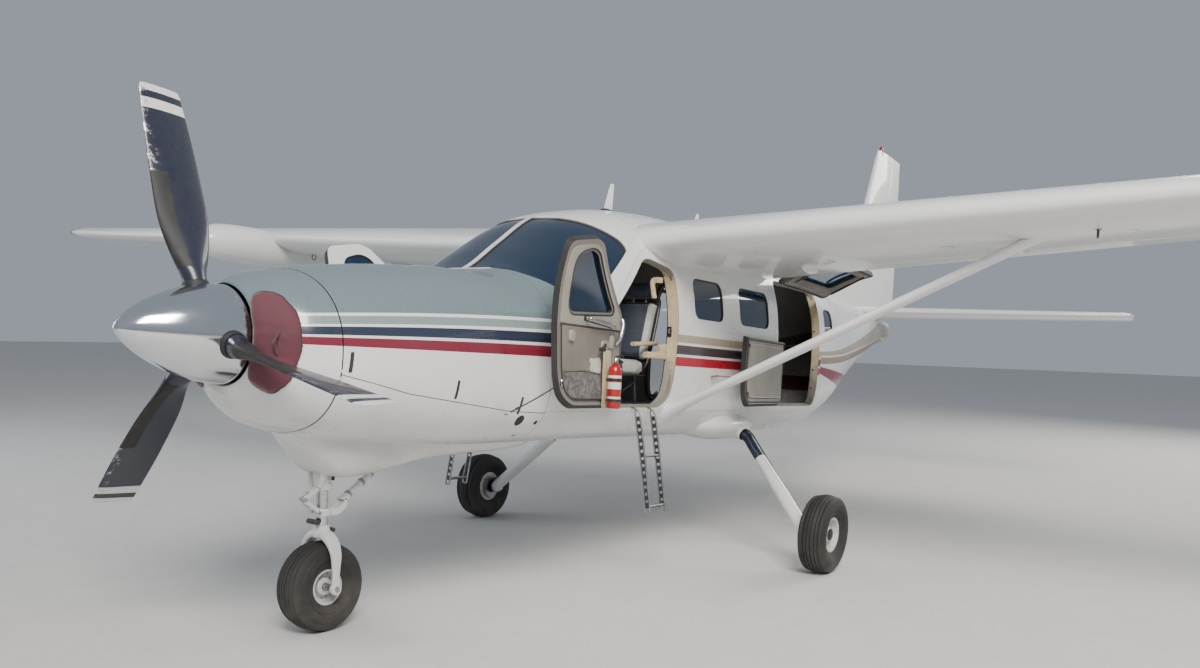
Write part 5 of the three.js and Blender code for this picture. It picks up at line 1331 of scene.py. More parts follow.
for side, name in SIDES:
    body, place = f"crew_door_{name}", swung_open(f"crew_door_{name}_close")
    trim = Shape(tan_paint, worn_vinyl.material, crumpled.material, foam, dark_steel, chrome, black_plastic,
                 rubber_seal)
    door = rounded(grown(CREW_DOOR, -TRIM_EDGE), CREW_CORNERS)
    upper = clipped(door, lambda z: max(z, TRIM_TOP + 0.004))
    lower = clipped(door, lambda z: min(z, TRIM_TOP - 0.004))
    window = grown(rounded(CREW_PANE, PANE_CORNERS), 0.018)
    sheet(trim, upper, side, 0.041, 0.0475, (0, 0, 0), [traced(window, side, 0.02)])
    sheet(trim, lower, side, 0.041, 0.053, (1, 1, 1))
    bead(trim, window, side, 0.046, 0.005, 7, 0.03)
    bead(trim, lower, side, 0.052, 0.0045, 6)
    pocket = rounded([(3.345, 1.295), (3.70, 1.295), (3.79, 1.345), (3.835, 1.475), (3.60, 1.485),
                      (3.345, 1.465)], 0.03)
    pocket = divided(pocket, 0.02)
    rim_line = np.array(pocket)

    def sagging(p, inner):
        gap = np.linalg.norm(p[:, None] - rim_line[None], axis=2).min(axis=1)
        ripple = np.sin(p[:, 0] * 21 + p[:, 1] * 9) * np.sin(p[:, 1] * 33 - p[:, 0] * 7)
        swell = 0.040 * (1 - np.exp(-gap / 0.045)) * (0.75 + 0.4 * ripple)
        depth = np.full(len(p), 0.052) if inner else 0.056 + swell
        return skin(p[:, 0], t_at(*p.T, side), depth)

    wall(trim, cut_patch(pocket, step=0.02, stretch=1), lambda p: sagging(p, False),
         lambda p: sagging(p, True), (2, 2, 2))
    pipe(trim, traced_at([(3.83, 1.478), (3.60, 1.489), (3.50, 1.482), (3.35, 1.470)], side, 0.060), 0.0042,
         8, 1, 4)
    torn = divided([(3.345, 1.475), (3.44, 1.480), (3.49, 1.49), (3.47, 1.53), (3.51, 1.575), (3.44, 1.570),
                    (3.37, 1.585), (3.34, 1.56)], 0.015)
    torn = [(y + 0.006 * math.sin(i * 2.4), z + 0.006 * math.cos(i * 1.7)) for i, (y, z) in enumerate(torn)]
    sheet(trim, torn, side, 0.050, 0.061, (3, 3, 3), step=0.02, size=0.03)
    grip = wall_line(side, (3.22, 1.812, 0.046), (3.22, 1.812, 0.082), (3.26, 1.814, 0.092),
                     (3.53, 1.836, 0.092), (3.57, 1.838, 0.082), (3.57, 1.838, 0.046))
    bar(trim, grip, 0.011, 0.007, (0, 0, 1), 5, 3)
    backing = [(3.20, 1.793), (3.59, 1.821), (3.59, 1.857), (3.20, 1.829)]
    sheet(trim, backing, side, 0.046, 0.049, (6, 6, 6), step=0.02, size=0.04)
    for y, z, wide, tall in ((3.76, 1.715, 0.030, 0.036), (3.31, 1.675, 0.048, 0.030),
                             (3.215, 1.70, 0.020, 0.046)):
        bar(trim, wall_line(side, (y, z, 0.050), (y, z, 0.074)), wide, tall, (0, 1, 0), 0, power=0.5)
    pivot = on_wall(3.32, 1.675, side, 0.080)
    tip = on_wall(3.43, 1.640, side, 0.092)
    bar(trim, [pivot, (pivot + tip) / 2 + (side * -0.006, 0, 0), tip], [0.012, 0.008, 0.010], 0.006,
        (0, 0, 1), 4, 4)
    pipe(trim, [tip, tip + (side * -0.040, 0, 0)], 0.011, 12, 6, 1)
    latch_tube = wall_line(side, (3.095, 1.87, 0.066), (3.100, 1.83, 0.082), (3.125, 1.74, 0.082),
                           (3.14, 1.69, 0.056))
    pipe(trim, latch_tube, 0.0135, 12, 5, 6)
    clevis = wall_line(side, (3.815, 1.42, 0.040), (3.842, 1.42, 0.050), (3.842, 1.38, 0.050),
                       (3.815, 1.37, 0.040))
    pipe(trim, clevis, 0.0035, 8, 5, 4)
    for z in (1.33, 1.70):
        knuckle = np.array([side * 0.842, 3.010, z])
        pipe(trim, [knuckle - (0, 0, 0.022), knuckle + (0, 0, 0.022)], 0.011, 16, 4, 1)
        bar(trim, [knuckle + (0, 0.004, 0), knuckle + (side * -0.014, 0.055, 0)], 0.018, 0.003, (0, 0, 1),
            0)
    trim.make(f"crew_door_trim_{name}", body, "fuselage_paint", place=place)
    seams = (grown(upper, -0.012), grown(window, 0.014))
    rows = [traced_at(divided(seam, 0.01), side, 0.0475) for seam in seams]
    rows = [(row, np.tile((-side, 0, 0), (len(row), 1))) for row in rows]
    fasten(f"crew_door_trim_rivets_{name}", body, rows, rivet, 0.05, tan_paint, place)
hook = np.array((0.757, 2.00, 1.21))
door_edge = moved([on_wall(3.842, 1.40, 1, 0.050)],
                  STAND.inverted() @ swung_open("crew_door_left_close"))[0]
red_webbing = finish_of("faded_red_webbing", (0.30, 0.040, 0.030), (0.18, 0.030, 0.024), 40.0, 0.75, 900,
                        0.001)
stay = Shape(black_plastic, chrome, red_webbing)
bend = hook + [(0.012, 0, 0), (0.026, 0.004, 0.010), (0.024, 0.020, 0.014), (0.010, 0.016, 0.004)]
pipe(stay, bend, 0.0035, 10, 1, 5)
pipe(stay, [hook + (-0.012, 0, 0), hook + (0.014, 0, 0)], 0.007, 12, 1, 1)
start = hook + (0.026, 0.012, 0.014)
reach = door_edge - start
pipe(stay, [start, start + reach * 0.06, start + reach * 0.5 - (0, 0, 0.006), door_edge], 0.0048, 10, 0, 6)
for share in (0.10, 0.93):
    pipe(stay, [start + reach * share, start + reach * (share + 0.07)], 0.0075, 10, 0, 1)
freight_edge = moved([on_wall(6.78, 1.52, 1, 0.045)],
                     STAND.inverted() @ swung_open("cargo_door_lower_close"))[0]
eye = on_wall(4.47, 1.50, 1, -0.004)
pipe(stay, [eye - (0.02, 0, 0), eye + (0.010, 0, 0)], 0.009, 12, 1, 1)
strap = [eye + (0.006, 0, 0), eye + (0.012, 0.06, 0.012), (eye + freight_edge) / 2 + (0.006, 0, -0.006),
         freight_edge]
pipe(stay, strap, 0.0042, 10, 2, 6)
pipe(stay, [eye + (0.008, 0.004, 0), eye + (0.014, 0.030, -0.040), eye + (0.014, 0.058, -0.085)], 0.0038,
     10, 1, 4)
pipe(stay, [eye + (0.012, 0.050, 0.010), eye + (0.012, 0.085, 0.006)], 0.0075, 10, 1, 1)
stay.make("door_stays", "airframe", "cover_fabric")

# Extinguisher: a red steel bottle with white bands, clamped upright to a bracket inside the port crew
# door, in its lower corner beside the hinges. It swings with the door.
bottle_paint = Paint("extinguisher_red")
height = bottle_paint.split(bottle_paint.craft())[2]
patina = bottle_paint.noise(20.0, 5.0)
BANDS = ((1.315, 1.340), (1.389, 1.434), (1.450, 1.478))
bands = sum((height.above(low) * (1 - height.above(high)) for low, high in BANDS), 0.0)
bottle_red = bottle_paint.mix((0.42, 0.008, 0.008), (0.30, 0.007, 0.008), patina)
bottle_paint.finish(Base_Color=bottle_paint.mix(bottle_red, (0.75, 0.74, 0.72), bands),
                    Roughness=patina * 0.2 + 0.2,
                    Normal=bottle_paint.bump(patina, distance=0.0006), Coat_Weight=0.5)
BOTTLE_X, BOTTLE_Y, BOTTLE_FOOT = 0.680, 3.292, 1.262
bottle = Shape(bottle_paint.material, dark_steel, black_plastic, chrome, cream_jamb)
stand = Matrix.Translation((BOTTLE_X, BOTTLE_Y, BOTTLE_FOOT))
lathe(bottle, [(0, 0.0), (0.040, 0.0), (0.046, 0.009), (0.046, 0.240), (0.041, 0.266), (0.027, 0.284),
               (0.015, 0.290), (0.015, 0.302), (0, 0.302)],
      stand, 40)
lathe(bottle, [(0, 0.298), (0.018, 0.298), (0.018, 0.326), (0.011, 0.334), (0, 0.334)], stand, 20, 3)
for drop in (0.0, 0.020):
    lever = [(0, 0.006, 1.592 - drop), (-0.012, -0.032, 1.606 - drop * 1.4),
             (-0.022, -0.066, 1.602 - drop * 2)]
    bar(bottle, [(BOTTLE_X + x, BOTTLE_Y + y, z) for x, y, z in lever], 0.009, 0.003, (0.5, 0.5, 0), 2, 4)
hose = [(0, -0.007, 1.585), (-0.012, -0.034, 1.578), (-0.020, -0.056, 1.52), (-0.010, -0.060, 1.43)]
pipe(bottle, [(BOTTLE_X + x, BOTTLE_Y + y, z) for x, y, z in hose], 0.007, 12, 2, 6)
for z in (0.045, 0.180):
    lathe(bottle, [(0.0462, z), (0.0485, z), (0.0485, z + 0.018), (0.0462, z + 0.018)], stand, 40, 1)
bar(bottle, [(BOTTLE_X + 0.054, BOTTLE_Y + 0.006, 1.264), (BOTTLE_X + 0.062, BOTTLE_Y + 0.006, 1.64)],
    0.056, 0.003, (0, 1, 0), 4)
for z in (1.316, 1.45):
    bar(bottle, [(BOTTLE_X + 0.044, BOTTLE_Y, z), (BOTTLE_X + 0.100, BOTTLE_Y, z)], 0.018, 0.008, (0, 1, 0),
        1)
bottle.make("fire_extinguisher", "crew_door_left", "panel_plastic",
            place=swung_open("crew_door_left_close"), crease=45)

# Cockpit: a ribbed mat over a plywood floor with four seat tracks, a crackle-black panel under a padded
# glare shield with round instruments, two control wheels, rudder pedals and a throttle pedestal.
floor_mat = Paint("ribbed_floor_mat")
ribs = (floor_mat.split(floor_mat.place())[0] * 260.0).math("SINE")
soil = floor_mat.noise(3.0, 6.0, 0.65)
floor_mat.finish(Base_Color=floor_mat.mix((0.030, 0.031, 0.034), (0.105, 0.095, 0.082),
                                          soil.above(0.52, 0.3)),
                 Roughness=soil * 0.3 + 0.55,
                 Normal=floor_mat.bump(ribs + soil, distance=0.0015, strength=0.6))
crackle = finish_of("crackle_black_paint", (0.016, 0.016, 0.017), (0.030, 0.030, 0.031), 6.0, 0.55, 600,
                    0.0012)
dial_glass = finish_of("instrument_face", (0.010, 0.011, 0.012), (0.020, 0.021, 0.022), 30.0, 0.16,
                       Coat_Weight=0.8)
ivory = finish_of("ivory_marking", (0.70, 0.68, 0.60), (0.60, 0.58, 0.50), 40.0, 0.5)
coat("cabin_floor", floor_mat.material)
coat("instrument_panel", crackle)
FLOOR_Z, SEAT_X = 1.215, 0.39
cockpit = Shape(bare_steel, crackle, dial_glass, ivory, black_plastic, dark_steel)
for x in (-0.56, -0.22, 0.22, 0.56):
    for low, high, half in ((0.0, 0.004, 0.020), (0.003, 0.014, 0.006), (0.012, 0.016, 0.013)):
        loft(cockpit, [[(x - half, y, FLOOR_Z + low), (x + half, y, FLOOR_Z + low),
                        (x + half, y, FLOOR_Z + high), (x - half, y, FLOOR_Z + high)]
                       for y in (3.08, 7.30)])
panel_tilt = Matrix.Rotation(math.radians(-90 - 5), 4, "X")


def panel_place(x, z):
    """A place on the panel's rear face, with its own z pointing at the seats."""
    return Matrix.Translation((x, 2.82 - (z - 1.64) * 0.087 - 0.003, z)) @ panel_tilt


GAUGES = [(side * (0.25 + 0.105 * i), z, 0.044)
          for side in (1, -1) for i in range(3) for z in (1.885, 1.78)]
GAUGES += [(x, 1.69, 0.026) for x in (0.20, 0.265, 0.33, 0.395, 0.46)]
GAUGES += [(x, 1.935, 0.026) for x in (-0.135, -0.07, 0.07, 0.135)]


def panel_block(at, x0, x1, half_y, low, high, mark):
    """A rectangular block on the panel, between two heights over its face."""
    flat = ((x0, -half_y), (x1, -half_y), (x1, half_y), (x0, half_y))
    loft(cockpit, [moved([(x, y, h) for x, y in flat], at) for h in (low, high)], mark)


for x, z, radius in GAUGES:
    rim = [(0, 0), (radius, 0), (radius, 0.010), (radius * 0.9, 0.012), (radius * 0.86, 0.006), (0, 0.006)]
    lathe(cockpit, rim, panel_place(x, z), 28, [4, 4, 4, 4, 2, 2])
    for turn in range(6):
        at = (panel_place(x, z) @ Matrix.Rotation(turn * math.pi / 3, 4, "Z")
              @ Matrix.Translation((0, radius * 0.72, 0.0065)))
        panel_block(at, -0.0012, 0.0012, radius * 0.1, -0.001, 0.0006, 3)
for z in (1.70, 1.755, 1.81, 1.865):
    at = panel_place(0, z)
    panel_block(at, -0.085, 0.085, 0.022, -0.002, 0.016, 4)
    panel_block(at, -0.055, 0.040, 0.012, 0.010, 0.0168, 2)
    for x in (-0.070, 0.060):
        lathe(cockpit, [(0, 0.012), (0.008, 0.012), (0.007, 0.028), (0, 0.029)],
              at @ Matrix.Translation((x, 0, 0)), 14, 5)
for side in (1, -1):
    x = side * 0.36
    pipe(cockpit, [(x, 2.80, 1.745), (x, 3.06, 1.735)], 0.016, 16, 0, 1)
    pipe(cockpit, [(x - 0.15, 3.045, 1.86), (x - 0.165, 3.06, 1.80), (x - 0.13, 3.075, 1.725),
                   (x - 0.05, 3.075, 1.70), (x, 3.07, 1.735),
                   (x + 0.05, 3.075, 1.70), (x + 0.13, 3.075, 1.725), (x + 0.165, 3.06, 1.80),
                   (x + 0.15, 3.045, 1.86)],
         [0.015, 0.018, 0.013, 0.014, 0.020, 0.014, 0.013, 0.018, 0.015], 14, 4, 8)
    for pedal in (-0.10, 0.10):
        bar(cockpit, [(x + pedal, 2.56, 1.30), (x + pedal, 2.60, 1.42)], 0.055, 0.007, (1, 0, 0), 0,
            power=0.5)
        pipe(cockpit, [(x + pedal, 2.575, 1.31), (x + pedal, 2.50, 1.24)], 0.011, 12, 5, 1)
    pipe(cockpit, [(x - 0.17, 2.50, 1.235), (x + 0.17, 2.50, 1.235)], 0.015, 14, 5, 1)
bar(cockpit, [(0, 2.80, 1.60), (0, 2.93, 1.54), (0, 2.97, 1.36), (0, 2.96, 1.22)],
    [0.115, 0.115, 0.10, 0.10], [0.05, 0.06, 0.06, 0.06], (1, 0, 0), 1, 6)
for x, tall in ((-0.055, 0.11), (0.0, 0.12), (0.055, 0.10)):
    pipe(cockpit, [(x, 2.90, 1.60), (x, 2.925, 1.60 + tall)], 0.005, 10, 0, 1)
    bar(cockpit, [(x - 0.016, 2.927, 1.60 + tall), (x + 0.016, 2.927, 1.60 + tall)], 0.016, 0.012,
        (0, 0, 1), 4)
shield = [(2.56, 1.945), (2.60, 2.035), (2.80, 2.012), (2.845, 1.985)]
rows = []
for x in np.linspace(-0.70, 0.70, 29):
    drop = 0.10 * (abs(x) / 0.70) ** 3
    over = [(x, y, z - drop + 0.012) for y, z in shield]
    under = [(x, y, z - drop - 0.010) for y, z in shield[::-1]]
    rows.append(over + under)
loft(cockpit, rows, 1)
cockpit.make("cockpit_fittings", "airframe", "panel_plastic", crease=40)

# Crew seats: a tube pedestal on the tracks carries a pan and a back frame, with separate stitched
# cushions of navy cloth between pale vinyl bolsters, blown up as padding, and a cream armrest.
seat_cloth = Paint("seat_cloth_and_bolsters")
sx, sy, sz = seat_cloth.split(seat_cloth.place())
bolster = (sx.math("ABSOLUTE") - SEAT_X).math("ABSOLUTE").above(0.145, 0.004)
middle = 1 - bolster
thread = (sx * 1400.0).math("SINE") * ((sz + sy) * 1400.0).math("SINE")
wear = seat_cloth.noise(7.0, 6.0, 0.6)
channel = ((sy + sz) * 70.0).math("SINE").math("ABSOLUTE")
navy = seat_cloth.mix((0.020, 0.028, 0.055), (0.060, 0.068, 0.090), wear)
relief = thread * 0.12 * middle + (channel * middle).math("POWER", 0.3) + wear * 0.3
seat_cloth.finish(
    Base_Color=seat_cloth.mix(navy, (0.42, 0.44, 0.41), bolster), Roughness=0.85 - bolster * 0.35,
    Sheen_Weight=0.35, Normal=seat_cloth.bump(relief, distance=0.003, strength=0.5))
PAD_FRAMES, PAD_PRESSURE, PAD_VOXEL = 20, 4.0, 0.006


def padding(points, half_wide, half_thick, cap):
    """A cushion's corners and faces: a soft-edged block, meshed finely and blown up as cloth to a cap."""
    block = Shape(seat_cloth.material)
    bar(block, points, half_wide, half_thick, (1, 0, 0), 0, 4, 0.3, 32)
    mesh = bpy.data.meshes.new("pad")
    mesh.from_pydata(np.concatenate(block.corners).tolist(), [], block.faces)
    pad = linked("pad", mesh)
    remesh = pad.modifiers.new("remesh", "REMESH")
    remesh.mode, remesh.voxel_size = "VOXEL", PAD_VOXEL
    pad = evaluated(pad, "pad_cloth")
    start = np.array([v.co for v in pad.data.vertices])
    cloth = pad.modifiers.new("cloth", "CLOTH")
    cloth.settings.use_pressure, cloth.settings.uniform_pressure_force = True, PAD_PRESSURE
    cloth.settings.effector_weights.gravity = 0
    cloth.point_cache.frame_end = PAD_FRAMES
    for step in range(1, PAD_FRAMES + 1):
        bpy.context.scene.frame_set(step)
    pad = evaluated(pad, "pad_blown")
    ends = np.array([v.co for v in pad.data.vertices])
    shift = ends - start
    reach = np.linalg.norm(shift, axis=1)[:, None]
    ends = start + shift * np.minimum(1, cap / np.maximum(reach, 1e-9))
    faces = [tuple(p.vertices) for p in pad.data.polygons]
    bpy.data.objects.remove(pad)
    return ends, faces


SEAT_PADS = (
    ("seat_cushion", [(0, 3.390, 1.548), (0, 3.600, 1.540), (0, 3.835, 1.540)], 0.205, 0.046, 0.018, 0.6),
    ("seat_back_cushion", [(0, 3.868, 1.605), (0, 3.925, 1.82), (0, 3.985, 2.045)], 0.195, 0.032, 0.016,
     0.6),
    ("seat_headrest", [(0, 4.003, 2.095), (0, 4.025, 2.200)], 0.105, 0.028, 0.012, 0.7),
)
for label, points, wide, thick, cap, fill in SEAT_PADS:
    corners, faces = padding(points, wide, thick, cap)
    for side, name in SIDES:
        soft = Shape(seat_cloth.material)
        soft.add(corners + (side * SEAT_X, 0, 0), faces)
        piece = soft.make(f"{label}_{name}", "airframe", "seat_cloth", crease=180)
for side, name in SIDES:
    x = side * SEAT_X
    seat = Shape(dark_steel, black_plastic, cream_jamb, bare_steel)
    for half in (-0.165, 0.165):
        bar(seat, [(x + half, 3.44, 1.245), (x + half, 3.80, 1.245)], 0.013, 0.010, (1, 0, 0), 3)
        for y0, y1 in ((3.45, 3.50), (3.79, 3.76)):
            pipe(seat, [(x + half, y0, 1.245), (x + half * 0.95, y1, 1.478)], 0.013, 14, 0, 1)
        pipe(seat, [(x + half, 3.46, 1.30), (x + half, 3.78, 1.44)], 0.008, 12, 0, 1)
        pipe(seat, [(x + half * 1.15, 3.80, 1.50), (x + half * 1.15, 3.905, 1.62),
                    (x + half * 1.12, 4.03, 2.03), (x + half * 0.9, 4.05, 2.07)], 0.012, 14, 0, 5)
        pipe(seat, [(x + half * 0.35, 4.035, 2.05), (x + half * 0.35, 4.040, 2.17)], 0.0055, 10, 3, 1)
    pipe(seat, [(x - 0.16, 3.44, 1.30), (x + 0.16, 3.44, 1.30)], 0.009, 12, 3, 1)
    pipe(seat, [(x - 0.150, 4.05, 2.07), (x + 0.150, 4.05, 2.07)], 0.012, 14, 0, 1)
    bar(seat, [(x, 3.38, 1.487), (x, 3.85, 1.487)], 0.212, 0.010, (1, 0, 0), 1, power=0.3)
    bar(seat, [(x, 3.915, 1.60), (x, 4.030, 2.05)], 0.196, 0.008, (1, 0, 0), 1, power=0.3)
    for half in (-0.235, 0.235):
        bar(seat, [(x + half, 3.93, 1.735), (x + half, 3.60, 1.715)], 0.026, 0.016, (1, 0, 0), 2, power=0.6)
        pipe(seat, [(x + half, 3.93, 1.735), (x + half * 0.86, 3.955, 1.735)], 0.012, 12, 0, 1)
    seat.make(f"crew_seat_frame_{name}", "airframe", "seat_cloth", [f"seat_{name}"], crease=40)
    rest = Shape(cream_jamb, dark_steel)
    bar(rest, [(side * 0.724, 3.905, 1.640), (side * 0.712, 3.64, 1.640)], [0.030, 0.024], [0.030, 0.024],
        (1, 0, 0), 0, power=0.45)
    bar(rest, [(side * 0.726, 3.905, 1.70), (side * 0.722, 3.81, 1.685)], 0.020, 0.036, (1, 0, 0), 0,
        power=0.5)
    rest.make(f"crew_doorway_rest_{name}", "airframe", "panel_plastic")


def pierced(shape, line, half, thick, holes, radius, marks=0, across=(0, 1, 0)):
    """A flat strip along a line with round holes through it, at the given lengths along."""
    line, across = np.asarray(line, float), np.asarray(across, float)
    lengths = np.concatenate([[0], np.cumsum(np.linalg.norm(np.diff(line, axis=0), axis=1))])
    ahead = np.gradient(line, lengths, axis=0)
    normals = np.cross(ahead / np.linalg.norm(ahead, axis=1)[:, None], across)

    def layer(offset):
        def place(p):
            spots = np.stack([np.interp(p[:, 0], lengths, line[:, k]) for k in range(3)], axis=1)
            lean = np.stack([np.interp(p[:, 0], lengths, normals[:, k]) for k in range(3)], axis=1)
            return spots + across * p[:, 1:] + lean * offset
        return place

    outline = divided([(0, -half), (lengths[-1], -half), (lengths[-1], half), (0, half)], 0.03)
    cuts = [disc(at, 0, radius, 12) for at in holes]
    wall(shape, cut_patch(outline, cuts, 0.06, 1), layer(thick / 2), layer(-thick / 2),
         (marks, marks, marks))


# Freight door and airstair fittings: tan trim panels and rubber seals inside the leaves, external
# hinges, gas struts on the upper leaves, and the stair's treads between two pierced rails.
tread_grip = finish_of("grit_tread", (0.040, 0.040, 0.042), (0.085, 0.080, 0.075), 12.0, 0.8, 500, 0.003)
# Each leaf's hinge pins, the way that its hinge line runs, and the way from there to the leaf
HINGES = {
    "cargo_door_upper": (((0.735, 5.90, 2.412), (0.735, 6.50, 2.412)), (0, 1, 0), (0, 0, -1)),
    "cargo_door_lower": (((0.838, 5.73, 1.34), (0.838, 5.73, 1.70)), (0, 0, 1), (0, 1, 0)),
    "airstair_upper": (((-0.735, 6.20, 2.412), (-0.735, 6.54, 2.412)), (0, 1, 0), (0, 0, -1)),
    "airstair_lower": (((-0.812, 6.20, 1.246), (-0.812, 6.54, 1.246)), (0, 1, 0), (0, 0, 1)),
}
for side, upper, lower in HATCH_LEAVES:
    for body, is_upper in ((upper, True), (lower, False)):
        hatch, place = HATCHES[side], swung_open(f"{body}_close")
        trim = Shape(lining, tan_paint, rubber_seal, dark_steel, chrome, tread_grip)
        edge = hatch_leaf(hatch, is_upper)
        panel = rounded(grown(cornered(hatch, is_upper), -0.055), 0.05)
        hole = [traced(grown(hatch_pane(hatch), 0.016), side, 0.02)] if is_upper else []
        sheet(trim, panel, side, 0.041, 0.050 if is_upper else 0.052, (0, 0, 1), hole)
        bead(trim, panel, side, 0.050, 0.0045, 1)
        bead(trim, grown(edge, -0.016), side, 0.043, 0.0070, 2)
        pins, axis, leafward = [np.array(column, float) for column in HINGES[body]]
        for pin in pins:
            pipe(trim, [pin - axis * 0.030, pin + axis * 0.030], 0.0105, 14, 4, 1)
            _, y, z = pin + leafward * 0.06
            bar(trim, [pin, on_wall(y, z, side, -0.002)], 0.024, 0.0035, axis, 1)
        if is_upper:
            inset = 0.10 if side > 0 else 0.055
            for y in (hatch[0][0] + inset, hatch[1][0] - inset):
                foot, head = on_wall(y, 1.93, side, 0.055), on_wall(y, 2.30, side, 0.075)
                pipe(trim, [foot, head], [0.0085], 14, 3, 1)
                pipe(trim, [foot, foot + (head - foot) * 0.45], 0.0055, 12, 4, 1)
                pipe(trim, [foot - (side * -0.012, 0, 0), foot + (side * -0.014, 0, 0)], 0.010, 12, 3, 1)
            handle = [on_wall(y, 1.885, side, 0.052) for y in (hatch[0][0] + 0.30, hatch[1][0] - 0.30)]
            bar(trim, handle, 0.012, 0.010, (0, 0, 1), 3)
        else:
            front, rear = hatch[0][0], hatch[1][0]
            bolt_ys = (rear - 0.065, rear - 0.025) if side > 0 else (front + 0.05, front + 0.02)
            for z in (1.36, 1.55, 1.78):
                bar(trim, [on_wall(y, z, side, 0.050) for y in bolt_ys], 0.010, 0.007, (0, 0, 1), 3)
        if body == "airstair_lower":
            for y in (6.18, 6.64):
                run = [(-0.680, y, z) for z in np.linspace(1.335, 2.150, 30)]
                pierced(trim, run, 0.025, 0.006, np.arange(0.05, 0.80, 0.048), 0.0125, 3, across=(1, 0, 0))
                for x in (-0.703, -0.657):
                    pipe(trim, [(x, y, 1.335), (x, y, 2.150)], 0.0065, 10, 1, 1)
                for z in (1.37, 1.76):
                    bar(trim, [(-0.795, y, z), (-0.690, y, z)], 0.016, 0.006, (0, 0, 1), 3)
                pipe(trim, [(-0.66, y, 2.12), (-0.63, y, 2.02), (-0.62, y, 1.80), (-0.64, y, 1.52)], 0.0045,
                     8, 4, 8)
            for z in (1.48, 1.70, 1.92, 2.13):
                pierced(trim, [(-0.648, y, z) for y in np.linspace(6.182, 6.638, 20)], 0.054, 0.010,
                        np.arange(0.045, 0.44, 0.052), 0.014, 5,
                        across=(1, 0, 0))
                bar(trim, [(-0.597, 6.182, z), (-0.597, 6.638, z)], 0.010, 0.006, (0, 0, 1), 1)
        trim.make(f"{body}_trim", body, "fuselage_paint", place=place)

# Crew ladders: each side is an alloy tube bent to a long loop round a web with lightening holes. Its
# outer limb hooks over the sill, under the shut door, and two flat rungs join the sides.
ladder_alloy = finish_of("scuffed_ladder_alloy", (0.42, 0.43, 0.45), (0.22, 0.22, 0.23), 16.0, 0.34, 300,
                         0.0008, Metallic=0.9)
LIMB, LADDER_SIDES, LADDER_LEAN = 0.0062, (3.37, 3.58), (0.985, 0, 0.174)
for side, name in SIDES:
    ladder = Shape(ladder_alloy, dark_steel)
    for y in LADDER_SIDES:
        outer = [(0.690, 1.222), (0.700, 1.2495), (0.775, 1.2495), (0.815, 1.246), (0.858, 1.215),
                 (0.884, 1.13), (0.946, 0.82), (0.998, 0.530),
                 (0.992, 0.506), (0.975, 0.497), (0.959, 0.506), (0.955, 0.530), (0.903, 0.82),
                 (0.841, 1.13), (0.828, 1.195), (0.824, 1.236)]
        pipe(ladder, [(side * x, y, z) for x, z in outer], LIMB, 10, 0, 4)
        web = [(side * x, y, z) for x, z in ((0.846, 1.19), (0.8625, 1.13), (0.9245, 0.82),
                                             (0.9765, 0.535))]
        pierced(ladder, curve_through(web, 8), 0.0215, 0.003, np.arange(0.045, 0.63, 0.052), 0.0125, 1,
                across=np.multiply(LADDER_LEAN, (side, 1, 1)))
    for z in (0.552, 0.912):
        x = side * np.interp(z, (0.535, 0.82, 1.13), (0.9765, 0.9245, 0.8625))
        bar(ladder, [(x, LADDER_SIDES[0], z), (x, LADDER_SIDES[1], z)], 0.021, 0.006, (1, 0, 0), 0)
        for out in (-0.016, 0.016):
            pipe(ladder, [(x + out, LADDER_SIDES[0], z - 0.008), (x + out, LADDER_SIDES[1], z - 0.008)],
                 0.006, 10, 1, 1)
    ladder.make(f"crew_ladder_{name}", "airframe", "ladder_metal", [f"ladder_{name}"])

# Aerials and beacon: two swept blades on black bases and a whip on the roof, and a red domed beacon on
# top of the fin.
red_lens = finish_of("red_lens", (0.55, 0.010, 0.008), (0.40, 0.008, 0.006), 40.0, 0.14,
                     Transmission_Weight=0.4, Coat_Weight=0.8)
clear_lens = finish_of("clear_lens", (0.80, 0.82, 0.82), (0.70, 0.73, 0.74), 40.0, 0.14,
                       Transmission_Weight=0.5, Coat_Weight=0.8)
green_lens = finish_of("green_lens", (0.010, 0.40, 0.12), (0.008, 0.28, 0.08), 40.0, 0.14,
                       Transmission_Weight=0.4, Coat_Weight=0.8)
aerials = Shape(livery("aerial_white", 0.3, 0.1, striped=False), black_plastic, red_lens, clear_lens,
                dark_steel)
for y, tall in ((4.02, 0.265), (5.45, 0.250)):
    rows = []
    for share in np.linspace(0, 1, 9):
        lead, trail = y + share ** 1.3 * 0.090, y + 0.130 + share * 0.010
        z = 2.745 + (tall - 0.003) * share
        turn = turn_angles(20)
        rows.append(np.stack([0.0075 * (1 - 0.45 * share) * np.sin(turn),
                              (lead + trail) / 2 - (trail - lead) / 2 * np.cos(turn), np.full(20, z)],
                             axis=1))
    loft(aerials, rows)
    turn = turn_angles(28)
    base = [np.stack([0.030 * k * np.sin(turn), y + 0.065 - 0.090 * k * np.cos(turn), np.full(28, z)],
                     axis=1)
            for k, z in ((1.0, 2.750), (1.0, 2.792), (0.55, 2.802))]
    loft(aerials, base, 1)
pipe(aerials, [(-0.15, 4.25, 2.72), (-0.15, 4.26, 2.80), (-0.15, 4.27, 2.90)], [0.008, 0.005, 0.0025], 10,
     1, 4)
lathe(aerials, [(0, -0.05), (0.020, -0.05), (0.020, 0.010), (0.010, 0.018), (0, 0.018)],
      Matrix.Translation((-0.15, 4.25, 2.78)), 18, 1)
lathe(aerials, [(0, -0.04), (0.034, -0.04), (0.034, 0.008), (0, 0.008)],
      Matrix.Translation((0, 10.30, 4.505)), 28)
lathe(aerials, [(0, 0.004), (0.027, 0.004), (0.0275, 0.035), (0.0235, 0.062), (0.013, 0.078), (0, 0.083)],
      Matrix.Translation((0, 10.30, 4.505)), 28, 2)
aerials.make("roof_aerials_and_beacon", "airframe", "airframe_white", crease=40)


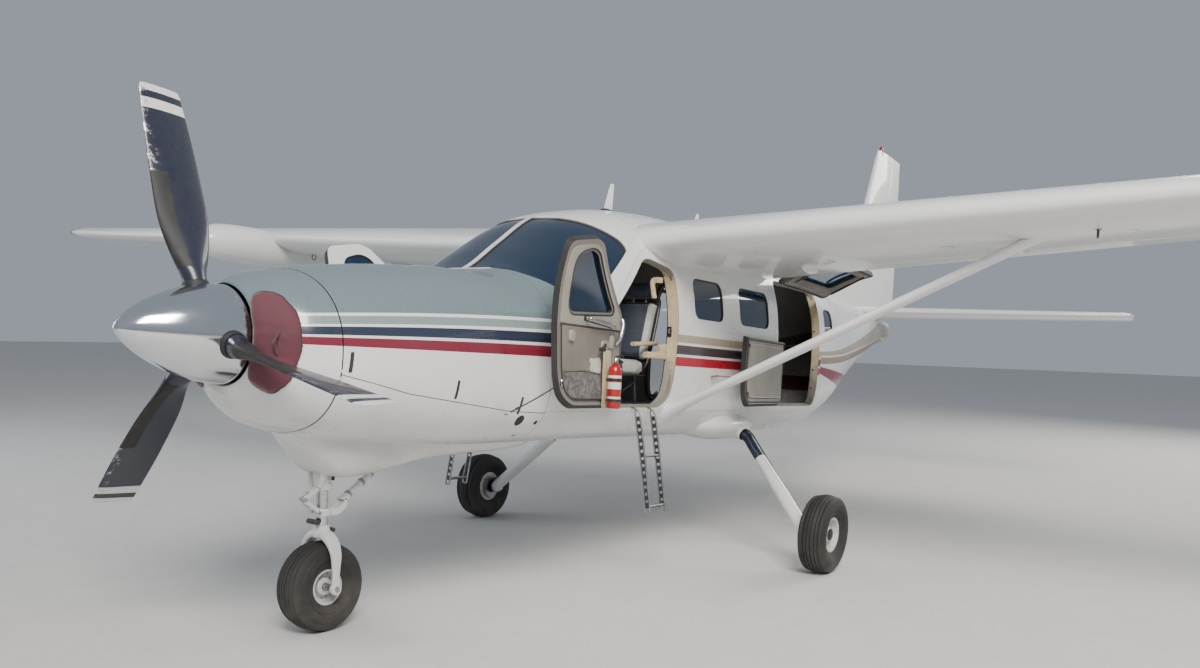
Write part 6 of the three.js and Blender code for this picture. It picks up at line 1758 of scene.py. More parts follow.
# Wings: riveted aluminium boxes round a front and a rear spar, painted white, each with a round-nosed
# flap and aileron in a cove behind the rear spar, and a moulded cap at the tip.
WING = np.array([(0.25, 3.602, 2.467, 2.06, 0.174, 0.02, 2.6), (3.4, 3.703, 2.627, 1.73, 0.155, 0.02, 1.8),
                 (7.7, 3.841, 2.845, 1.24, 0.12, 0.02, 0.2), (7.88, 3.88, 2.858, 1.12, 0.10, 0.02, 0.0),
                 (7.935, 3.99, 2.866, 0.88, 0.05, 0.02, 0.0)])
FLAP, AILERON = (1.0, 5.2, 0.745), (5.23, 7.64, 0.755)
wing_white = livery("wing_white", 0.30, 0.3, striped=False)
beaded_white = livery("beaded_white", 0.32, 0.3, striped=False, beads=0.12)


def foil_row(table, span):
    """A lifting surface's row at a place along its span."""
    return np.array([np.interp(span, table[:, 0], column) for column in table.T])


def foil_line(row, u, above):
    """Points (aft, up) on one side of an airfoil, at the parts u of its chord."""
    _, lead, height, chord, thickness, camber, incidence = row
    tilt = math.radians(incidence)
    half = 5 * thickness * (0.2969 * np.sqrt(u) - 0.126 * u - 0.3516 * u**2 + 0.2843 * u**3 - 0.1015 * u**4)
    up = (4 * camber * u * (1 - u) + (half if above else -half)) * chord + (0.002 if above else -0.002)
    along = u * chord
    return np.stack([lead + along * math.cos(tilt) + up * math.sin(tilt),
                     height - along * math.sin(tilt) + up * math.cos(tilt)], axis=1)


def foil_spot(row, u, above=False):
    """One point (aft, up) on a side of an airfoil."""
    return foil_line(row, np.array([u]), above)[0]


def hinge_at(table, span, surface):
    """The centre (aft, up) and radius of a control surface's nose, straight between its two ends."""
    ends = []
    for end in surface[:2]:
        top, low = [foil_spot(foil_row(table, end), surface[2], above) for above in (True, False)]
        ends.append([*(top + low) / 2, math.dist(top, low) / 2])
    share = (span - surface[0]) / (surface[1] - surface[0])
    return np.array(ends[0]) + (np.array(ends[1]) - ends[0]) * share


COVE_GAP = 0.004
FOIL_POINTS = 22
NOSE_POINTS = 12


def foil_ring(row, hinge, part):
    """One closed outline (aft, up) of a lifting surface: all of it, its fixed part or its swinging part."""
    y, z, radius = hinge
    lead, chord = row[1], row[3]
    fixed_reach = math.sqrt((radius + COVE_GAP)**2 - radius**2)
    lip = (y - fixed_reach - lead) / chord
    if part == "moving":
        over = np.linspace((y - lead) / chord, 1, FOIL_POINTS)
        round_nose = np.linspace(-math.pi / 2, -1.5 * math.pi, NOSE_POINTS + 2)[1:-1]
        nose = np.stack([y + radius * np.cos(round_nose), z + radius * np.sin(round_nose)], axis=1)
        return np.concatenate([foil_line(row, over, True), foil_line(row, over[::-1], False), nose])
    u = lip * (1 - np.cos(np.linspace(0, math.pi, FOIL_POINTS))) / 2
    top, low = foil_line(row, u[::-1], True), foil_line(row, u[1:], False)
    if part == "fixed":
        a, b = low[-1] - (y, z), top[0] - (y, z)
        first, last = math.atan2(a[1], a[0]), math.atan2(b[1], b[0])
        turn = np.linspace(first, last - (2 * math.pi if last > first else 0), NOSE_POINTS + 2)[1:-1]
        rear = np.stack([y + (radius + COVE_GAP) * np.cos(turn), z + (radius + COVE_GAP) * np.sin(turn)],
                        axis=1)
    else:
        aft = np.linspace(lip, 1, NOSE_POINTS // 2 + 1)[1:]
        rear = np.concatenate([foil_line(row, aft, False), foil_line(row, aft[::-1], True)])
    return np.concatenate([top, low, rear])


def spanwise(ring, x, side=1):
    """An outline (aft, up) set at a place along the span."""
    return np.stack([np.full(len(ring), side * x) if np.isscalar(x) else side * x, ring[:, 0], ring[:, 1]],
                    axis=1)


def reach_of_skin(y, z):
    """How far out the cabin's skin stands beside a point."""
    crown = station_at(np.asarray(y))[:, 0]
    return skin(y, t_at(y, np.minimum(z, crown - 0.03)))[:, 0]


for side, name in SIDES:
    bays = [(0.25, None), (FLAP[0] - 0.005, None), (FLAP[0] - 0.005, FLAP), (2.2, FLAP), (3.4, FLAP),
            (4.3, FLAP),
            (5.215, FLAP), (5.215, AILERON), (6.4, AILERON), (AILERON[1] + 0.005, AILERON),
            (AILERON[1] + 0.005, None),
            (7.7, None), (7.80, None), (7.86, None), (7.905, None), (7.93, None), (7.935, None)]
    rings = []
    for span, bay in bays:
        row = foil_row(WING, span)
        if span > 7.7:
            lean = min(1, (span - 7.7) / 0.235)
            row[4] *= math.sqrt(max(0.04, 1 - lean**2))
        ring = foil_ring(row, hinge_at(WING, span, bay or (AILERON if span > 5.2 else FLAP)),
                         "fixed" if bay else "whole")
        if span == 0.25:
            reach = np.maximum(0.3, reach_of_skin(*ring.T) - 0.02)
            ring = np.array([foil_ring(foil_row(WING, x), hinge_at(WING, x, FLAP), "whole")[i] for i,
                             x in enumerate(reach)])
            rings.append(spanwise(ring, reach, side))
        else:
            rings.append(spanwise(ring, span, side))
    wing = Shape(wing_white)
    loft(wing, rings)
    wing.make(f"wing_box_{name}", "airframe", "airframe_white", [f"wing_{name}"])
    for piece, surface in (("flap", FLAP), ("aileron", AILERON)):
        swung = Shape(beaded_white)
        loft(swung, [spanwise(foil_ring(foil_row(WING, x), hinge_at(WING, x, surface), "moving"), x, side)
                     for x in np.linspace(surface[0] + 0.002, surface[1] - 0.002, 9)])
        swung.make(f"{piece}_skin_{name}", f"{piece}_{name}", "airframe_white", [f"{piece}_{name}"])

# Wing fittings: streamlined struts of drawn tube with a cuff at each end, small fairings over the
# hinge brackets, and the weather radar's moulded pod on the right wing.
STRUT_FOOT, STRUT_TOP = np.array((0.770, 3.945, 1.215)), np.array((3.430, 4.330, 2.600))
STRUT_CHORD, STRUT_DEPTH = 0.190, 0.074


def teardrop():
    """A streamlined section one long (aft) and one deep (up), nose first."""
    u = (1 - np.cos(np.linspace(0, math.pi, 15))) / 2
    half = (np.sqrt(u) * (1 - u) + 0.12 * np.sqrt(u * (1 - u))) / 0.89
    return np.concatenate([np.stack([u - 0.5, half], axis=1), np.stack([u - 0.5, -half], axis=1)[-2:0:-1]])


for side, name in SIDES:
    strut = Shape(wing_white)
    rings = []
    for share, chord, depth in ((-0.01, 1.5, 1.9), (0.012, 1.42, 1.7), (0.035, 1.22, 1.3),
                                (0.07, 1.06, 1.08), (0.11, 1, 1),
                                (0.5, 1, 1), (0.92, 1, 1), (0.95, 1.08, 1.1), (0.975, 1.25, 1.35),
                                (1.0, 1.5, 1.8)):
        middle = STRUT_FOOT + (STRUT_TOP - STRUT_FOOT) * share
        section = teardrop() * (STRUT_CHORD * chord, STRUT_DEPTH * depth)
        rings.append(np.stack([np.full(len(section), middle[0] * side), middle[1] + section[:, 0],
                               middle[2] + section[:, 1]], axis=1))
    loft(strut, rings)
    strut.make(f"strut_tube_{name}", "airframe", "airframe_white", [f"strut_{name}"])
    fairings = Shape(wing_white)
    for span, length, width, drop in ((1.45, 0.34, 0.05, 0.055), (3.05, 0.34, 0.05, 0.055),
                                      (4.75, 0.30, 0.045, 0.05),
                                      (5.75, 0.24, 0.035, 0.035), (7.1, 0.24, 0.035, 0.035)):
        surface = FLAP if span < 5.2 else AILERON
        rear = hinge_at(WING, span, surface)[0] - 0.035
        rings = []
        for share in (0.0, 0.08, 0.25, 0.5, 0.75, 0.93, 1.0):
            swell = math.sqrt(max(0.0004, 1 - (2 * share - 1)**2))
            y = rear - length * (1 - share)
            row = foil_row(WING, span)
            low = foil_spot(row, (y - row[1]) / row[3])[1]
            turn = turn_angles(16)
            rings.append(np.stack([side * span + width / 2 * swell * np.cos(turn), np.full(16, y),
                                   low + 0.01 + (drop * swell) * np.minimum(0.2, np.sin(turn))], axis=1))
        loft(fairings, rings)
    fairings.make(f"hinge_fairings_{name}", "airframe", "airframe_white")

POD_X, POD_Z, POD_RADIUS, POD_SEAM_Y = -3.92, 2.545, 0.1778, 3.53
POD_PROFILE = [(0, 2.99), (0.06, 3.008), (0.115, 3.065), (0.16, 3.18), (0.178, 3.39), (0.178, 3.79),
               (0.12, 4.35), (0.0, 4.70)]
pod = Shape(wing_white, bare_steel, rubber_seal)
pod_line = curve_through([(r, 0, y) for r, y in POD_PROFILE], 6)
lathe(pod, [(max(0.0, p[0]), p[2]) for p in pod_line], Matrix.Translation((POD_X, 0, POD_Z)) @ AFT)
turns = turn_angles(48)
seam = np.stack([POD_X + POD_RADIUS * np.cos(turns), np.full(48, POD_SEAM_Y),
                 POD_Z + POD_RADIUS * np.sin(turns)], axis=1)
pipe(pod, seam, 0.0032, 8, 2, 1, loop=True)
pipe(pod, [(POD_X, 2.925, POD_Z), (POD_X, 3.02, POD_Z)], 0.008, 12, 2, 1)
pod.make("weather_radar_pod", "airframe", "airframe_white", ["radar_pod"])

# Tail: a swept fin with a long dorsal fillet, a fixed tailplane, and a rudder and an elevator whose
# thin skins are stiffened with pressed beads. All of it is riveted aluminium, painted white.
FIN = np.array([(2.38, 9.05, 0, 2.20, 0.062, 0, 0), (2.90, 9.48, 0, 1.75, 0.07, 0, 0),
                (4.38, 10.12, 0, 0.96, 0.08, 0, 0),
                (4.52, 10.185, 0, 0.88, 0.05, 0, 0)], float)
TAILPLANE = np.array([(0, 9.735, 2.44, 1.32, 0.10, 0, 0), (3.06, 10.10, 2.44, 0.90, 0.09, 0, 0),
                      (3.125, 10.15, 2.44, 0.85, 0.075, 0, 0)], float)
RUDDER_LOW, RUDDER_HIGH = (10.600, 2.5, 0.066), (10.700, 4.545, 0.034)
ELEVATOR_Y, ELEVATOR_Z = 10.545, 2.44


def rudder_hinge(z):
    """The rudder's hinge at a height: (aft, aside, nose radius)."""
    share = (z - RUDDER_LOW[1]) / (RUDDER_HIGH[1] - RUDDER_LOW[1])
    y = RUDDER_LOW[0] + (RUDDER_HIGH[0] - RUDDER_LOW[0]) * share
    row = foil_row(FIN, z)
    return y, 0.0, foil_spot(row, (y - row[1]) / row[3], True)[1]


def elevator_hinge(x):
    """The elevator's hinge at a place along the span: (aft, up, nose radius)."""
    row = foil_row(TAILPLANE, x)
    return ELEVATOR_Y, ELEVATOR_Z, foil_spot(row, (ELEVATOR_Y - row[1]) / row[3], True)[1] - ELEVATOR_Z


def upright(ring, z):
    """An outline (aft, aside) set at a height on the fin."""
    return np.stack([ring[:, 1], ring[:, 0], np.full(len(ring), z)], axis=1)


fin = Shape(wing_white)
loft(fin, [upright(foil_ring(foil_row(FIN, z), rudder_hinge(z), "fixed"), z)
           for z in (2.38, 2.6, 2.9, 3.3, 3.8, 4.2, 4.38, 4.45, 4.50, 4.52)])
dorsal = curve_through([(0, 7.56, 2.64), (0, 8.0, 2.70), (0, 8.5, 2.765), (0, 9.0, 2.885), (0, 9.3, 3.0),
                        (0, 9.62, 3.05)], 6)
rings = []
for _, y, z in dorsal:
    half = 0.008 + 0.03 * min(1, (y - 7.4) / 1.6)
    foot = station_at(np.array([y]))[0][0] - 0.05
    turn = np.linspace(math.pi, 0, 9)
    ridge = [(half * math.cos(a), y, z - half + half * math.sin(a)) for a in turn]
    rings.append(np.array([(-half * 1.7, y, foot), *ridge, (half * 1.7, y, foot)]))
loft(fin, rings)
fin.make("fin_skin", "airframe", "airframe_white", ["fin"])
rudder = Shape(beaded_white)
loft(rudder, [upright(foil_ring(foil_row(FIN, z), rudder_hinge(z), "moving"), z)
              for z in (2.508, 2.7, 2.9, 3.4, 3.9, 4.38, 4.45, 4.50, 4.515)])
rudder.make("rudder_skin", "rudder", "airframe_white", ["rudder"])
tailplane, elevator = Shape(wing_white), Shape(beaded_white)
for side in (1, -1):
    loft(tailplane, [spanwise(foil_ring(foil_row(TAILPLANE, x), elevator_hinge(x), "fixed"), x, side)
                     for x in (0.0, 1.0, 2.0, 3.06, 3.09, 3.11, 3.124)])
    rings = []
    for x in (0.132, 0.4, 1.0, 2.0, 3.0, 3.048):
        ring = foil_ring(foil_row(TAILPLANE, x), elevator_hinge(x), "moving")
        rings.append(spanwise(ring, np.maximum(x, 0.132 + (ring[:, 0] - ELEVATOR_Y - 0.044) * 0.36), side))
    loft(elevator, rings)
tailplane.make("tailplane_skin", "airframe", "airframe_white", ["stabiliser"])
pipe(elevator, [(x, ELEVATOR_Y, ELEVATOR_Z) for x in (-0.15, 0, 0.15)], 0.024, 16, 0, 1)
elevator.make("elevator_skin", "elevator", "airframe_white", ["elevator"])

# Rivets hold every skin to its ribs, spars, frames and stringers: rows of domed heads on the wings and
# tail, and down the frames and stringers of the cabin and tail cone, clear of the openings.
SPAR_LINES, RIB_STEP = (0.045, 0.22, 0.46, 0.70), 0.43


def surface_rows(table, low, high, side, lines, ribs, last=0.715):
    """Rows on both sides of a lifting surface: along its spars, and along its ribs."""
    rows = []
    for above, outward in ((True, 1), (False, -1)):
        for u in lines:
            spans = np.linspace(low, high, 40)
            points = [foil_spot(foil_row(table, x), u, above) for x in spans]
            rows.append((np.array([(side * x, *p) for x, p in zip(spans, points)]), [(0, 0, outward)] * 40))
        for x in ribs:
            line = foil_line(foil_row(table, x), np.linspace(0.05, last, 30), above)
            rows.append((np.array([(side * x, *p) for p in line]), [(0, 0, outward)] * 30))
    return rows


for side, name in SIDES:
    rows = surface_rows(WING, 0.95, 7.66, side, SPAR_LINES, np.arange(1.05, 7.7, RIB_STEP))
    fasten(f"wing_rivets_{name}", "airframe", rows, rivet, 0.055, wing_white)
rows = []
for side in (1, -1):
    rows += surface_rows(TAILPLANE, 0.15, 3.04, side, (0.06, 0.30, 0.54), np.arange(0.30, 3.05, 0.39), 0.55)
for z in np.arange(2.62, 4.40, 0.26):
    for out in (1, -1):
        row = foil_row(FIN, z)
        reach = min(0.97, (rudder_hinge(z)[0] - row[1]) / row[3] - 0.05)
        line = foil_line(row, np.linspace(0.06, reach, 30), out > 0)
        rows.append((upright(line, z), [(out, 0, 0)] * 30))
fasten("tail_rivets", "airframe", rows, rivet, 0.05, wing_white)


def beside_openings(line, side):
    """The stretches of a side-view line that lie clear of every door and window."""
    hatch = HATCHES[side]
    closed = [grown(o, 0.035) for o in (CREW_DOOR, hatch, *WINDOWS, AFT_WINDOW,
                                        SCREEN_EDGE + [(3.0, 2.6), (2.40, 2.30)])]
    points = np.array(divided(line, 0.02)[:-1 if len(line) > 2 else len(divided(line, 0.02)) // 2])
    free = ~np.any([inside(points, loop) for loop in closed], axis=0)
    cuts = np.flatnonzero(np.diff(free.astype(int))) + 1
    return [run for run,
            kept in zip(np.split(points, cuts), np.split(free, cuts)) if kept[0] and len(run) > 3]


rows = []
for side in (1, -1):
    frames = [(2.44, 1.24, 1.88), (2.72, 1.24, 1.92), (3.975, 1.24, 2.42), (4.10, 1.24, 2.42),
              (4.80, 1.24, 2.42), (5.66, 1.24, 2.42),
              (5.69, 1.24, 2.42), (6.885, 1.24, 2.42), (7.34, 1.24, 2.42)]
    lines = [[(y, low), (y, high)] for y, low, high in frames]
    lines += [[(2.44, z), (7.44, z)] for z in (1.245, 1.445, 1.87, 2.405)]
    for line in lines:
        for run in beside_openings(line, side):
            rows.append(skin_row(run[:, 0], t_at(*run.T, side)))
    crown = np.linspace(3.68, 7.44, 80)
    rows += [skin_row(crown, t_at(crown, 2.446, side)), skin_row(crown, t_beside_crown(crown, 0.30, side))]
    belly = np.linspace(2.46, 7.44, 90)
    rows += [skin_row(belly, t_at(belly, 1.20, side)),
             skin_row(belly, np.full(90, -1.25 if side > 0 else 1.25 - HALF_TURN))]
    tail_ys = np.linspace(7.54, 10.9, 70)
    rows += [skin_row(tail_ys, np.full(70, t if side > 0 else HALF_TURN - t)) for t in (0.75, 0.05, -0.85)]
for y in (4.10, 4.80, 5.66, 6.885, 7.44):
    rows.append(ring_row(y, 0.95, HALF_TURN - 0.95))
    rows.append(ring_row(y, -HALF_TURN + 0.75, -0.75))
for y in (7.52, 7.95, 8.40, 8.85, 9.30, 9.75, 10.20, 10.60):
    rows.append(ring_row(y))
fasten("cabin_and_tail_rivets", "airframe", rows, rivet, 0.038)

# Small fittings on the wings and tail: navigation lights at the tips, a tail light, access covers under
# the wings with their screws, tie-down rings, static wicks, and a pitot tube.
trimmings = Shape(wing_white, clear_lens, red_lens, green_lens, dark_steel, bare_steel, rubber_seal)
for side in (1, -1):
    row = foil_row(WING, 7.86)
    lamp = [(side * (7.862 + 0.045 * math.sin(a)), row[1] + 0.055 + 0.075 * (1 - math.cos(a)) * 0.3,
             row[2]) for a in (0.2, 0.9)]
    bar(trimmings, [lamp[0], lamp[1]], 0.060, 0.020, (0, 1, 0), 2 if side > 0 else 3, power=0.8)
    for span, u in ((1.75, 0.42), (2.65, 0.34), (3.75, 0.34), (4.65, 0.34), (5.6, 0.32), (6.6, 0.32)):
        spot = foil_spot(foil_row(WING, span), u)
        lathe(trimmings, [(0, -0.002), (0.072, -0.002), (0.074, 0.002), (0.074, 0.010), (0, 0.010)],
              Matrix.Translation((side * span, spot[0], spot[1])), 36)
        for k in range(8):
            a = k * math.pi / 4
            lathe(trimmings, [(0, -0.0035), (0.004, -0.0035), (0.0045, 0.0), (0, 0.0)],
                  Matrix.Translation((side * span + 0.062 * math.cos(a), spot[0] + 0.062 * math.sin(a),
                                      spot[1])), 8, 5)
    spot = foil_spot(foil_row(WING, 3.62), 0.24)
    ring = [(side * 3.62, spot[0] + 0.024 * math.sin(a),
             spot[1] - 0.024 + 0.028 * math.cos(a)) for a in turn_angles(20)]
    pipe(trimmings, ring, 0.0045, 8, 4, 1, loop=True)
    bar(trimmings, [(side * 3.62, spot[0] - 0.02, spot[1]), (side * 3.62, spot[0] + 0.02, spot[1])], 0.016,
        0.006, (1, 0, 0), 5)
    for span in (5.6, 6.2, 6.8, 7.4):
        edge = foil_spot(foil_row(WING, span), 0.999, True)
        if span > AILERON[1]:
            pipe(trimmings, [(side * span, edge[0] - 0.03, edge[1]),
                             (side * span, edge[0] + 0.07, edge[1] - 0.01)], 0.0022, 6, 4, 1)
spot = foil_spot(foil_row(WING, 5.95), 0.10)
pipe(trimmings, [(5.95, spot[0], spot[1] + 0.01), (5.95, spot[0] - 0.01, spot[1] - 0.09),
                 (5.95, spot[0] - 0.06, spot[1] - 0.12),
                 (5.95, spot[0] - 0.30, spot[1] - 0.12)], [0.016, 0.013, 0.011, 0.009], 14, 5, 6)
lathe(trimmings, [(0, -0.01), (0.030, -0.01), (0.030, 0.006), (0.024, 0.012), (0.022, 0.030),
                  (0.012, 0.040), (0, 0.042)],
      Matrix.Translation((0, 11.035, 2.25)) @ AFT, 24, 1)
trimmings.make("lights_covers_and_rings", "airframe", "airframe_white", crease=40)

# Main gear: one bent spring tube a side, dark blue-grey where it leaves its fairing, as painted shade
# under the belly, and sleeved in white enamel below, with an axle block, a brake caliper and a hydraulic line.
gear_white = livery("gear_white", 0.32, 0.3, striped=False)
# The dark blue-grey of the upper spring is painted shade under the belly.
shade_dark_leg_steel = finish_of("shade_dark_spring_steel", (0.035, 0.050, 0.080), (0.075, 0.090, 0.12), 9.0, 0.26,
                        Metallic=0.95)
SPRING = [(0.60, 5.08, 1.04), (0.76, 5.06, 1.062), (0.92, 5.02, 1.01), (1.06, 4.96, 0.88),
          (1.56, 4.77, 0.38), (1.612, 4.75, 0.313)]
MAIN_WHEEL = (1.78, 4.75, 0.313)
for side, name in SIDES:
    spring = [(side * x, y, z) for x, y, z in SPRING]
    line = curve_through(spring, 10)
    leg = Shape(gear_white, shade_dark_leg_steel, dark_steel, rubber_seal)
    pipe(leg, spring, 0.0435, 24, 1, 10)
    pipe(leg, line[31:], [0.046, 0.054, 0.053, 0.051, 0.048], 24, 0, 1)
    x, y, z = side * MAIN_WHEEL[0], *MAIN_WHEEL[1:]
    bar(leg, [(side * 1.575, y - 0.004, z + 0.015), (side * 1.628, y, z)], 0.056, 0.052, (0, 1, 0.2), 0,
        power=0.6)
    pipe(leg, [(side * 1.60, y, z), (x + side * 0.052, y, z)], 0.0255, 24, 2, 1)
    bar(leg, [(side * 1.648, y + 0.050, z + 0.075), (side * 1.648, y + 0.085, z + 0.012),
              (side * 1.648, y + 0.078, z - 0.05)],
        0.026, 0.027, (1, 0, 0), 2, 6)
    bar(leg, [(side * 1.63, y, z), (side * 1.634, y + 0.078, z + 0.022)], 0.055, 0.006, (0, -0.2, 1), 1)
    hose = [p + (side * 0.02, 0.036, 0.036) for p in line[2:48:5]]
    pipe(leg, hose + [np.array((side * 1.60, y + 0.085, z + 0.035)),
                      np.array((side * 1.628, y + 0.09, z + 0.02))], 0.0055, 8, 3, 4)
    leg.make(f"spring_leg_{name}", "airframe", "gear_paint", [f"main_leg_{name}"])
    blister = Shape(gear_white, rubber_seal)
    rings = []
    for share in np.linspace(0, 1, 19):
        swell = math.sin(math.pi * share ** 0.8) ** 0.65 + 0.01
        turn = turn_angles(32)
        rings.append(np.stack([side * (0.60 + 0.265 * swell * np.cos(turn)),
                               np.full(32, 4.50 + 1.15 * share),
                               1.09 + 0.125 * swell * np.sin(turn)], axis=1))
    loft(blister, rings)
    collar = curve_through([line[10], line[14], line[18]], 6)
    pipe(blister, collar, [0.085, 0.064, 0.056], 28, 0, 1)
    pipe(blister, [collar[-1], collar[-1] + (collar[-1] - collar[-2]) * 0.3], 0.053, 24, 1, 1)
    blister.make(f"gear_fairing_{name}", "airframe", "airframe_white")

# Wheels: split hubs of cast alloy, bolted through their webs and painted white, in four-grooved
# tubeless tyres. The main ones have a steel brake disc on the inner side.
cast_white = finish_of("cast_alloy_enamel", (0.66, 0.66, 0.64), (0.52, 0.51, 0.49), 22.0, 0.40, 260, 0.0008)
tyre = Paint("tyre_rubber_compound")
above_ground = tyre.split(tyre.craft())[2]
scuff = tyre.noise(30.0, 8.0, 0.7)
dust = tyre.noise(5.0, 5.0, 0.6).above(0.5, 0.3) * (1 - above_ground.above(0.20, 0.35)) * 0.5 + scuff * 0.12
tyre.finish(Base_Color=tyre.mix((0.016, 0.016, 0.017), (0.12, 0.105, 0.088), dust),
            Roughness=scuff * 0.2 + 0.62,
            Normal=tyre.bump(scuff, distance=0.0012, strength=0.5))
GROOVES, GROOVE_WIDTH, GROOVE_DEPTH = (-0.40, -0.135, 0.135, 0.40), 0.0065, 0.0075


def tyre_section(outer, rim, half):
    """A tyre's section from its outboard bead over the grooved tread to its inboard bead."""
    wall_height = outer - rim
    flank = curve_through([(rim - 0.002, half * 0.60, 0), (rim + 0.010, half * 0.70, 0),
                           (rim + 0.35 * wall_height, half * 0.955, 0),
                           (rim + 0.56 * wall_height, half, 0),
                           (outer - 0.22 * wall_height, half * 0.925, 0),
                           (outer - 0.085 * wall_height, half * 0.76, 0), (outer - 0.020, half * 0.58, 0)],
                          5)[:, :2].tolist()
    for at in (9, 19):
        r, h = flank[at]
        flank[at:at + 1] = [[r, h], [r + 0.002, h + 0.0016], [r + 0.005, h + 0.0016],
                            [r + 0.007, h - 0.0002]]
    tread = []
    for place in sorted([*np.linspace(0.52, -0.52, 13), *GROOVES], reverse=True):
        crown = outer - 0.013 * (abs(place) / 0.52) ** 2
        if place in GROOVES:
            w = GROOVE_WIDTH / half / 2
            tread += [(crown, (place + w) * half), (crown - GROOVE_DEPTH, (place + w * 0.7) * half),
                      (crown - GROOVE_DEPTH, (place - w * 0.7) * half), (crown, (place - w) * half)]
        elif min(abs(place - g) for g in GROOVES) > 0.05:
            tread.append((crown, place * half))
    return flank + tread + [(r, -h) for r, h in flank[::-1]]


def wheel(name, body, centre, side, outer, rim, half, axle, both_faces, replaces):
    place = Matrix.Translation(centre) @ Matrix.Rotation(side * math.pi / 2, 4, "Y")
    rubber = Shape(tyre.material)
    lathe(rubber, tyre_section(outer, rim, half), place, 96)
    rubber.make(f"{name}_tyre_casing", body, "tyre_rubber", [replaces[0]], crease=40)
    face = [(rim + 0.005, 0.575), (rim + 0.009, 0.635), (rim + 0.004, 0.685), (rim - 0.007, 0.67),
            (rim - 0.011, 0.50),
            (rim - 0.014, 0.16), (rim - 0.022, 0.07), (axle + 0.052, 0.05), (axle + 0.034, 0.10),
            (axle + 0.029, 0.40),
            (axle + 0.022, 0.46), (axle + 0.0015, 0.46)]
    back = face if both_faces else face[:3] + [(rim - 0.010, 0.65), (rim - 0.018, 0.30),
                                               (rim - 0.030, 0.12), (axle + 0.05, 0.10),
                                               (axle + 0.03, 0.30), (axle + 0.0015, 0.30)]
    hub = Shape(cast_white, dark_steel, bare_steel)
    lathe(hub, [(r, z * half) for r, z in face] + [(r, -z * half) for r,
                                                   z in back[::-1]] + [(rim - 0.004, 0)], place, 72)
    piece = hub.make(f"{name}_split_hub", body, "wheel_paint", [replaces[1]])
    holes = Shape(bare_steel)
    web, opening = (axle + 0.045 + rim - 0.022) / 2, (rim - axle) * 0.175
    for i in range(6):
        turn = math.pi / 3 * (i + 0.5)
        at = place @ Matrix.Translation((web * math.cos(turn), web * math.sin(turn), 0))
        lathe(holes, [(0, -0.05), (opening, -0.05), (opening, 0.05), (0, 0.05)], at, 20)
    cut_with(piece, holes)
    rows = []
    for facing in ((1, -1) if both_faces else (1,)):
        turns = np.linspace(0, 2 * math.pi * 5 / 6, 61)
        level = 0.075 * half * facing
        points = np.stack([web * np.cos(turns), web * np.sin(turns), np.full(61, level)], axis=1)
        rows.append((moved(points, place), turned([(0, 0, facing)] * 61, place)))
    fasten(f"{name}_hub_bolts", body, rows, hex_head, web * math.pi / 3 * 0.99, bare_steel)
    return place


hex_head = fastener("hex_head", [(0.0072, -0.006), (0.0072, -0.002), (0.0062, -0.002), (0.0062, 0.0035),
                                 (0.0052, 0.0045),
                                 (0.0034, 0.0045), (0.0034, 0.0075), (0, 0.0078)], 6)
for side, name in SIDES:
    body, centre = f"main_wheel_{name}", (side * MAIN_WHEEL[0], *MAIN_WHEEL[1:])
    place = wheel(f"main_{name}", body, centre, side, 0.313, 0.133, 0.110, 0.027, False,
                  [f"main_{name}_tyre", f"main_{name}_rim"])
    fittings = Shape(dark_steel, bare_steel, cast_white)
    lathe(fittings, [(0.047, 0.052), (0.046, 0.060), (0.036, 0.0665), (0.012, 0.068), (0, 0.0685),
                     (0, 0.066), (0.034, 0.064),
                     (0.043, 0.057), (0.0435, 0.050)], place, 40)
    lathe(fittings, [(0.034, -0.060), (0.060, -0.060), (0.064, -0.095), (0.106, -0.095), (0.106, -0.107),
                     (0.064, -0.107),
                     (0.056, -0.104), (0.050, -0.070), (0.034, -0.070)], place, 72, 1)
    lathe(fittings, [(0.092, -0.050), (0.126, -0.070), (0.126, -0.076), (0.092, -0.078)], place, 72, 2)
    fittings.make(f"brake_disc_and_cap_{name}", body, "wheel_paint")
    turns = np.linspace(0, 2 * math.pi * 15 / 16, 91)
    ring = np.stack([0.116 * np.cos(turns), 0.116 * np.sin(turns), np.full(91, -0.076)], axis=1)
    rows = [(moved(ring, place), turned([(0, 0, -1)] * 91, place))]
    fasten(f"rim_bolts_{name}", body, rows, hex_head, 0.116 * math.pi / 8 * 0.99, bare_steel)

# Nose gear: a painted oleo barrel under the chin with a chromed piston, torque links ahead of it, a
# forked casting that carries the wheel, and a spring drag link that runs aft into the chin.
STEER_Y, NOSE_AXLE = 1.232, 0.12855
leg = Shape(gear_white, chrome, dark_steel, bare_steel)
upright_place = Matrix.Translation((0, STEER_Y, 0))
lathe(leg, [(0.040, 0.718), (0.050, 0.712), (0.058, 0.720), (0.058, 0.752), (0.052, 0.758), (0.052, 0.94),
            (0.040, 0.94)],
      upright_place, 48)
for out in (1, -1):
    bar(leg, [(out * 0.048, STEER_Y - 0.03, 0.90), (out * 0.060, STEER_Y - 0.045, 0.80),
              (out * 0.040, STEER_Y - 0.055, 0.735)], 0.016, 0.011,
        (0, 1, 0), 0, 6)
    pipe(leg, [(out * 0.066, STEER_Y + 0.03, 0.86), (out * 0.070, STEER_Y + 0.02, 0.775)], 0.010, 12, 2, 1)
pipe(leg, [(0, 1.405, 0.654), (0, 1.50, 0.716), (0, 1.74, 0.872)], [0.0195, 0.021, 0.022], 20, 0, 1)
for y, z in ((1.425, 0.667), (1.53, 0.735), (1.60, 0.781)):
    pipe(leg, [(0, y, z), (0, y + 0.016, z + 0.0104)], 0.0255, 20, 3, 1)
bar(leg, [(0, 1.380, 0.640), (0, 1.425, 0.668)], 0.032, 0.016, (1, 0, 0), 0)
pipe(leg, [(-0.036, 1.388, 0.643), (0.036, 1.388, 0.643)], 0.0095, 12, 2, 1)
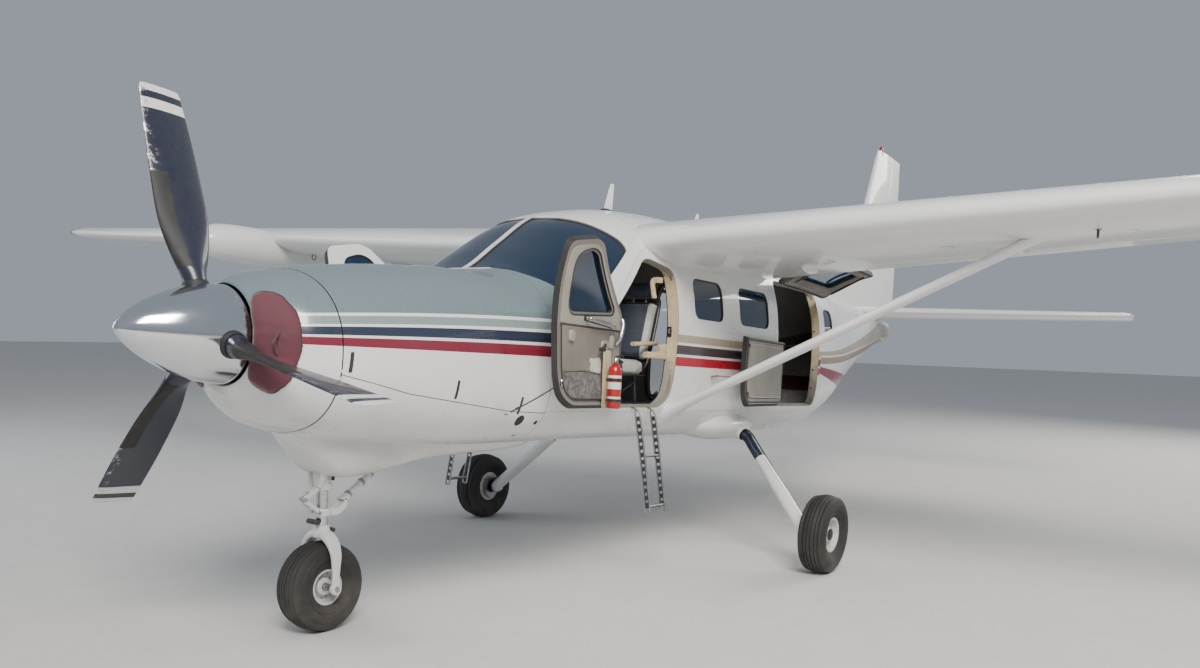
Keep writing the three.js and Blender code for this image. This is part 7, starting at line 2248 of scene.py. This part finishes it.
leg.make("nose_oleo_barrel", "airframe", "gear_paint", ["nose_leg"])

fork = Shape(gear_white, chrome, dark_steel, bare_steel)
lathe(fork, [(0, 0.455), (0.0355, 0.455), (0.0355, 0.80), (0, 0.80)], upright_place, 40, 1)
lathe(fork, [(0.036, 0.556), (0.052, 0.560), (0.055, 0.572), (0.055, 0.596), (0.050, 0.603),
             (0.036, 0.603)], upright_place, 40)
lathe(fork, [(0, 0.430), (0.052, 0.430), (0.056, 0.445), (0.050, 0.478), (0.044, 0.500), (0.0, 0.502)],
      upright_place, 40)
FORK_HALF, TINE_LOW = 0.1365, 0.118
arch = [(FORK_HALF * math.cos(a), STEER_Y,
         0.300 + 0.1515 * math.sin(a)) for a in np.linspace(0, math.pi, 25)]
path = [(FORK_HALF, STEER_Y, z) for z in (TINE_LOW, 0.20, 0.26)] + arch
path += [(-FORK_HALF, STEER_Y, z) for z in (0.26, 0.20, TINE_LOW)]
heights = [p[2] for p in path]
half_deep = np.interp(heights, [TINE_LOW, 0.20, 0.33, 0.45], [0.034, 0.024, 0.037, 0.050])
half_thick = np.interp(heights, [TINE_LOW, 0.24, 0.36, 0.45], [0.0130, 0.0115, 0.0160, 0.0235])
bar(fork, path, half_deep, half_thick, (0, 1, 0), 0, 1, 0.55)
for out in (1, -1):
    boss = Matrix.Translation((0, STEER_Y, NOSE_AXLE)) @ Matrix.Rotation(out * math.pi / 2, 4, "Y")
    lathe(fork, [(0, 0.119), (0.033, 0.119), (0.036, 0.126), (0.036, 0.146), (0.032, 0.151), (0, 0.151)],
          boss, 32)
    lathe(fork, [(0, 0.150), (0.0195, 0.150), (0.0195, 0.1545), (0.016, 0.156), (0, 0.156)], boss, 6, 3)
pipe(fork, [(-0.14, STEER_Y, NOSE_AXLE), (0.14, STEER_Y, NOSE_AXLE)], 0.0225, 24, 3, 1)
for z_in, z_out, spread in ((0.738, 0.672, 0.030), (0.580, 0.655, 0.030)):
    for out in (1, -1):
        bar(fork, [(out * spread, STEER_Y - 0.035, z_in),
                   (out * spread * 0.9, STEER_Y - 0.085, (z_in + z_out) / 2),
                   (out * spread * 0.55, STEER_Y - 0.137, z_out)], [0.017, 0.011, 0.014], 0.0055,
            (0, 0.35, 1), 0, 4)
    bar(fork, [(0, STEER_Y - 0.06, z_in + (z_out - z_in) * 0.16),
               (0, STEER_Y - 0.105, z_in + (z_out - z_in) * 0.48)],
        0.025, 0.006, (1, 0, 0), 0)
    pipe(fork, [(-0.042, STEER_Y - 0.045, z_in), (0.042, STEER_Y - 0.045, z_in)], 0.010, 12, 3, 1)
pipe(fork, [(-0.030, STEER_Y - 0.138, 0.664), (0.030, STEER_Y - 0.138, 0.664)], 0.0095, 12, 3, 1)
pipe(fork, [(-0.045, STEER_Y - 0.062, 0.525), (0.045, STEER_Y - 0.062, 0.525)], 0.016, 16, 2, 1)
for out in (1, -1):
    bar(fork, [(out * 0.030, STEER_Y + 0.035, 0.582), (out * 0.034, STEER_Y + 0.095, 0.580),
               (out * 0.034, STEER_Y + 0.150, 0.615),
               (out * 0.030, STEER_Y + 0.158, 0.645)], [0.024, 0.020, 0.018, 0.015], 0.007, (0, -0.3, 1), 0,
        6)
pipe(fork, [(-0.045, STEER_Y + 0.055, 0.47), (0.045, STEER_Y + 0.055, 0.47)], 0.014, 16, 2, 1)
fork.make("nose_fork_and_links", "nose_fork", "gear_paint", ["nose_fork"], crease=40)
wheel("nose", "nose_wheel", (0, STEER_Y, NOSE_AXLE), 1, 0.276, 0.104, 0.098, 0.024, True,
      ["nose_tyre", "nose_rim"])

({label: {key: [float(v) for v in value] if hasattr(value, "__len__") else value for key, value in box.items()}
           if isinstance(box, dict) else [[float(v) for v in row] for row in box]
           for label, box in (("cad", cad_box), ("dressed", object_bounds()))})
